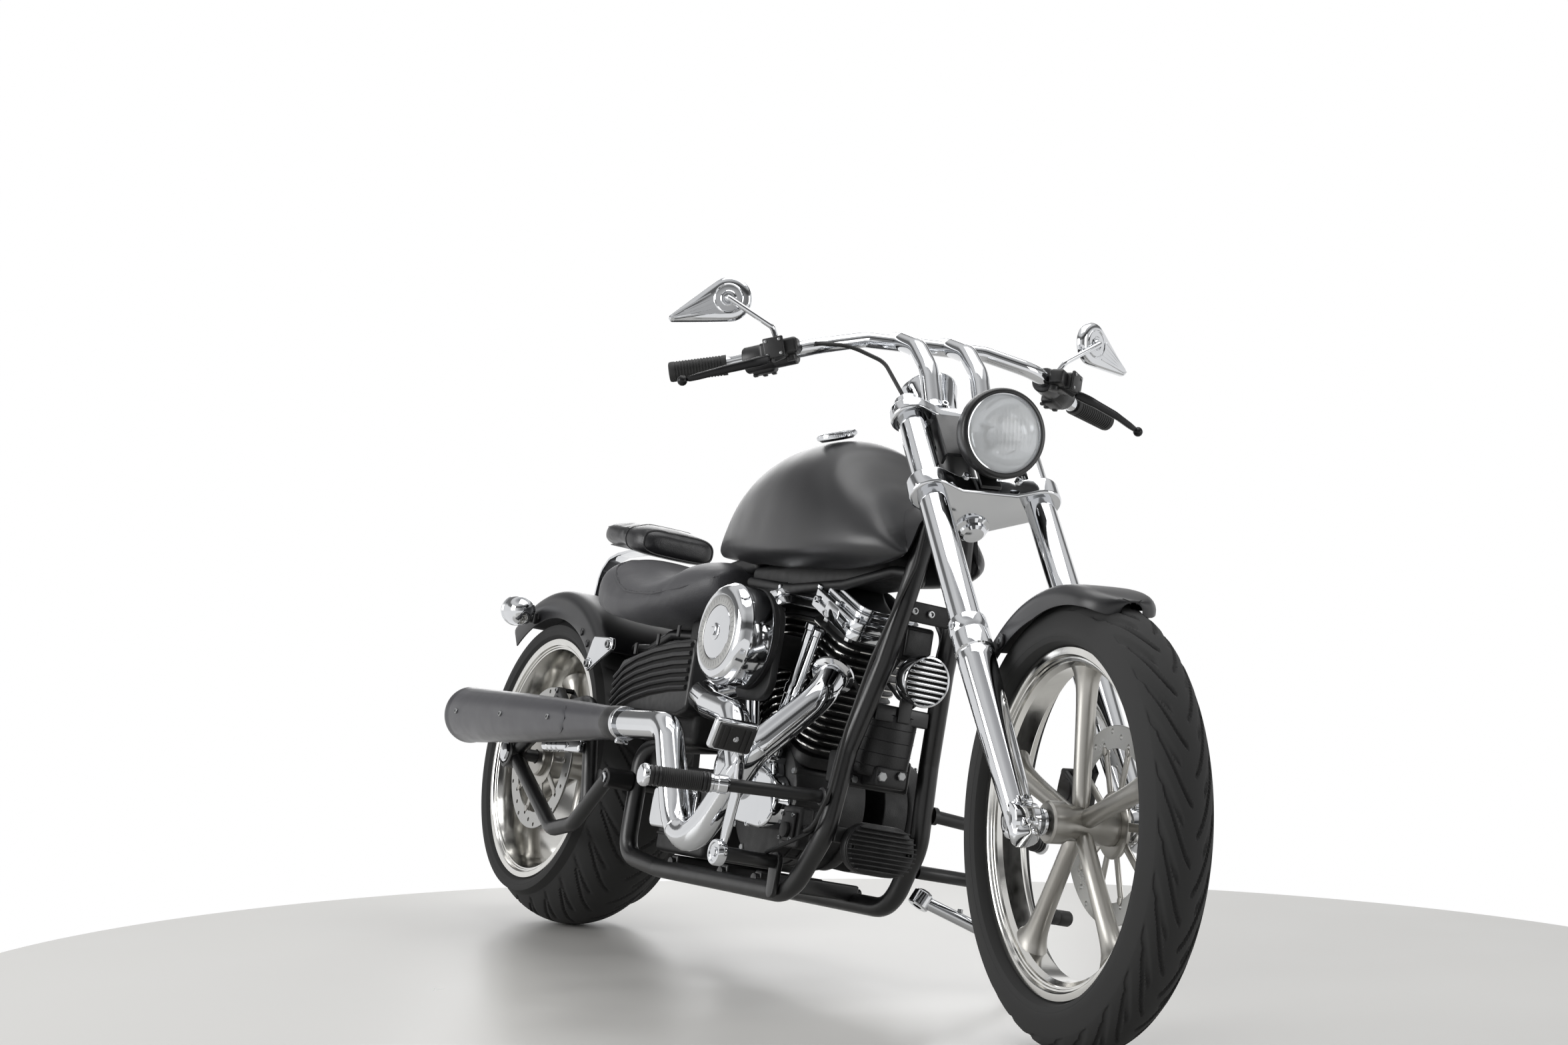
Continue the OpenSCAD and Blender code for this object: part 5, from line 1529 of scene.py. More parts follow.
@dataclass
class LampMaker:
    """Headlamp, its shroud, and the instrument."""

    lamp: Vector = field(default_factory=lambda: Vector((1425, 0, 930)))

    def build(self) -> None:
        """Builds the lamp and the instrument."""
        self.bucket()
        self.lens()
        self.instrument()

    def turned(self, name: str, profile: Sequence[tuple[float, float]],
               steps: int = 96) -> bpy.types.Object:
        """A piece turned about the lamp's axis, heights measured forward."""
        return lathe(name, profile, self.lamp, self.lamp + Vector((1, 0, 0)), steps)

    def bucket(self) -> None:
        """The black bucket with its thick ring, the chrome trim, and the shroud behind."""
        shell = [(64, -4), (64.5, 1), (66, 3.2), (69, 3.4), (72, 1.4), (73, -2), (73, -18), (70.5, -22),
                 (70, -26), (66, -38), (58, -50), (46, -62), (30, -73), (12, -79), (0, -80)]
        body = self.turned("bucket", shell)
        pieces = [body, block("shroud", on_leg(741, 25), (6.4, 130, 90), 2.5, LEG_TURN),
                  block("lower_bracket", on_leg(665, 25.5), (7, 36, 66), 1.6, LEG_TURN),
                  rod("stalk", Vector((1352, 0, 922)), on_leg(742, 28), 17.6)]
        for sign in (-1, 1):
            pieces.append(block("shroud_side", on_leg(741, 12, sign * 62), (24, 5, 86), 2.0,
                                LEG_TURN))
        place(joined("lamp_bucket", pieces), Paint.POWDER, Body.STEERING, ["headlight"], angle=40)
        trim = self.turned("lamp_trim", [(61.5, -6), (61.5, 1.2), (62.4, 2.6), (64.2, 2.8), (65.4, 1.2),
                                         (65.4, -5), (61.5, -6)])
        screw = rod("trim_screw", self.lamp + Vector((-10, 0, -72)), self.lamp + Vector((-10, 0, -77)), 4,
                    sides=20)
        place(joined("lamp_trim", [trim, screw]), Paint.CHROME, Body.STEERING)

    def lens(self) -> None:
        """The bowl reflector, a bulb shield, and the fluted glass."""
        bowl = self.turned("lamp_bowl", [(62.5, -3), (60, -10), (54, -22), (44, -35), (32, -45), (18, -52),
                                         (12, -54), (12, -56), (19, -54), (33, -47), (45, -37), (55, -24),
                                         (61, -12), (63, -5), (62.5, -3)])
        shield = self.turned("bulb_shield", [(0, -22), (10, -22.5), (12, -26), (12, -40), (10, -40),
                                             (10, -27), (0, -24)], 32)
        place(joined("lamp_bowl", [bowl, shield]), Paint.REFLECTOR, Body.STEERING)
        n = 96
        points, faces = [], []
        rows = 26
        for i in range(rows + 1):
            r = 61.6 * i / rows
            for t in polar(n):
                y, z = r * math.cos(t), r * math.sin(t)
                dome = 7.5 * (1 - (r / 61.6) ** 2)
                inside = max(0.0, 1 - (r / 56) ** 12) if r < 56 else 0.0
                band = 1.0 if abs(z) < 24 else 0.55
                flute = 0.75 * inside * band * abs(math.sin(math.pi * y / 7.0))
                points.append(self.lamp + Vector((0.4 + dome - flute, y, z)))
        for i in range(rows):
            for k in range(n):
                a, b = i * n + k, i * n + (k + 1) % n
                faces.append((a, b, b + n, a + n) if i else (a, b + n, a + n))
        front = len(points)
        for i in range(rows + 1):
            r = 61.6 * i / rows
            for t in polar(n):
                points.append(self.lamp + Vector((-2.6 + 7.5 * (1 - (r / 61.6) ** 2), r * math.cos(t),
                                                  r * math.sin(t))))
        for i in range(rows):
            for k in range(n):
                a, b = front + i * n + k, front + i * n + (k + 1) % n
                faces.append((a, a + n, b + n, b) if i else (a, a + n, b + n))
        rim, back = rows * n, front + rows * n
        faces += [(rim + k, rim + (k + 1) % n, back + (k + 1) % n, back + k) for k in range(n)]
        glass = new_mesh("lamp_glass", points, faces=faces)
        edit(glass, tidy_normals)
        place(glass, Paint.GLASS, Body.STEERING, ["headlight_lens"], angle=25)

    def instrument(self) -> None:
        """The chrome bowl on the clamp, with a dial and generic marks."""
        axis = Vector((-0.62, 0, 0.78)).normalized()
        centre = Vector((1128, 0, 1004))
        top = centre + axis
        bowl = lathe("dial_bowl", [(0, -44), (22, -43.5), (33, -40), (38, -33), (45, 0), (50, 18), (51, 24),
                                   (51, 28), (49.5, 30), (46.5, 30), (46, 27)], centre, top, 80)
        arm = tube("dial_arm", rounded_route([centre + Vector((20, 0, -6)), Vector((1180, 0, 994)),
                                              on_leg(831, -46)], [20]), 8, sides=20)
        place(joined("dial_bowl", [bowl, arm]), Paint.CHROME, Body.STEERING, ["speedometer"], angle=40)
        face = lathe("dial_face", [(0, 25.2), (46.2, 25.2), (46.2, 22), (0, 22)], centre, top, 64)
        place(face, Paint.DIAL, Body.STEERING)
        home = toward(centre, top)
        marks = []
        for k in range(19):
            t = math.radians(-45 + k * 15)
            long = 6 if k % 3 == 0 else 3.5
            spin = home @ Matrix.Rotation(t, 4, "Z")
            mark = block("mark", (41 - long / 2, 0, 25.5), (long, 1.1 if k % 3 == 0 else 0.7, 0.5), 0.1)
            mark.data.transform(spin)
            marks.append(mark)
        needle = block("needle", (14, 0, 26.3), (34, 1.4, 0.6), 0.2)
        needle.data.transform(home @ Matrix.Rotation(math.radians(-45), 4, "Z"))
        marks += [needle, lathe("needle_boss", [(0, 25), (4, 25), (4, 27), (0, 27.4)], centre, top, 20)]
        place(joined("dial_marks", marks), Paint.DIAL_MARK, Body.STEERING)
        glass = lathe("dial_glass", [(0, 28.2), (30, 28), (46.3, 27.2), (46.3, 28.6), (30, 29.3),
                                     (0, 29.6)], centre, top, 64)
        place(glass, Paint.GLASS, Body.STEERING)


BAR = ((1084, 0, 1114), (1086, 111, 1109), (1100, 205, 1086), (1008, 322, 1052), (969, 415, 1033))


@dataclass
class BarsMaker:
    """Handlebar, risers, controls, levers, grips and mirrors."""

    bar: float = 14.0
    kink: Vector = field(default_factory=lambda: Vector(BAR[2]))
    grip_start: Vector = field(default_factory=lambda: Vector(BAR[3]))
    grip_end: Vector = field(default_factory=lambda: Vector(BAR[4]))

    def build(self) -> None:
        """Builds everything on the bars, once, and mirrors what repeats."""
        self.handlebar()
        self.pair("switchgear", self.controls, Paint.PLASTIC, ["hand_controls"])
        self.pair("control_screws", self.screws, Paint.ZINC)
        self.pair("hand_levers", self.lever, Paint.ANODISED, ["levers"])
        self.pair("bar_grips", self.grip, Paint.RUBBER, ["grips"])
        self.pair("mirror_shells", self.mirror_shell, Paint.CHROME, ["mirrors"])
        self.pair("mirror_glass", self.mirror_glass, Paint.MIRROR)

    def pair(self, name: str, make: Callable[[], list[bpy.types.Object]], paint: Paint,
             replaces: Sequence[str] = ()) -> None:
        """Makes a left piece and its mirror image as one.

        Args:
            name: The pair's name.
            make: Makes the left one's parts.
            paint: Their finish.
            replaces: CAD nodes they stand for.
        """
        left = joined(name, make())
        place(joined(name, [left, mirrored(left)]), paint, Body.STEERING, replaces)

    def handlebar(self) -> None:
        """The bent bar and its two risers."""
        left = [Vector(p) for p in BAR]
        right = [Vector((p[0], -p[1], p[2])) for p in reversed(BAR[1:])]
        bar = tube("bar", rounded_route(right + left[1:], [60, 75, 60, 60, 75, 60], 10), self.bar, sides=36)
        pieces = [bar]
        for y in (-46, 46):
            route = rounded_route([on_leg(816.3, -4, y), on_leg(838, -4, y), Vector((1215, y, 1050)),
                                   Vector((1164, y, 1092)), Vector((1096, y, 1111))], [20, 70, 60], 10)
            pieces.append(tube("riser", route, 16.4, sides=36))
            pieces.append(lathe("riser_foot", [(0, 0), (22, 0), (22, 5), (19, 9), (16.5, 11)],
                                on_leg(816.3, -4, y), on_leg(838, -4, y), 40))
            pieces.append(lathe("riser_weld", [(14, -18), (15.6, -14), (16.6, 0), (15.6, 14), (14, 18)],
                                Vector((1084.6, y, 1112)), Vector((1085, y + 1, 1111.8)), 40))
        place(joined("bars", pieces), Paint.CHROME, Body.STEERING, ["handlebar"], angle=40)

    def along(self, start: float) -> Vector:
        """Returns the point a distance past the kink on the way to the grip."""
        return self.kink + (self.grip_start - self.kink).normalized() * start

    def controls(self) -> list[bpy.types.Object]:
        """The switch housing, its buttons, the clamp and the fluid tank."""
        frame = toward(self.along(36), self.along(128))
        pieces = [lathe("housing", [(14.2, 0), (21, 0), (23, 2), (23, 36), (22, 38), (22, 40), (23, 42),
                                    (23, 88), (21, 91), (14.2, 92)], self.along(36), self.along(128), 40)]
        box = block("tank", (-26, 1, 23), (50, 32, 32), 5, segments=4)
        box.data.transform(frame)
        lid = block("lid", (-53, 1, 23), (6, 36, 36), 2.5)
        lid.data.transform(frame)
        lump = block("switch_box", (-29, 2, 20), (28, 28, 68), 6, segments=4)
        lump.data.transform(frame)
        pod = block("pod", (8, -14, 62), (30, 26, 44), 8, segments=4)
        pod.data.transform(frame)
        pieces += [box, lid, lump, pod]
        for x, z in ((16, 50), (16, 66), (6, 80)):
            key = block("button", (x + 4, -26, z), (9, 5, 8), 1.6)
            key.data.transform(frame)
            pieces.append(key)
        knob = rod("lever_pivot", frame @ Vector((-20, 14, 4)), frame @ Vector((-20, -20, 4)), 9, sides=24)
        perch = tube("perch", [self.along(48), Vector((1100, 262, 1068)), Vector((1100.2, 283, 1057))], 9,
                     sides=20)
        return pieces + [knob, perch]

    def screws(self) -> list[bpy.types.Object]:
        """Lid and clamp screws."""
        frame = toward(self.along(36), self.along(128))
        pieces = []
        for y in (-11, 13):
            for z in (11, 35):
                spot = frame @ Vector((-55.5, y, z))
                pieces.append(rod("lid_screw", spot, frame @ Vector((-57.2, y, z)), 2.8, sides=16,
                                  edge=0.5))
        for y in (-15, 15):
            pieces.append(socket_head("clamp_screw", frame @ Vector((-6, y, 6)),
                                      frame.to_3x3() @ Vector((-1, 0, 0)), 3.6, 4))
        return pieces

    def lever(self) -> list[bpy.types.Object]:
        """A slotted blade with a ball end."""
        route = [Vector(p) for p in ((1100.2, 282, 1057), (1104, 318, 1044), (1094, 372, 1026),
                                     (1070, 428, 1006))]
        up = Vector((0.2, 0.3, 0.93))
        dense = rounded_route(route, [60, 90], 8)
        rings = []
        for i, p in enumerate(dense):
            a, b = dense[max(0, i - 1)], dense[min(len(dense) - 1, i + 1)]
            way = (b - a).normalized()
            out = way.cross(up).normalized()
            rise = out.cross(way).normalized()
            share = i / (len(dense) - 1)
            tall = 8.5 - 2.6 * share
            rings.append([p + out * (5.2 * squarish(math.cos(t), 0.6)) +
                          rise * (tall * squarish(math.sin(t), 0.6)) for t in polar(16)])
        blade = loft("blade", rings, levels=1)
        cutters = []
        mid = len(dense) // 2
        for low, high in ((mid - 6, mid - 1), (mid + 1, mid + 6)):
            low, high = max(1, low), min(len(dense) - 2, high)
            a, b = dense[low], dense[high]
            slot = block("slot", (0, 0, (b - a).length / 2), (30, 4.6, (b - a).length), 2.2, segments=3)
            way = (b - a).normalized()
            out = way.cross(up).normalized()
            rise = out.cross(way).normalized()
            axes = Matrix((out, rise, way)).transposed().to_4x4()
            slot.data.transform(Matrix.Translation(a) @ axes)
            cutters.append(slot)
        cutter = joined("slots", cutters)
        apply_modifier(blade, "BOOLEAN", object=cutter, operation="DIFFERENCE", solver="EXACT")
        bpy.data.objects.remove(cutter)
        ball = lathe("ball", [(0, -8.8), (3.4, -8.2), (6.4, -6), (8.2, -3), (8.8, 0), (8.2, 3), (6.4, 6),
                              (3.4, 8.2), (0, 8.8)], route[3], route[3] + Vector((0, 0, 1)), 32)
        return [blade, ball]

    def grip(self) -> list[bpy.types.Object]:
        """A rubber grip with fine ribs and an end cap."""
        way = (self.grip_end - self.grip_start).normalized()
        start = self.grip_start + way * 8
        long = (self.grip_end - start).length + 5
        profile = [(14.3, 0), (17.4, 0), (17.4, 6)]
        at = 8.0
        while at < long - 10:
            profile += [(17.4, at), (16.4, at + 0.5), (16.4, at + 2.1), (17.4, at + 2.6)]
            at += 5.2
        profile += [(17.4, long - 5), (16.6, long - 1.2), (14, long), (0, long)]
        return [lathe("grip", profile, start, self.grip_end, 48)]

    def mirror_frame(self) -> tuple[Matrix, float]:
        """Returns the mirror's own matrix (x to the tip, z out of its back) and its length."""
        hub, tip = Vector((1040, 345, 1158)), Vector((997, 430, 1121))
        x = (tip - hub).normalized()
        face = -(tip - hub).cross(Vector((0, 0, 1))).normalized()
        y = face.cross(x).normalized()
        axes = Matrix((x, y, face)).transposed().to_4x4()
        return Matrix.Translation(hub) @ axes, (tip - hub).length

    def teardrop(self, inset: float, height: float, count: int = 40) -> list[Vector]:
        """Returns a teardrop outline in the mirror's frame.

        Args:
            inset: How far inside the full outline.
            height: Its height over the middle plane.
            count: Points round it.

        Returns:
            The points.
        """
        _, long = self.mirror_frame()
        big, small = 39 - inset, max(7 - inset, 1.2)
        lean = math.acos(max(-1.0, min(1.0, (big - small) / long)))
        n = count // 2
        points = []
        for k in range(n):
            t = lean + (2 * math.pi - 2 * lean) * k / (n - 1)
            points.append(Vector((big * math.cos(t), big * math.sin(t), height)))
        for k in range(count - n):
            t = -lean + 2 * lean * (k + 1) / (count - n + 1)
            points.append(Vector((long + small * math.cos(t), small * math.sin(t), height)))
        return points

    def mirror_shell(self) -> list[bpy.types.Object]:
        """The teardrop shell with its ring, fanned ribs and stem."""
        home, long = self.mirror_frame()
        sign = 1.0 if (home.to_3x3() @ Vector((0, 0, 1))).x > 0 else -1.0
        layers = ((2.5, -9.6), (0.4, -9.0), (0, -6), (0, -2), (1.5, 3), (6, 6.2), (12, 7.4), (22, 8.0),
                  (34, 8.2))
        rings = [self.teardrop(inset, sign * height) for inset, height in layers]
        shell = loft("shell", rings, levels=1)
        pieces = [shell]
        for r, w in ((24, 2.2), (12, 2.6)):
            ring = lathe("ring", [(r - w, 5.5), (r - 0.7 * w, 8.4), (r, 9.6), (r + 0.7 * w, 8.4),
                                  (r + w, 5.5)], Vector((0, 0, 0)), Vector((0, 0, sign)), 48)
            pieces.append(ring)
        for k in range(5):
            y = (k - 2) * 8.5
            a, b = Vector((26, y, sign * 6.6)), Vector((long - 4, y * 0.16, sign * 5.6))
            pieces.append(tube("rib", [a, a.lerp(b, 0.5) + Vector((0, 0, sign * 1.0)), b], 1.9, sides=10))
        for piece in pieces:
            piece.data.transform(home)
        hub = Vector((1040, 345, 1158))
        out = home.to_3x3() @ Vector((0, 0, sign))
        pieces.append(lathe("boss", [(0, 3), (8, 3), (9, 8), (7, 12), (0, 13)], hub, hub + out, 32))
        stem = rounded_route([Vector((1063, 264, 1094)), Vector((1072, 276, 1114)), hub + out * 16,
                              hub + out * 7], [16, 10], 8)
        pieces.append(tube("stem", stem, 5, sides=24))
        pieces.append(rod("stem_foot", Vector((1060, 260, 1084)), Vector((1065, 267, 1099)), 8.5, 7,
                          sides=28))
        return pieces

    def mirror_glass(self) -> list[bpy.types.Object]:
        """The glass, let into the side that faces the rider."""
        home, _ = self.mirror_frame()
        sign = 1.0 if (home.to_3x3() @ Vector((0, 0, 1))).x > 0 else -1.0
        glass = loft("glass", [self.teardrop(4, -9.7 * sign), self.teardrop(3.4, -9.9 * sign),
                               self.teardrop(5, -10.0 * sign)], levels=0)
        glass.data.transform(home)
        return [glass]


# ---------- engine and exhaust ----------
CRANK = Vector((905, 0, 305))
GEAR_SHAFT = (640, 305)
BANK_LEAN = math.radians(22.5)


def bank(s: float, k: float, u: float = 0.0, y: float = 0.0) -> Vector:
    """Returns a point on a cylinder: s up its axis, u along the machine, y across.

    Args:
        s: Distance from the crank up the cylinder.
        k: 1 for the front cylinder, -1 for the rear one.
        u: Distance forward, square to the cylinder's axis.
        y: Distance to the left.

    Returns:
        The point.
    """
    t = k * BANK_LEAN
    return CRANK + Vector((s * math.sin(t) + u * math.cos(t), y, s * math.cos(t) - u * math.sin(t)))


def bank_plane(s: float, k: float) -> Matrix:
    """Returns the matrix of a plane across a cylinder: x forward, y left, z up it."""
    return Matrix.Translation(bank(s, k)) @ Matrix.Rotation(k * BANK_LEAN, 4, "Y")


def rounded_box(half_x: float, half_y: float, corner: float, steps: int = 6) -> list[tuple[float, float]]:
    """Returns a rounded rectangle round the origin.

    Args:
        half_x: Half its length.
        half_y: Half its width.
        corner: Its corner radius.
        steps: Points on each corner.

    Returns:
        The outline.
    """
    out = []
    for cx, cy, start in ((1, 1, 0), (-1, 1, 90), (-1, -1, 180), (1, -1, 270)):
        for i in range(steps + 1):
            a = math.radians(start + 90 * i / steps)
            out.append((cx * (half_x - corner) + corner * math.cos(a),
                        cy * (half_y - corner) + corner * math.sin(a)))
    return out


def pear(a: tuple[float, float], ra: float, b: tuple[float, float], rb: float, steps: int = 16) -> list:
    """Returns the outline that wraps two circles, as (x, z) pairs.

    Args:
        a: Middle of the first circle.
        ra: Its radius.
        b: Middle of the second circle.
        rb: Its radius.
        steps: Points on each end.

    Returns:
        The outline.
    """
    va, vb = Vector(a), Vector(b)
    base = math.atan2((vb - va).y, (vb - va).x)
    th = math.acos((ra - rb) / (vb - va).length)
    out = []
    for i in range(steps + 1):
        t = base + th + (2 * math.pi - 2 * th) * i / steps
        out.append((va.x + ra * math.cos(t), va.y + ra * math.sin(t)))
    for i in range(steps + 1):
        t = base - th + 2 * th * i / steps
        out.append((vb.x + rb * math.cos(t), vb.y + rb * math.sin(t)))
    return out


def side_plate(name: str, outline: Sequence[tuple[float, float]], y0: float, y1: float, bevel: float = 1.5,
               segments: int = 3) -> bpy.types.Object:
    """A plate with an (x, z) outline between two distances across the machine."""
    return slab(name, [(x, y0, z) for x, z in outline], (0, y1 - y0, 0), bevel, segments)


@dataclass
class EngineMaker:
    """Cylinders, heads, covers, pushrods and cases."""

    def build(self) -> None:
        """Builds every engine piece."""
        self.cylinders()
        self.rocker_covers()
        self.pushrods()
        self.crankcase()
        self.cam_cover()
        self.primary()
        self.gearbox()

    def cylinders(self) -> None:
        """Black finned barrels and heads; their fin edges are machined bright."""
        fins, edges, bolts = [], [], []
        for k in (-1, 1):
            core = slab("barrel", [(x, y, 96) for x, y in rounded_box(56, 56, 40)], (0, 0, 240), 1, 1)
            core.data.transform(bank_plane(0, k))
            fins.append(core)
            for i in range(14):
                s = 129 + 14.5 * i
                half_x = 70 if i < 9 else 77
                fin = slab("fin", [(x, y, -2.8) for x, y in rounded_box(half_x - 1, 71, 33)], (0, 0, 5.6),
                           1.2, 1)
                fin.data.transform(bank_plane(s, k))
                fins.append(fin)
                edge = slab("fin_edge", [(x, y, -1.5) for x, y in rounded_box(half_x, 72, 34)], (0, 0, 3.0),
                            0.5, 1)
                edge.data.transform(bank_plane(s, k))
                edges.append(edge)
            for u in (-44, 44):
                for y in (-50, 50):
                    bolts.append(hex_head("head_bolt", bank(322, k, u, y), bank(1, k) - bank(0, k), 8, 9))
        place(joined("cylinder_fins", fins), Paint.CRINKLE, Body.CHASSIS, ["cylinders"])
        place(joined("fin_edges", edges), Paint.LIP, Body.CHASSIS)
        place(joined("head_bolts", bolts), Paint.ZINC, Body.CHASSIS)

    def rocker_covers(self) -> None:
        """Two-step chrome covers with recessed bolts."""
        pieces = []
        for k in (-1, 1):
            for half_x, half_y, low, high, corner in ((90, 75, 336.3, 352, 22), (86, 71, 352, 355, 20),
                                                      (89, 74, 355, 369.6, 22), (77, 63, 369.4, 382, 26),
                                                      (70, 56, 382, 391.6, 24)):
                step = slab("cover", [(x, y, low) for x, y in rounded_box(half_x, half_y, corner)],
                            (0, 0, high - low), 2.2 if high - low > 5 else 0.6, 3)
                step.data.transform(bank_plane(0, k))
                pieces.append(step)
            up = bank(1, k) - bank(0, k)
            for u in (-78, 0, 78):
                for y in (-68, 68):
                    pieces.append(socket_head("cover_bolt", bank(369, k, u * 0.98, y * 0.985), up, 6, 6))
            for u in (-52, 52):
                pieces.append(socket_head("lid_bolt", bank(381, k, u, 0), up, 6.5, 6))
            lug = slab("lug", [(x, -66, z) for x, z in rounded_box(26, 15, 10)], (0, -9, 0), 2, 2)
            lug.data.transform(bank_plane(352, k))
            pieces.append(lug)
            for u in (-60, 60):
                pieces.append(socket_head("side_bolt", bank(353, k, u, -74.5), (0, -1, 0), 6, 4))
        place(joined("rocker_boxes", pieces), Paint.CHROME, Body.CHASSIS, ["rocker_covers"], angle=32)

    def pushrods(self) -> None:
        """Four telescoping pushrod tubes with their collars."""
        pieces = []
        cos, sin = math.cos(BANK_LEAN), math.sin(BANK_LEAN)
        for sign in (-1, 1):
            for i in (0, 1):
                low = Vector((905 + sign * (24 + 20 * i), -88, 382))
                u = -26 + 30 * i
                high = CRANK + Vector((sign * (sin * 318 + cos * u), -86, cos * 318 - sin * u))
                way = (high - low).normalized()
                long = (high - low).length
                pieces.append(lathe("pushrod", [(0, 0), (13, 0), (13, 9), (11, 11), (9.6, 14),
                                                (9.6, long * 0.46), (11.6, long * 0.47),
                                                (11.6, long * 0.53), (8.6, long * 0.55), (8.6, long - 12),
                                                (11, long - 10), (11, long), (0, long)], low, low + way,
                                    32))
        for sign in (-1, 1):
            block_at = Vector((905 + sign * 34, -88, 378))
            pieces.append(block("tappet_block", block_at, (50, 34, 14), 3,
                                Matrix.Rotation(sign * 0.38, 4, "Y")))
            for dx in (-20, 20):
                pieces.append(socket_head("tappet_bolt", block_at + Vector((dx, -12, 7)), (0, 0, 1), 4.2,
                                          4))
        place(joined("pushrod_tubes", pieces), Paint.CHROME, Body.CHASSIS)

    def crankcase(self) -> None:
        """The case with its flange, ribs and bolts."""
        pieces, bolts = [], []
        pieces.append(lathe("case", [(0, -72), (100, -72), (106, -69), (108, -64), (108, -6), (109.6, -5),
                                     (109.6, 5), (108, 6), (108, 64), (106, 69), (100, 72), (0, 72)], CRANK,
                            CRANK + Vector((0, 1, 0)), 96))
        for k in (-1, 1):
            deck = slab("deck", [(x, y, 92) for x, y in rounded_box(66, 68, 30)], (0, 0, 22), 3, 2)
            deck.data.transform(bank_plane(0, k))
            pieces.append(deck)
        for a in range(-60, 241, 30):
            t = math.radians(a)
            spot = CRANK + Vector((104 * math.cos(t), -70, 104 * math.sin(t)))
            if 30 < a < 150:
                continue
            pieces.append(rod("boss", spot + Vector((0, 2, 0)), spot + Vector((0, 66, 0)), 7, sides=20))
            bolts.append(hex_head("case_bolt", spot + Vector((0, 1, 0)), (0, -1, 0), 6.5, 5))
        for y in (-44, -22, 22, 44):
            ring = lathe("case_rib", [(106, y - 1.6), (110.5, y - 1.1), (110.5, y + 1.1), (106, y + 1.6)],
                         CRANK, CRANK + Vector((0, 1, 0)), 72, angle=150, phase=math.radians(195))
            pieces.append(ring)
        place(joined("crank_case", pieces), Paint.CRINKLE, Body.CHASSIS, ["crankcase"])
        place(joined("case_bolts", bolts), Paint.ZINC, Body.CHASSIS)

    def cam_cover(self) -> None:
        """The bright timing cover with its round cap and fine screws."""
        pieces = [side_plate("cover", pear((900, 330), 70, (900, 331), 69.9, 24), -72.6, -96, 3),
                  side_plate("cover", pear((870, 318), 60, (958, 300), 48), -72.6, -106, 5, 4)]
        axis = Vector((852, -106, 345))
        pieces.append(lathe("round_cover", [(0, 0), (52, 0), (52, 14), (50.5, 18), (47, 20.5), (41, 21),
                                            (40, 19.6), (38, 19.6), (36, 21.4), (0, 22)], axis,
                            axis + Vector((0, -1, 0)), 80))
        for t in polar(5, 0.3):
            spot = axis + Vector((44.5 * math.cos(t), -20.6, 44.5 * math.sin(t)))
            pieces.append(socket_head("round_screw", spot, (0, -1, 0), 3.6, 1.6))
        for x, z in ((832, 276), (872, 262), (918, 256), (966, 260), (1000, 284), (1001, 318), (966, 344),
                     (930, 372)):
            pieces.append(socket_head("cover_screw", (x, -100, z), (0, -1, 0), 4.6, 6.4))
        place(joined("timing_cover", pieces), Paint.CHROME, Body.CHASSIS, ["cam_cover"], angle=32)

    def primary(self) -> None:
        """The long left cover over the primary drive, with screws and a round lid."""
        edge = pear((CRANK.x, CRANK.z), 104, GEAR_SHAFT, 96, 24)
        inner = pear((CRANK.x, CRANK.z), 92, GEAR_SHAFT, 84, 24)
        pieces = [side_plate("inner", edge, 110, 158, 2), side_plate("outer", edge, 158, 200, 9, 4),
                  side_plate("face", inner, 199, 211.6, 5, 3)]
        bolts = []
        lid = Vector((655, 211, 305))
        pieces.append(lathe("clutch_lid", [(0, 0), (58, 0), (58, 0.6), (56, 0.9), (0, 0.9)], lid,
                            lid + Vector((0, 1, 0)), 64))
        for i in range(0, len(edge), 3):
            x, z = edge[i]
            spot = Vector((x, 204, z)) + (Vector((772, 204, 305)) - Vector((x, 204, z))).normalized() * 9
            bolts.append(socket_head("primary_screw", spot, (0, 1, 0), 4.4, 3.4))
        place(joined("primary_case", pieces), Paint.CRINKLE, Body.CHASSIS, ["primary_cover"])
        place(joined("primary_screws", bolts), Paint.ZINC, Body.CHASSIS)

    def gearbox(self) -> None:
        """The black gear case and its chrome side cover."""
        body = block("gear_case", (655, 7, 262), (190, 206, 160), 12, segments=4)
        pieces = [body]
        for dz in (-46, -15, 16, 47):
            pieces.append(block("gear_rib", (655, -96.6, 262 + dz), (176, 5, 5), 2))
        place(joined("gear_case", pieces), Paint.CRINKLE, Body.CHASSIS, ["gearbox"])
        outline = [(655 + x, 262 + z) for x, z in rounded_box(55, 38, 16)]
        cover = side_plate("cover", outline, -97, -137, 7, 4)
        rim = side_plate("rim", [(655 + x, 262 + z) for x, z in rounded_box(60, 43, 18)], -97, -104, 2)
        screws = [socket_head("gear_screw", (655 + x, -103.5, 262 + z), (0, -1, 0), 4, 3)
                  for x, z in ((-56, -30), (-56, 30), (56, -30), (56, 30), (0, -41), (0, 41))]
        spout = rod("filler", (726, -60, 300), (742, -74, 328), 15, 13, sides=36)
        place(joined("gear_cover", [cover, rim, spout] + screws), Paint.CHROME, Body.CHASSIS, angle=32)


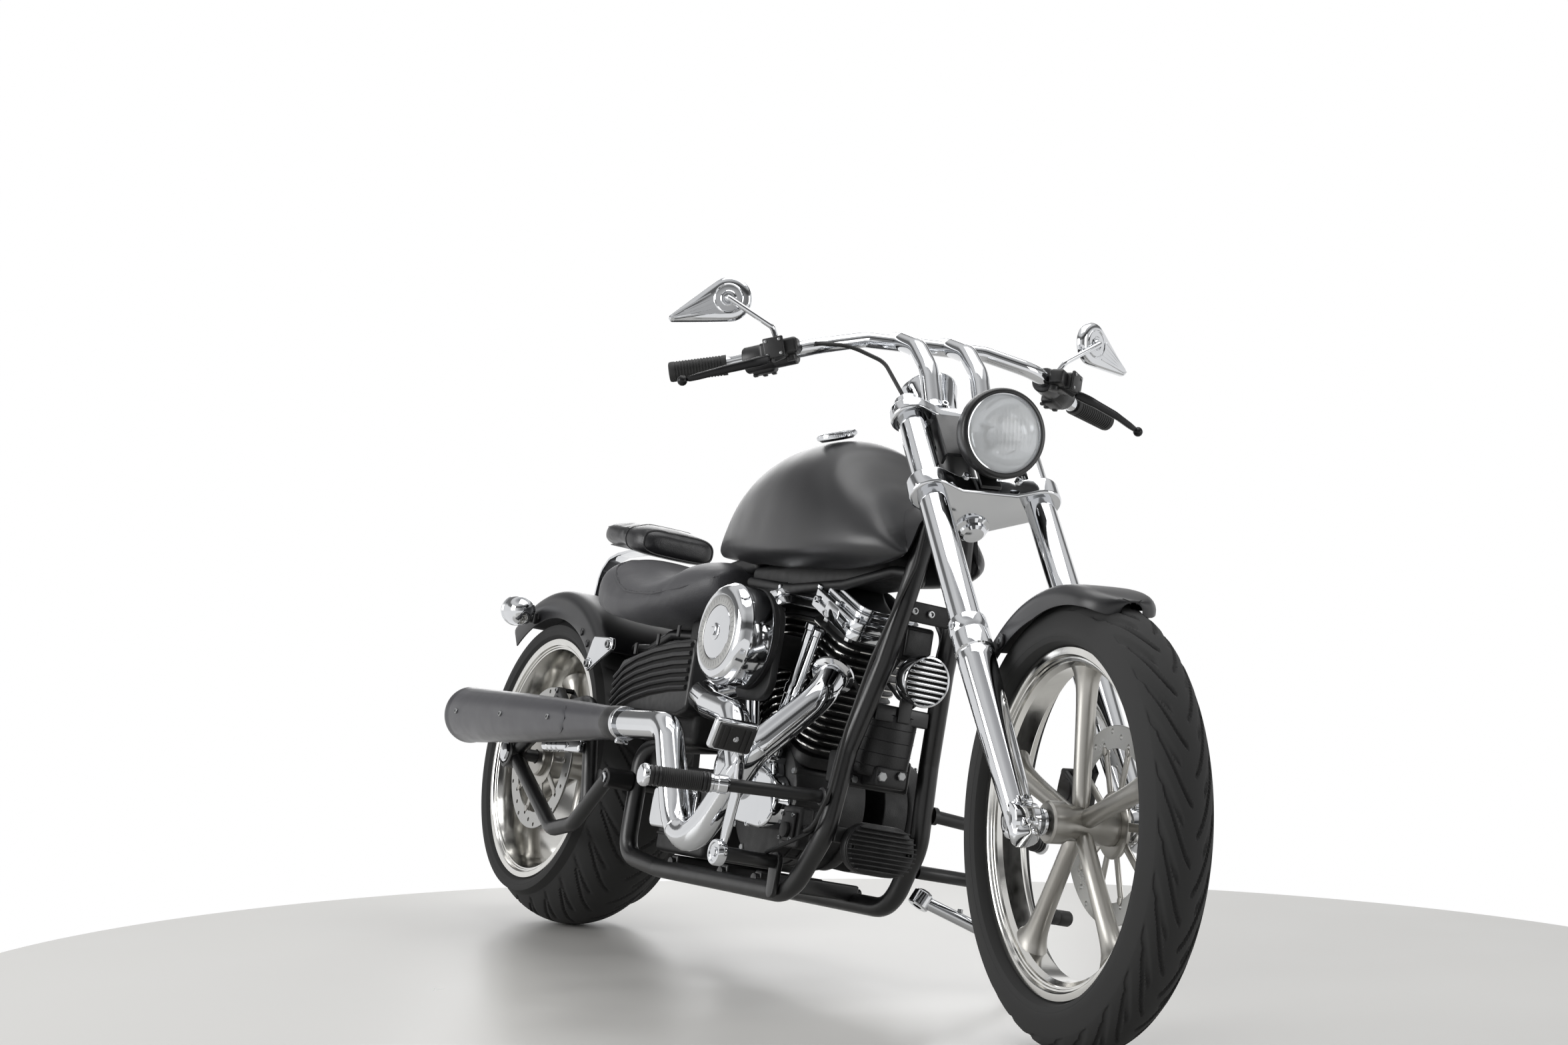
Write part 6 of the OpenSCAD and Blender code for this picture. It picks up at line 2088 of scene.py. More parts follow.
@dataclass
class AirCleanerMaker:
    """The domed air cleaner on its backplate."""

    centre: Vector = field(default_factory=lambda: Vector((910, -144, 570)))

    def build(self) -> None:
        """Builds the dome, its ring, bolt and backplate."""
        out = self.centre + Vector((0, -1, 0))
        dome = lathe("dome", [(60, 0), (83, 6), (87, 11), (88, 14), (88, 44), (87.4, 49), (89.4, 50),
                              (89.4, 52.5), (87, 55), (84.6, 63), (80, 69.4), (74, 72.6), (67, 74.2),
                              (66, 73.4), (47, 73.4), (46, 74.6), (38, 75.6), (20, 76.8), (0, 77.2)],
                     self.centre, out, 128)
        place(dome, Paint.CHROME, Body.CHASSIS, ["air_cleaner"], angle=28)
        ring = lathe("ring", [(48, 73.5), (65, 73.5), (65, 74.4), (64, 74.9), (49, 74.9), (48, 74.4)],
                     self.centre, out, 96)
        ticks = []
        home = toward(self.centre, out)
        for t in polar(40):
            tick = block("ring_notch", (56.5, 0, 74.95), (8, 1.3, 0.5), 0.2)
            tick.data.transform(home @ Matrix.Rotation(t, 4, "Z"))
            ticks.append(tick)
        place(joined("cleaner_ring", [ring]), Paint.STEEL, Body.CHASSIS)
        place(joined("cleaner_notches", ticks), Paint.ZINC, Body.CHASSIS)
        bolt = [lathe("bolt_cup", [(0, 76.6), (15, 76.6), (15, 78), (13, 79), (0, 79)], self.centre, out,
                      40), hex_head("cleaner_bolt", self.centre + Vector((0, -78.6, 0)), (0, -1, 0), 8.5,
                                    5)]
        for x, z in ((-62, 52), (62, 52), (0, -84)):
            bolt.append(rod("clip", self.centre + Vector((x, -20, z)), self.centre + Vector((x, -52, z)), 7,
                            sides=20))
        place(joined("cleaner_bolt", bolt), Paint.CHROME, Body.CHASSIS)
        outline = [(924 + x, 550 + z) for x, z in rounded_box(65, 85, 40, 8)]
        plate = side_plate("plate", outline, -129, -143.5, 3)
        throat = lathe("intake", [(0, -20), (30, -20), (30, 100), (0, 100)], Vector((910, -129, 560)),
                       Vector((910, -128, 560)), 40)
        rim = lathe("back_ring", [(60, -2), (86, -2), (88, 0), (88, 8), (84, 10), (60, 10)], self.centre,
                    out, 96)
        place(joined("cleaner_backplate", [plate, throat, rim]), Paint.CRINKLE, Body.CHASSIS)


MUFFLER_BACK = Vector((-101, -235, 387))
MUFFLER_FRONT = Vector((600, -235, 397))


@dataclass
class ExhaustMaker:
    """Both header pipes and the shotgun muffler."""

    def build(self) -> None:
        """Builds the pipes and the muffler."""
        self.pipes()
        self.muffler()

    def pipes(self) -> None:
        """Chrome pipes with flanges, welds and clamps."""
        slope = (MUFFLER_FRONT - MUFFLER_BACK).normalized()
        bend_in, pipe_end = (MUFFLER_BACK + slope * ((x - MUFFLER_BACK.x) / slope.x) for x in (822, 590))
        front = rounded_route([(1090, -79, 524), (1122, -118, 478), (1096, -210, 374), (952, -236, 168),
                               tuple(bend_in), tuple(pipe_end)], [60, 70, 78, 46], 14)
        rear = rounded_route([(786, -80.5, 500), (752, -152, 468), (868, -184, 447), (1010, -208, 430),
                              (1078, -217, 338)], [34, 60, 50], 12)
        pieces = [tube("front_pipe", front, 26, sides=44), tube("rear_pipe", rear, 25, sides=40)]
        for a, b, r in ((front[0], front[1], 26), (rear[0], rear[1], 25)):
            way = (b - a).normalized()
            pieces.append(lathe("flange", [(r - 2, 0), (r + 11, 0), (r + 11, 5), (r + 6, 7), (r + 1, 9),
                                           (r - 2, 9)], a, a + way, 48))
        for i in (len(front) // 3, 2 * len(front) // 3):
            a, way = front[i], (front[i + 1] - front[i]).normalized()
            pieces.append(lathe("weld", [(25, -2.2), (26.7, -1.2), (27, 0), (26.7, 1.2), (25, 2.2)], a,
                                a + way, 48))
        end = pipe_end + slope * 52
        pieces.append(lathe("clamp", [(25.4, -9), (30.4, -9), (31, -8), (31, 8), (30.4, 9), (25.4, 9)], end,
                            end + slope, 56))
        nut = end + Vector((0, 0, -33))
        pieces.append(rod("clamp_bolt", nut + Vector((0, -12, 0)), nut + Vector((0, 12, 0)), 4.5, sides=20))
        place(joined("header_pipes", pieces), Paint.CHROME, Body.CHASSIS, ["exhaust_pipes"], angle=45)

    def muffler(self) -> None:
        """A dark tapered muffler with a cover plate, rivets, a flared lip and its collar."""
        back, front = MUFFLER_BACK, MUFFLER_FRONT
        long = (front - back).length
        shell = lathe("muffler_shell", [(46, 4), (50, 0.8), (54, 0), (56.6, 2), (57.4, 6), (56.4, 12),
                                        (55.2, 20), (54.6, 60), (52.4, long * 0.2), (48, long * 0.42),
                                        (42, long * 0.63), (34, long * 0.88), (31, long * 0.96), (30, long),
                                        (30, long + 6)], back, front, 112)
        inner = lathe("muffler_throat", [(46.6, 3), (46, 12), (46, 139), (40, 141), (20, 143), (0, 143)],
                      back, front, 80)
        place(shell, Paint.CERAMIC, Body.CHASSIS, ["muffler"], angle=50)
        place(inner, Paint.SOOT_AND_SHADE, Body.CHASSIS)
        collar = lathe("collar", [(26.5, long - 8), (30.6, long - 6), (31.6, long), (31.6, long + 36),
                                  (30.6, long + 38), (26.6, long + 38)], back, front, 72)
        place(collar, Paint.PLASTIC, Body.CHASSIS)
        home = toward(back, front)
        # The cover plate lies on the shell's outer side, its front end rounded
        rows, cols = 40, 15
        points = []

        def radius(h: float) -> float:
            """Returns the shell's radius at height h."""
            marks = ((20, 55.2), (60, 54.6), (long * 0.2, 52.4), (long * 0.42, 48), (long * 0.63, 42),
                     (long * 0.88, 34))
            for (h0, r0), (h1, r1) in zip(marks, marks[1:]):
                if h <= h1:
                    return r0 + (r1 - r0) * (h - h0) / (h1 - h0)
            return marks[-1][1]

        spread = home.inverted().to_3x3() @ Vector((0, -1, 0))
        face_at = math.atan2(spread.y, spread.x)
        end = long * 0.80
        for i in range(rows + 1):
            h = 26 + (end - 26) * i / rows
            tail = max(0.0, (h - (end - 60)) / 60)
            wide = math.radians(52) * math.sqrt(max(0.0, 1 - tail * tail))
            for j in range(cols + 1):
                a = face_at + wide * (2 * j / cols - 1)
                r = radius(h) + 1.5
                points.append(home @ Vector((r * math.cos(a), r * math.sin(a), h)))
        faces = [(i * (cols + 1) + j, i * (cols + 1) + j + 1, (i + 1) * (cols + 1) + j + 1,
                  (i + 1) * (cols + 1) + j) for i in range(rows) for j in range(cols)]
        cover = new_mesh("muffler_cover", points, faces=faces)
        edit(cover, tidy_normals)
        apply_modifier(cover, "SOLIDIFY", thickness=1.6, offset=-1.0)
        place(cover, Paint.CERAMIC, Body.CHASSIS, angle=50)
        bolts = []
        for h in (64, long * 0.40, long * 0.70):
            r = radius(h) + 1.2
            spot = home @ Vector((r * math.cos(face_at), r * math.sin(face_at), h))
            bolts.append(socket_head("cover_bolt", spot, (0, -1, 0.0), 5.5, 3.2))
        place(joined("muffler_bolts", bolts), Paint.ZINC, Body.CHASSIS)


@dataclass
class OilTankMaker:
    """The black side tank with its raised ribs."""

    def build(self) -> None:
        """Builds the tank and its ribs on both sides, with near-black panels of painted shade between the
        ribs.
        """
        outline = [(352, 432), (352, 500), (376, 528), (560, 566), (662, 572), (676, 545), (676, 440),
                   (640, 428)]
        rounded = rounded_route([(x, 0, z) for x, z in outline] + [(352, 0, 432)], [20] * 7, 5)
        body = side_plate("oil_tank", [(p.x, p.z) for p in rounded[:-1]], -137, 137, 7, 4)
        pieces = [body]
        top = [(358, 492), (396, 517), (450, 534), (520, 547), (600, 556), (666, 559)]
        shade_panels = []
        for sign in (-1, 1):
            for i in range(6):
                drop = i * 15.6
                line = rounded_route([(x, sign * 138.0, z - drop) for x, z in top], [60, 90, 120, 120], 6)
                pieces.append(tube("rib", line, 5.0, sides=14))
            # The near-black panels under the ribs are painted shade for the gaps between them.
            panel = [(x, z + 7) for x, z in top] + [(x, z - 85) for x, z in reversed(top)]
            shade_panels.append(side_plate("well", panel, sign * 137.0, sign * 137.5, 0.2))
        place(joined("oil_tank_shade_panels", shade_panels), Paint.SOOT_AND_SHADE, Body.CHASSIS)
        for x in (430, 520, 600):
            for sign in (-1, 1):
                pieces.append(block("clip", (x, sign * 138, 538 + (x - 376) * 0.206), (9, 5, 22), 1.6))
        place(joined("oil_tank_body", pieces), Paint.PLASTIC, Body.CHASSIS, ["oil_tank"], angle=40)


# ---------- frame, controls and running gear ----------
@dataclass
class FrameMaker:
    """The tubular frame and the swing arm."""

    def build(self) -> None:
        """Builds both."""
        self.frame()
        self.front_mounts()
        self.swingarm()

    def frame(self) -> None:
        """Tubes, neck, cross members and the seat rails."""
        down = [(1244, 20, 862), (1247, 36, 770), (1236, 50, 655), (1214, 58, 550), (1177, 80, 400),
                (1168, 90, 262), (1095, 98, 152), (600, 98, 152), (465, 104, 165), (465, 104, 372),
                (590, 8, 392)]
        left = tube("down_tube", rounded_route(down, [60, 60, 60, 60, 90, 90, 60, 50, 50], 12), 17,
                    sides=32)
        rail = tube("seat_rail", rounded_route([(262, 60, 559.9), (335, 60, 559.8), (400, 50, 592),
                                                (560, 36, 590), (604, 0, 590)], [40] * 3, 8), 10, sides=24)
        gusset = side_plate("gusset", [(465, 340), (465, 300), (500, 300), (520, 330), (505, 372)], 92, 98,
                            2)
        pieces = [left, rail, gusset, mirrored(left), mirrored(rail), mirrored(gusset)]
        pieces.append(tube("backbone", rounded_route([(1285, 0, 832), (1180, 0, 794), (725, 0, 752),
                                                      (600, 0, 600), (585, 0, 385)], [60, 60, 60], 10), 25,
                           sides=40))
        low, top = steer_point(817.5), steer_point(914.0)
        way = (top - low).normalized()
        long = (top - low).length
        pieces.append(lathe("neck", [(13, 0), (31, 0), (32, 2), (32, 10), (29.5, 13), (29.5, long - 13),
                                     (32, long - 10), (32, long - 2), (31, long), (13, long)], low,
                            low + way, 56))
        for x, half, z in ((1194, 52, 470), (1168, 78, 262)):
            pieces.append(block("cross_member", (x, 0, z), (15.6, 2 * half, 27.6), 3))
        for x in (655, 850, 975):
            pieces.append(block("engine_bar", (x, 0, 166.6), (24, 196, 29), 4))
        for sign in (-1, 1):
            for x in (655, 850, 975):
                pieces.append(rod("bar_tab", (x, sign * 96, 166), (x, sign * 106, 166), 10, sides=24))
        place(joined("frame_tubes", pieces), Paint.POWDER, Body.CHASSIS, ["frame"], angle=42)

    def front_mounts(self) -> None:
        """The dark brackets, canister and hoses that fill the front of the frame."""
        pieces, bolts = [], []
        pieces.append(lathe("oil_canister", [(0, -62), (46, -62), (50, -58), (51, -50), (51, 40), (48, 46),
                                             (40, 50), (20, 52), (0, 52)], Vector((1150, 0, 430)),
                            Vector((1156, 0, 480)), 56))
        for y in (-44, -22, 0, 22, 44):
            pieces.append(lathe("canister_rib", [(50, y - 1.2), (52, y), (50, y + 1.2)],
                                Vector((1150, 0, 430)), Vector((1156, 0, 480)), 56))
        pieces.append(block("mount_plate", (1120, 0, 372), (60, 130, 56), 6))
        pieces.append(block("mount_arm", (1172, 0, 366), (54, 60, 34), 6))
        pieces.append(block("pump_box", (1060, -86, 262), (64, 26, 70), 6, segments=4))
        pieces.append(block("pump_lid", (1060, -101, 262), (44, 8, 50), 3))
        pieces.append(rod("pump_cap", (1062, -104, 256), (1062, -112, 256), 13, sides=32))
        pieces.append(block("neck_plate", (1236, -2, 640), (8, 112, 34), 3, Matrix.Rotation(0.1, 4, "Y")))
        pieces.append(block("coil_box", (1196, 0, 590), (30, 62, 60), 6))
        pieces.append(block("coil_lid", (1214, 0, 590), (8, 50, 46), 3))
        for y, z in ((-34, 560), (34, 560)):
            pieces.append(tube("coil_lead", rounded_route([(1196, y * 0.6, z), (1190, y * 1.3, z - 46),
                                                           (1120, y * 1.2, z - 60), (1060, y, z - 20)],
                                                          [30, 40], 8), 3.6, sides=14))
        pieces.append(tube("breather_hose", rounded_route([(1150, 30, 480), (1190, 52, 520),
                                                           (1200, 56, 610), (1170, 40, 660)], [30, 40], 8),
                           6, sides=16))
        pieces.append(tube("brake_hose", rounded_route([(1073, -142, 214), (1120, -130, 236),
                                                        (1150, -100, 262), (1120, -84, 290)], [30, 30], 8),
                           4.0, sides=14))
        pieces.append(block("wiring_tray", (905, 0, 706), (470, 92, 56), 14,
                            Matrix.Rotation(-0.05, 4, "Y")))
        pieces.append(block("tail_tray", (600, 0, 722), (150, 84, 34), 10, Matrix.Rotation(-0.16, 4, "Y")))
        pieces.append(block("battery_cover", (560, 0, 560), (90, 150, 120), 12))
        pieces.append(block("starter", (600, -30, 420), (120, 150, 80), 14))
        pieces.append(tube("loom", rounded_route([(700, -58, 690), (860, -60, 676), (1040, -56, 682),
                                                  (1180, -46, 706), (1236, -40, 700)], [60, 60, 60], 8), 9,
                           sides=20))
        for y in (-34, -2):
            bolts.append(socket_head("neck_bolt", (1241, y, 640), (1, 0, 0.1), 6.5, 5))
        for y, z in ((-44, 356), (-44, 388), (44, 356), (44, 388)):
            bolts.append(hex_head("mount_bolt", (1150.5, y, z), (1, 0, 0), 7, 5))
        bolts.append(hex_head("banjo", (1200, -22, 366), (1, 0, 0), 9, 7))
        bolts.append(hex_head("banjo", (1200, 14, 372), (1, 0, 0), 8, 7))
        for x, z in ((1042, 242), (1078, 282), (1042, 282), (1078, 242)):
            bolts.append(socket_head("pump_screw", (x, -104.6, z), (0, -1, 0), 3.6, 3))
        place(joined("front_mounts", pieces), Paint.CRINKLE, Body.CHASSIS, angle=42)
        place(joined("front_bolts", bolts), Paint.ZINC, Body.CHASSIS)

    def swingarm(self) -> None:
        """Both arms, the axle boss with its nut, and the linkage."""
        pieces = []
        for sign in (-1, 1):
            y = sign * 166
            low = rounded_route([(0, y, REAR_AXLE.z), (250, y, 188), (345, y, 205), (465, y, 300)],
                                [50, 50], 12)
            high = rounded_route([(0, y, REAR_AXLE.z), (190, y, 418), (335, y, 440), (395, y, 250)],
                                 [40, 40], 12)
            pieces += [tube("arm", low, 15, sides=32), tube("arm", high, 15, sides=32)]
            hub, out = Vector((0, y, REAR_AXLE.z)), Vector((0, sign, 0))
            pieces.append(lathe("axle_boss", [(13, -14), (31, -14), (31, 18), (29, 20), (25, 20), (24, 18),
                                              (22, 18), (21, 20), (13, 20)], hub, hub + out, 64))
            eye = Vector((465, y, 300))
            pieces.append(lathe("pivot_boss", [(0, -44), (19, -44), (19, 6), (17, 8), (12, 8), (11, 6),
                                               (0, 6)], eye, eye + out, 48))
        pieces.append(rod("cross_tube", (418, -164, 300), (418, 164, 300), 15))
        pieces.append(rod("axle", (0, -152, REAR_AXLE.z), (0, 152, REAR_AXLE.z), 12.5))
        place(joined("swing_arm", pieces), Paint.POWDER, Body.CHASSIS, ["swingarm"], angle=40)
        chrome = []
        for sign in (-1, 1):
            hub, out = Vector((0, sign * 185.4, REAR_AXLE.z)), Vector((0, sign, 0))
            chrome.append(hex_head("axle_nut", hub, out, 18, 6, 21))
            chrome.append(hex_head("pivot_nut", (465, sign * 174, 300), out, 11, 4))
        place(joined("axle_nuts", chrome), Paint.CHROME, Body.CHASSIS)


@dataclass
class FenderMaker:
    """Both fenders and their brackets, and the indicators."""

    def build(self) -> None:
        """Builds them."""
        self.rear()
        self.front()
        self.brackets()
        self.indicators()

    def sheet(self, name: str, axle: Vector, span: tuple[float, float], inner: float, half: float,
              corner: float, skirt: float, thick: float, tip: float = 0.0) -> bpy.types.Object:
        """A fender pressed from sheet: a crown, rounded shoulders and skirts with rolled edges.

        Args:
            name: The piece's name.
            axle: The wheel's axle.
            span: Its start and end angles, in degrees.
            inner: Inner radius.
            half: Half its width inside.
            corner: Radius of its shoulders.
            skirt: How far its skirts hang.
            thick: Sheet thickness.
            tip: Degrees over which its front end is rounded off and its skirts fade in, or 0.

        Returns:
            The fender.
        """
        def section(share: float, wide: float) -> list[tuple[float, float]]:
            """Returns the closed section with a share of its skirt and of its width."""
            w, c, drop = half * wide, min(corner, half * wide * 0.9), max(corner + 1.5, skirt * share)
            one = [(-w, inner - drop), (-w, inner - c - (drop - c) * 0.5), (-w, inner - c)]
            one += [(-w + c - c * math.cos(t), inner - c + c * math.sin(t)) for t in (0.26, 0.52, 0.79,
                                                                                      1.05, 1.31)]
            one += [(-w + c, inner), (-w * 0.4, inner + 0.6), (0, inner + 0.8)]
            one += [(-y, r) for y, r in reversed(one[:-1])]
            outer = []
            for i, (y, r) in enumerate(one):
                a, b = one[max(0, i - 1)], one[min(len(one) - 1, i + 1)]
                way = Vector((b[0] - a[0], b[1] - a[1])).normalized()
                outer.append((y - way.y * (thick - 0.4), r + way.x * (thick - 0.4)))
            return one + outer[::-1]

        rings = []
        steps = 60
        for i in range(steps + 1):
            a = span[0] + (span[1] - span[0]) * i / steps
            near = min(1.0, (a - span[0]) / tip) if tip else 1.0
            wide = 0.3 + 0.7 * math.sqrt(max(0.0, 1 - (1 - near) ** 2))
            share = min(1.0, 0.45 + 0.55 * (a - span[0]) / (3.4 * tip)) if tip else 1.0
            rings.append([wheel_point(axle, a, r, y) for y, r in section(share, wide)])
        skin = loft(name, rings, levels=0)
        apply_modifier(skin, "BEVEL", width=0.9, segments=2, limit_method="ANGLE",
                       angle_limit=math.radians(50))
        return skin

    def rear(self) -> None:
        """The wide rear fender."""
        skin = self.sheet("rear_mudguard", REAR_AXLE, (40, 128), 341.8, 126.3, 22, 57, 3.8)
        place(skin, Paint.DENIM, Body.CHASSIS, ["rear_fender"], angle=40)
        bolts = []
        for sign in (-1, 1):
            for a in (52, 60):
                spot = wheel_point(REAR_AXLE, a, 296, sign * 130)
                bolts.append(lathe("button", [(0, 0), (8, 0), (7, 2.6), (4, 3.8), (0, 4.1)], spot,
                                   spot + Vector((0, sign, 0)), 28))
        place(joined("fender_buttons", bolts), Paint.DENIM, Body.CHASSIS)

    def front(self) -> None:
        """The narrow front fender with its mounting pads and bolts."""
        skin = self.sheet("front_mudguard", FRONT_AXLE, (68, 134), 342.2, 57, 20, 40, 3.6, 10.5)
        bolts = []
        pads = []
        for sign in (-1, 1):
            for a in (123, 131):
                spot = wheel_point(FRONT_AXLE, a, 313, sign * 60.6)
                pads.append(rod("pad", spot, wheel_point(FRONT_AXLE, a, 313, sign * 65), 11, sides=28))
                bolts.append(socket_head("fender_bolt", spot + Vector((0, sign * 0.4, 0)), (0, sign, 0), 6,
                                         4.4))
        place(joined("front_mudguard", [skin] + pads), Paint.DENIM, Body.STEERING, ["front_fender"],
              angle=40)
        place(joined("front_fender_bolts", bolts), Paint.ZINC, Body.STEERING)

    def brackets(self) -> None:
        """Chrome brackets with socket bolts, and the pillion rail."""
        pieces, bolts = [], []
        for sign in (-1, 1):
            y0, y1 = sign * 130.6, sign * 139
            outline = [(316, 568), (301, 570), (232, 572), (225, 564), (208, 520), (210, 508), (220, 502),
                       (232, 506), (318, 546), (321, 556)]
            loop = rounded_route([(x, 0, z) for x, z in outline] + [(316, 0, 568)], [6] * 9, 4)
            pieces.append(side_plate("bracket", [(p.x, p.z) for p in loop[:-1]], y0, y1, 2.6, 4))
            for x, z in ((306, 556), (222, 517)):
                spot = Vector((x, y1, z))
                out = Vector((0, sign, 0))
                pieces.append(lathe("washer", [(0, -1), (11.5, -1), (11.5, 1.2), (10.5, 2), (0, 2)], spot,
                                    spot + out, 36))
                bolts.append(socket_head("bracket_bolt", spot + out * 1.5, out, 8, 5))
        radius = 345.9
        low = [(165, 0, 763.4), (75, 0, 766.6), (0, 0, 762), (-40, 0, 753), (-67, 0, 731), (-76, 0, 712)]
        line = rounded_route([Vector(p) + Vector((0, 0, 3.4)) for p in low] + [wheel_point(REAR_AXLE, 104,
                                                                                           radius + 3.4, 0),
                                                                               wheel_point(REAR_AXLE, 110,
                                                                                           radius + 3.4,
                                                                                           0)],
                             [60, 60, 30, 24, 20, 8], 8)
        rings = []
        for i, p in enumerate(line):
            a, b = line[max(0, i - 1)], line[min(len(line) - 1, i + 1)]
            way = (b - a).normalized()
            up = Vector((0, 1, 0)).cross(way).normalized()
            half = 15 + (16 * max(0.0, (p.x - 20) / 145) if p.x > 20 else 0)
            rings.append([p + Vector((0, -half, 0)) + up * 3, p + Vector((0, half, 0)) + up * 3,
                          p + Vector((0, half, 0)) - up * 3, p + Vector((0, -half, 0)) - up * 3])
        rail = loft("pillion_rail", rings, levels=0)
        apply_modifier(rail, "BEVEL", width=1.2, segments=2, limit_method="ANGLE",
                       angle_limit=math.radians(40))
        pieces.append(rail)
        spot = wheel_point(REAR_AXLE, 106, radius + 6.6, 0)
        bolts.append(socket_head("rail_bolt", spot, spot - REAR_AXLE, 7, 4.4))
        place(joined("rear_brackets", pieces), Paint.CHROME, Body.CHASSIS, ["fender_brackets"], angle=38)
        place(joined("bracket_bolts", bolts), Paint.ZINC, Body.CHASSIS)

    def indicators(self) -> None:
        """Bullet indicators with amber lenses, on black stalks."""
        shells, lenses, stalks = [], [], []
        for sign in (-1, 1):
            y = sign * 165
            tail, nose = Vector((-138, y, 618)), Vector((-70, y, 618))
            way = (nose - tail).normalized()
            shells.append(lathe("bullet", [(27, 2), (30, 2), (30.8, 5), (31, 10), (31, 36), (30, 44),
                                           (27, 52), (22, 59), (16, 64), (9, 67), (0, 68)], tail,
                                tail + way, 64))
            lenses.append(lathe("amber", [(0, -1), (14, 0), (24, 2), (27.4, 5), (27.4, 9), (0, 9)], tail,
                                tail + way, 48))
            for h in (11, 17):
                shells.append(lathe("ring", [(30.4, h - 1.2), (31.4, h), (30.4, h + 1.2)], tail, tail + way,
                                    64))
            stalks.append(rod("stalk", (-84, sign * 130.6, 606), (-84, sign * 150, 606), 9.4, sides=32))
            stalks.append(block("stalk_clamp", (-84, sign * 141, 606), (26, 9, 24), 3))
            stalks.append(rod("stalk_arm", (-84, sign * 138, 606), (-84, sign * 158, 614), 7.4, sides=28))
            stalks.append(hex_head("stalk_nut", (-84, sign * 134, 606), (0, sign, 0), 12, 5))
        place(joined("indicator_shells", shells), Paint.CHROME, Body.CHASSIS, ["turn_signals"], angle=40)
        place(joined("indicator_lenses", lenses), Paint.AMBER, Body.CHASSIS, angle=40)
        place(joined("indicator_stalks", stalks), Paint.PLASTIC, Body.CHASSIS)


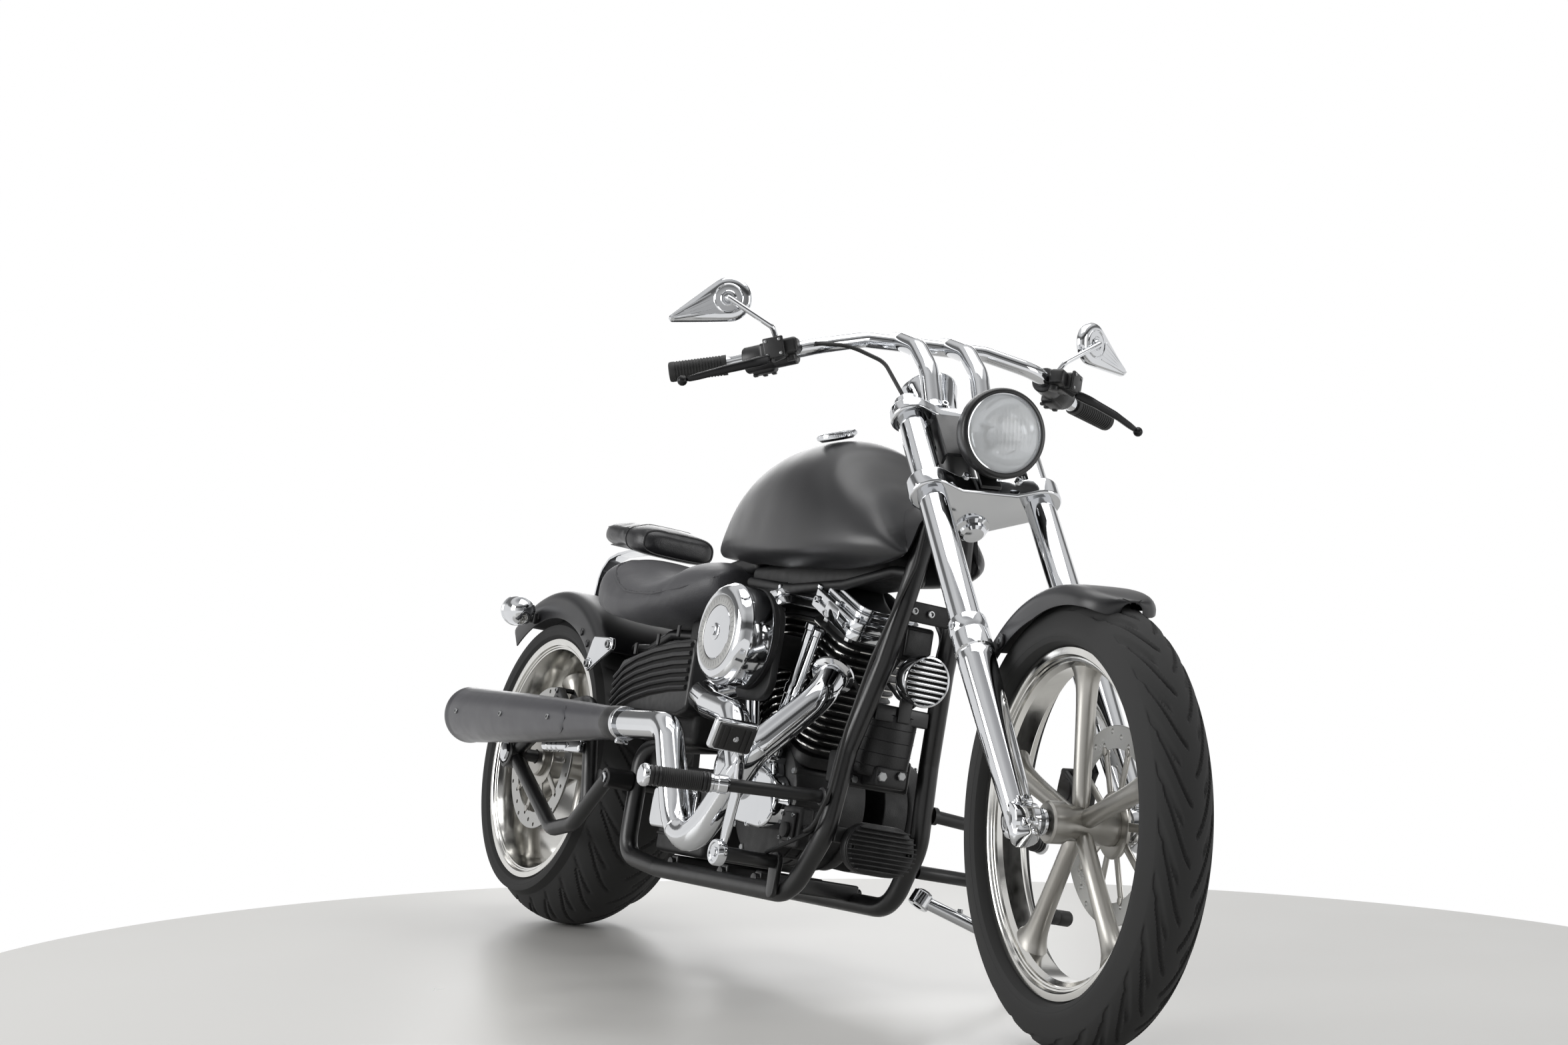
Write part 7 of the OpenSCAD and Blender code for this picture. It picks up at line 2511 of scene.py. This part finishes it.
@dataclass
class FootMaker:
    """Pegs, pedals and the side stand."""

    peg_end: Vector = field(default_factory=lambda: Vector((1084, -400, 305)))
    peg_root: Vector = field(default_factory=lambda: Vector((1171, -103.8, 318)))

    def build(self) -> None:
        """Builds every foot piece."""
        self.pegs()
        self.pedals()
        self.stand()

    def pegs(self) -> None:
        """Chrome-capped pegs with dark knurled sleeves, and the passenger's pegs."""
        way = (self.peg_end - self.peg_root).normalized()
        knee = self.peg_root + way * 168
        long = (self.peg_end - knee).length - 8
        dark, chrome, sleeve = [], [], []
        dark.append(rod("peg_bar", self.peg_root + way * 5, knee + way * 2, 11))
        dark.append(lathe("peg_foot", [(0, 0), (15, 0), (15, 8), (13, 9), (0, 9)], self.peg_root,
                          self.peg_root + Vector((0, -1, 0)), 40))
        chrome.append(lathe("peg_shell", [(0, -6), (12, -6), (15.6, -2), (15.6, 12), (14, 14), (14, 20),
                                          (15.6, 22), (15.6, 26), (13, 27)], knee, knee + way, 48))
        for h in (29, 36, long - 24, long - 17, long - 10):
            dark.append(lathe("band", [(12, h - 2.6), (16.4, h - 2.4), (17, h - 1), (17, h + 1),
                                       (16.4, h + 2.4), (12, h + 2.6)], knee, knee + way, 40))
        profile = [(12, 40)]
        at = 40.0
        while at < long - 28:
            profile += [(15.6, at), (16.5, at + 0.9), (16.5, at + 1.6), (15.6, at + 2.5)]
            at += 3.2
        profile += [(12, at)]
        sleeve.append(lathe("sleeve", profile, knee, knee + way, 48))
        sleeve.append(lathe("core", [(13.6, 20), (13.6, long - 2)], knee, knee + way, 32))
        end = Vector((self.peg_end.x, -386, self.peg_end.z))
        chrome.append(lathe("cap", [(0, -2), (13, -2), (17, 0), (18.6, 3), (19, 6), (18.4, 9), (16, 12),
                                    (11, 13.6), (0, 14)], end, end + Vector((0, -1, 0)), 56))
        pieces = [joined("peg_dark", dark), joined("peg_chrome", chrome), joined("peg_sleeve", sleeve)]
        both = [joined(p.name, [p, mirrored(p)]) for p in pieces]
        place(both[0], Paint.PLASTIC, Body.CHASSIS, ["footpegs"])
        place(both[1], Paint.CHROME, Body.CHASSIS)
        place(both[2], Paint.RUBBER, Body.CHASSIS)
        back = []
        start, stop = Vector((195, -184, 346)), Vector((312, -184, 350))
        go = (stop - start).normalized()
        back.append(lathe("passenger_peg", [(0, 0), (9, 0.6), (12, 3), (12.6, 8), (12.6, 24), (11, 26),
                                            (11, 32), (12.8, 34), (12.8, 46), (11, 48), (11, 54),
                                            (12.8, 56), (12.8, 68), (11, 70), (11, 76), (12.8, 78),
                                            (12.8, 117), (0, 117)], start, start + go, 48))
        back.append(block("peg_clevis", (336, -188.4, 350), (70, 13, 24), 4, segments=4))
        back.append(socket_head("peg_pin", (318, -194, 350), (0, -1, 0), 6, 2))
        one = joined("passenger_pegs", back)
        place(joined("passenger_pegs", [one, mirrored(one)]), Paint.CHROME, Body.CHASSIS)

    def pedals(self) -> None:
        """The chrome brake and shift pedals with rubber-faced pads."""
        chrome, rubber = [], []
        brake = Vector((1073, -232, 201))
        chrome.append(lathe("pivot", [(0, 0), (20, 0), (22, 2), (22, 14), (20, 17), (16, 17), (15, 15),
                                      (9, 15), (8, 18), (0, 18)], brake + Vector((0, 9, 0)),
                            brake + Vector((0, 8, 0)), 48))
        dark = [rod("brake_shaft", (1073, -122.6, 201), (1073, -220, 201), 11.6),
                side_plate("brake_mount", pear((1073, 152), 12, (1073, 201), 16), -115.6, -125.6, 2),
                rod("shift_shaft", (1141, 111, 222), (1141, 216, 222), 11.6)]
        arm = rounded_route([(1073, -226, 201), (1097, -228, 308), (1121, -243, 353), (1160, -268, 374)],
                            [60, 40], 10)
        rings = []
        for i, p in enumerate(arm):
            a, b = arm[max(0, i - 1)], arm[min(len(arm) - 1, i + 1)]
            way = (b - a).normalized()
            side = way.cross(Vector((0, 1, 0))).normalized()
            out = side.cross(way).normalized()
            share = i / (len(arm) - 1)
            wide, thick = 13 - 4.5 * share, 6.4
            rings.append([p + side * wide * squarish(math.cos(t), 0.7) +
                          out * thick * squarish(math.sin(t), 0.7) for t in polar(16)])
        chrome.append(loft("brake_arm", rings, levels=1))
        turn = Matrix.Rotation(math.radians(24), 4, "Y")
        centre = Vector((1172, -290, 388))
        axes = turn.to_3x3()
        chrome.append(block("pad_tray", centre - axes @ Vector((3, 0, 0)), (16, 77, 54), 6, turn, 5))
        rubber.append(block("pad_rubber", centre + axes @ Vector((8, 0, 0)), (8, 66, 44), 4, turn, 4))
        for y in (-24, -14, 14, 24):
            rubber.append(block("pad_ridge", centre + axes @ Vector((12.4, y, 0)), (2.6, 4.4, 38), 1, turn,
                                2))
        chrome.append(socket_head("pad_screw", centre + axes @ Vector((11.6, 0, 0)),
                                  axes @ Vector((1, 0, 0)), 5, 2.4))
        shift = Vector((1141, 232, 222))
        chrome.append(lathe("shift_pivot", [(0, 0), (16, 0), (18, 2), (18, 13), (16, 15), (0, 15)],
                            shift - Vector((0, 11, 0)), shift, 40))
        lever = rounded_route([(1141, 224, 222), (1210, 228, 206), (1284, 258, 190)], [60], 10)
        chrome.append(tube("shift_arm", lever, 8.8, sides=24))
        rubber.append(lathe("shift_toe", [(0, 0), (11, 0), (13, 2), (13, 14), (12, 16), (13, 18), (13, 30),
                                          (12, 32), (13, 34), (13, 46), (12, 48), (13, 50), (13, 70),
                                          (11, 73), (0, 74)], Vector((1292, 253, 186)),
                            Vector((1292, 254, 186)), 32))
        place(joined("pedals", chrome), Paint.CHROME, Body.CHASSIS, ["foot_controls"], angle=40)
        place(joined("pedal_rubbers", rubber), Paint.RUBBER, Body.CHASSIS)
        place(joined("pedal_shafts", dark), Paint.POWDER, Body.CHASSIS)

    def stand(self) -> None:
        """The side stand with its eye, bent leg and spring tab, and the foot on the floor."""
        foot = CHASSIS.inverted() @ Vector((0.3157, 0.2036, 0.013))
        axis = (CHASSIS.inverted().to_3x3() @ Vector((0.0457, 0.6071, 0.7933))).normalized()
        pivot, knee = Vector((1083, 165, 176)), Vector((1162, 262, 138))
        pieces = [lathe("stand_eye", [(8.4, -13), (17, -13), (19, -11), (19, 11), (17, 13), (8.4, 13)],
                        pivot, pivot + axis, 48)]
        start = pivot + (knee - pivot).normalized() * 12
        pieces.append(tube("stand_leg", rounded_route([start, knee, foot], [45], 12), 11, sides=32))
        up = (CHASSIS.inverted().to_3x3() @ Vector((0, 0, 1))).normalized()
        base = CHASSIS.inverted() @ Vector((0.3157, 0.2036, 0.0))
        pieces.append(lathe("stand_foot", [(0, 0), (24, 0), (26, 1.5), (26, 6), (24, 8), (18, 10), (10, 18),
                                           (0, 19)], base, base + up, 48))
        place(joined("stand", pieces), Paint.CHROME, Body.STAND, ["side_stand"], angle=40)
        tab = pivot + (knee - pivot) * 0.55
        hook = rod("spring_tab", tab, tab + Vector((0, 0, 17)), 4.6, sides=20)
        place(hook, Paint.ZINC, Body.STAND)
        bolt = hex_head("stand_bolt", pivot + axis * 13.4, axis, 12, 4)
        place(bolt, Paint.ZINC, Body.CHASSIS)


@dataclass
class FittingsMaker:
    """Horn, regulator, belt, rear caliper and cables."""

    def build(self) -> None:
        """Builds them."""
        self.horn()
        self.regulator()
        self.belt()
        self.caliper()
        self.cables()

    def horn(self) -> None:
        """A chrome horn with level slats over a near-black disc of painted shade in its recess."""
        back, face = Vector((1222, 0, 533)), Vector((1262, 0, 528))
        way = (face - back).normalized()
        shell = lathe("horn_shell", [(0, 0), (30, 0), (38, 3), (42, 8), (43, 14), (43, 37), (42, 39.6),
                                     (39.6, 40.3), (38.6, 39), (38.6, 34), (0, 34)], back, face, 80)
        pieces = [shell]
        home = toward(face, face + way)
        level = home.inverted().to_3x3() @ Vector((0, 1, 0))
        spin = Matrix.Rotation(math.atan2(level.y, level.x), 4, "Z")
        for i in range(8):
            v = -32 + i * 64 / 7
            half = math.sqrt(max(0.0, 39.5 ** 2 - v * v))
            slat = block("slat", (0, v, -2.6), (2 * half, 5.6, 5.4), 2.4, segments=3)
            slat.data.transform(home @ spin)
            pieces.append(slat)
        stem = rod("horn_stem", (1207, 0, 526), (1224, 0, 531), 9)
        tab = block("horn_tab", (1205.3, 0, 496), (5.6, 24, 76), 2)
        place(joined("horn_chrome", pieces), Paint.CHROME, Body.CHASSIS, ["horn"], angle=36)
        place(joined("horn_bracket", [stem, tab]), Paint.POWDER, Body.CHASSIS)
        # A near-black disc on the recess floor behind the slats: painted shade.
        well = lathe("horn_shade_disc", [(0, 34.2), (38.4, 34.2), (38.4, 34.8), (0, 34.8)], back, face, 48)
        place(well, Paint.SOOT_AND_SHADE, Body.CHASSIS)

    def regulator(self) -> None:
        """A black oval regulator with level fins."""
        x0, x1, z = 1176.6, 1210.0, 246
        base = pear((-24, 0), 42, (24, 0.001), 41.99, 18)
        pieces = [slab("base", [(x0, a, z + b) for a, b in base], (18, 0, 0), 2, 2)]
        lip = slab("lip", [(x0 + 17.6, a * 0.985, z + b * 0.985) for a, b in base], (4, 0, 0), 1.2, 2)
        pieces.append(lip)
        for i in range(10):
            v = -34 + i * 68 / 9
            half = 24 + math.sqrt(max(0.0, 40.5 ** 2 - v * v))
            pieces.append(block("fin", (x1 - 7.4, 0, z + v), (14.6, 2 * half - 2, 2.6), 0.9, segments=2))
        for y in (-56, 56):
            pieces.append(socket_head("regulator_bolt", (x0 + 21, y, z), (1, 0, 0), 5, 4))
        place(joined("regulator", pieces), Paint.CRINKLE, Body.CHASSIS, ["voltage_regulator"])

    def belt(self) -> None:
        """The drive belt round both pulleys."""
        outer = pear((0, REAR_AXLE.z), 104.6, GEAR_SHAFT, 49.7, 40)
        inner = pear((0, REAR_AXLE.z), 100.6, GEAR_SHAFT, 45.6, 40)
        n = len(outer)
        points = [(x, 124.4, z) for x, z in outer] + [(x, 145.6, z) for x, z in outer]
        points += [(x, 124.4, z) for x, z in inner] + [(x, 145.6, z) for x, z in inner]
        faces = []
        for i in range(n):
            j = (i + 1) % n
            faces += [(i, j, n + j, n + i), (2 * n + j, 2 * n + i, 3 * n + i, 3 * n + j),
                      (j, i, 2 * n + i, 2 * n + j), (n + i, n + j, 3 * n + j, 3 * n + i)]
        belt = new_mesh("belt", points, faces=faces)
        edit(belt, tidy_normals)
        place(belt, Paint.RUBBER, Body.CHASSIS, ["drive_belt"])

    def caliper(self) -> None:
        """The rear caliper in two halves, with its bridge bolts and bracket."""
        pieces, bolts = [], []
        for y0, y1 in ((-127.6, -112.2), (-92.6, -90.4)):
            outline = [wheel_point(REAR_AXLE, a, 161, y0) for a in range(28, 67, 4)]
            outline += [wheel_point(REAR_AXLE, a, 99, y0) for a in range(66, 27, -4)]
            pieces.append(slab("half", outline, (0, y1 - y0, 0), 2 if y1 - y0 > 6 else 0.6, 3))
        for a in (38, 56):
            spot = wheel_point(REAR_AXLE, a, 130, -127)
            pieces.append(lathe("piston", [(0, 0), (19, 0), (18, 2.6), (12, 3), (0, 3)], spot,
                                spot + Vector((0, -1, 0)), 36))
        for a in (31, 47, 63):
            pieces.append(rod("bridge", wheel_point(REAR_AXLE, a, 156, -126),
                              wheel_point(REAR_AXLE, a, 156, -91), 5, sides=20))
            bolts.append(socket_head("bridge_bolt", wheel_point(REAR_AXLE, a, 154, -127.4), (0, -1, 0), 6,
                                     3))
        outline = [wheel_point(REAR_AXLE, a, 149, -150.4) for a in (22, 27, 32, 36)]
        outline += [wheel_point(REAR_AXLE, a, 113, -150.4) for a in (36, 32, 27, 22)]
        pieces.append(slab("carrier", outline, (0, 23, 0), 2, 2))
        place(joined("rear_caliper", pieces), Paint.PLASTIC, Body.CHASSIS, ["rear_brake_caliper"])
        place(joined("rear_caliper_bolts", bolts), Paint.ZINC, Body.CHASSIS)

    def cables(self) -> None:
        """The throttle cable at the bars and the long one down the frame."""
        bars = rounded_route([(1121.2, -215, 1086.8), (1111.7, -150, 1091.6), (1140, -96, 1066),
                              (1174, -74, 1010), (1194, -66, 955), (1208, -62, 914)], [60, 40, 50, 50], 10)
        place(tube("bar_cable", bars, 3.5, sides=16), Paint.RUBBER, Body.STEERING, ["fork_cables"],
              angle=60)
        down = rounded_route([(1261.1, -49.6, 790), (1261.1, -56.6, 712), (1244, -72, 640),
                              (1222, -88, 550), (1204, -104, 430), (1199, -112, 330), (1172, -118, 268),
                              (1138, -113, 258), (1112, -94, 266), (1050, -78, 262)],
                             [60, 60, 60, 60, 60, 50, 14, 14, 20], 10)
        place(tube("frame_cable", down, 3.5, sides=16), Paint.RUBBER, Body.CHASSIS, ["frame_cables"],
              angle=60)


MAKERS: list[type] = [WheelsMaker, TankMaker, SeatMaker, ForkMaker, LampMaker, BarsMaker, EngineMaker,
                      AirCleanerMaker, ExhaustMaker, OilTankMaker, FrameMaker, FenderMaker, FootMaker,
                      FittingsMaker]


# ---------- build ----------
def main() -> None:
    """Builds the machine round the frame."""
    logging.basicConfig(level=logging.INFO, format="%(name)s %(message)s")
    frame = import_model()
    bpy.context.scene.view_settings.view_transform = "Standard"
    Studio().build()
    dress_cad(frame["nodes"])
    for maker in MAKERS:
        maker().build()
        LOG.info("%s done", maker.__name__)


if __name__ == "__main__":
    main()
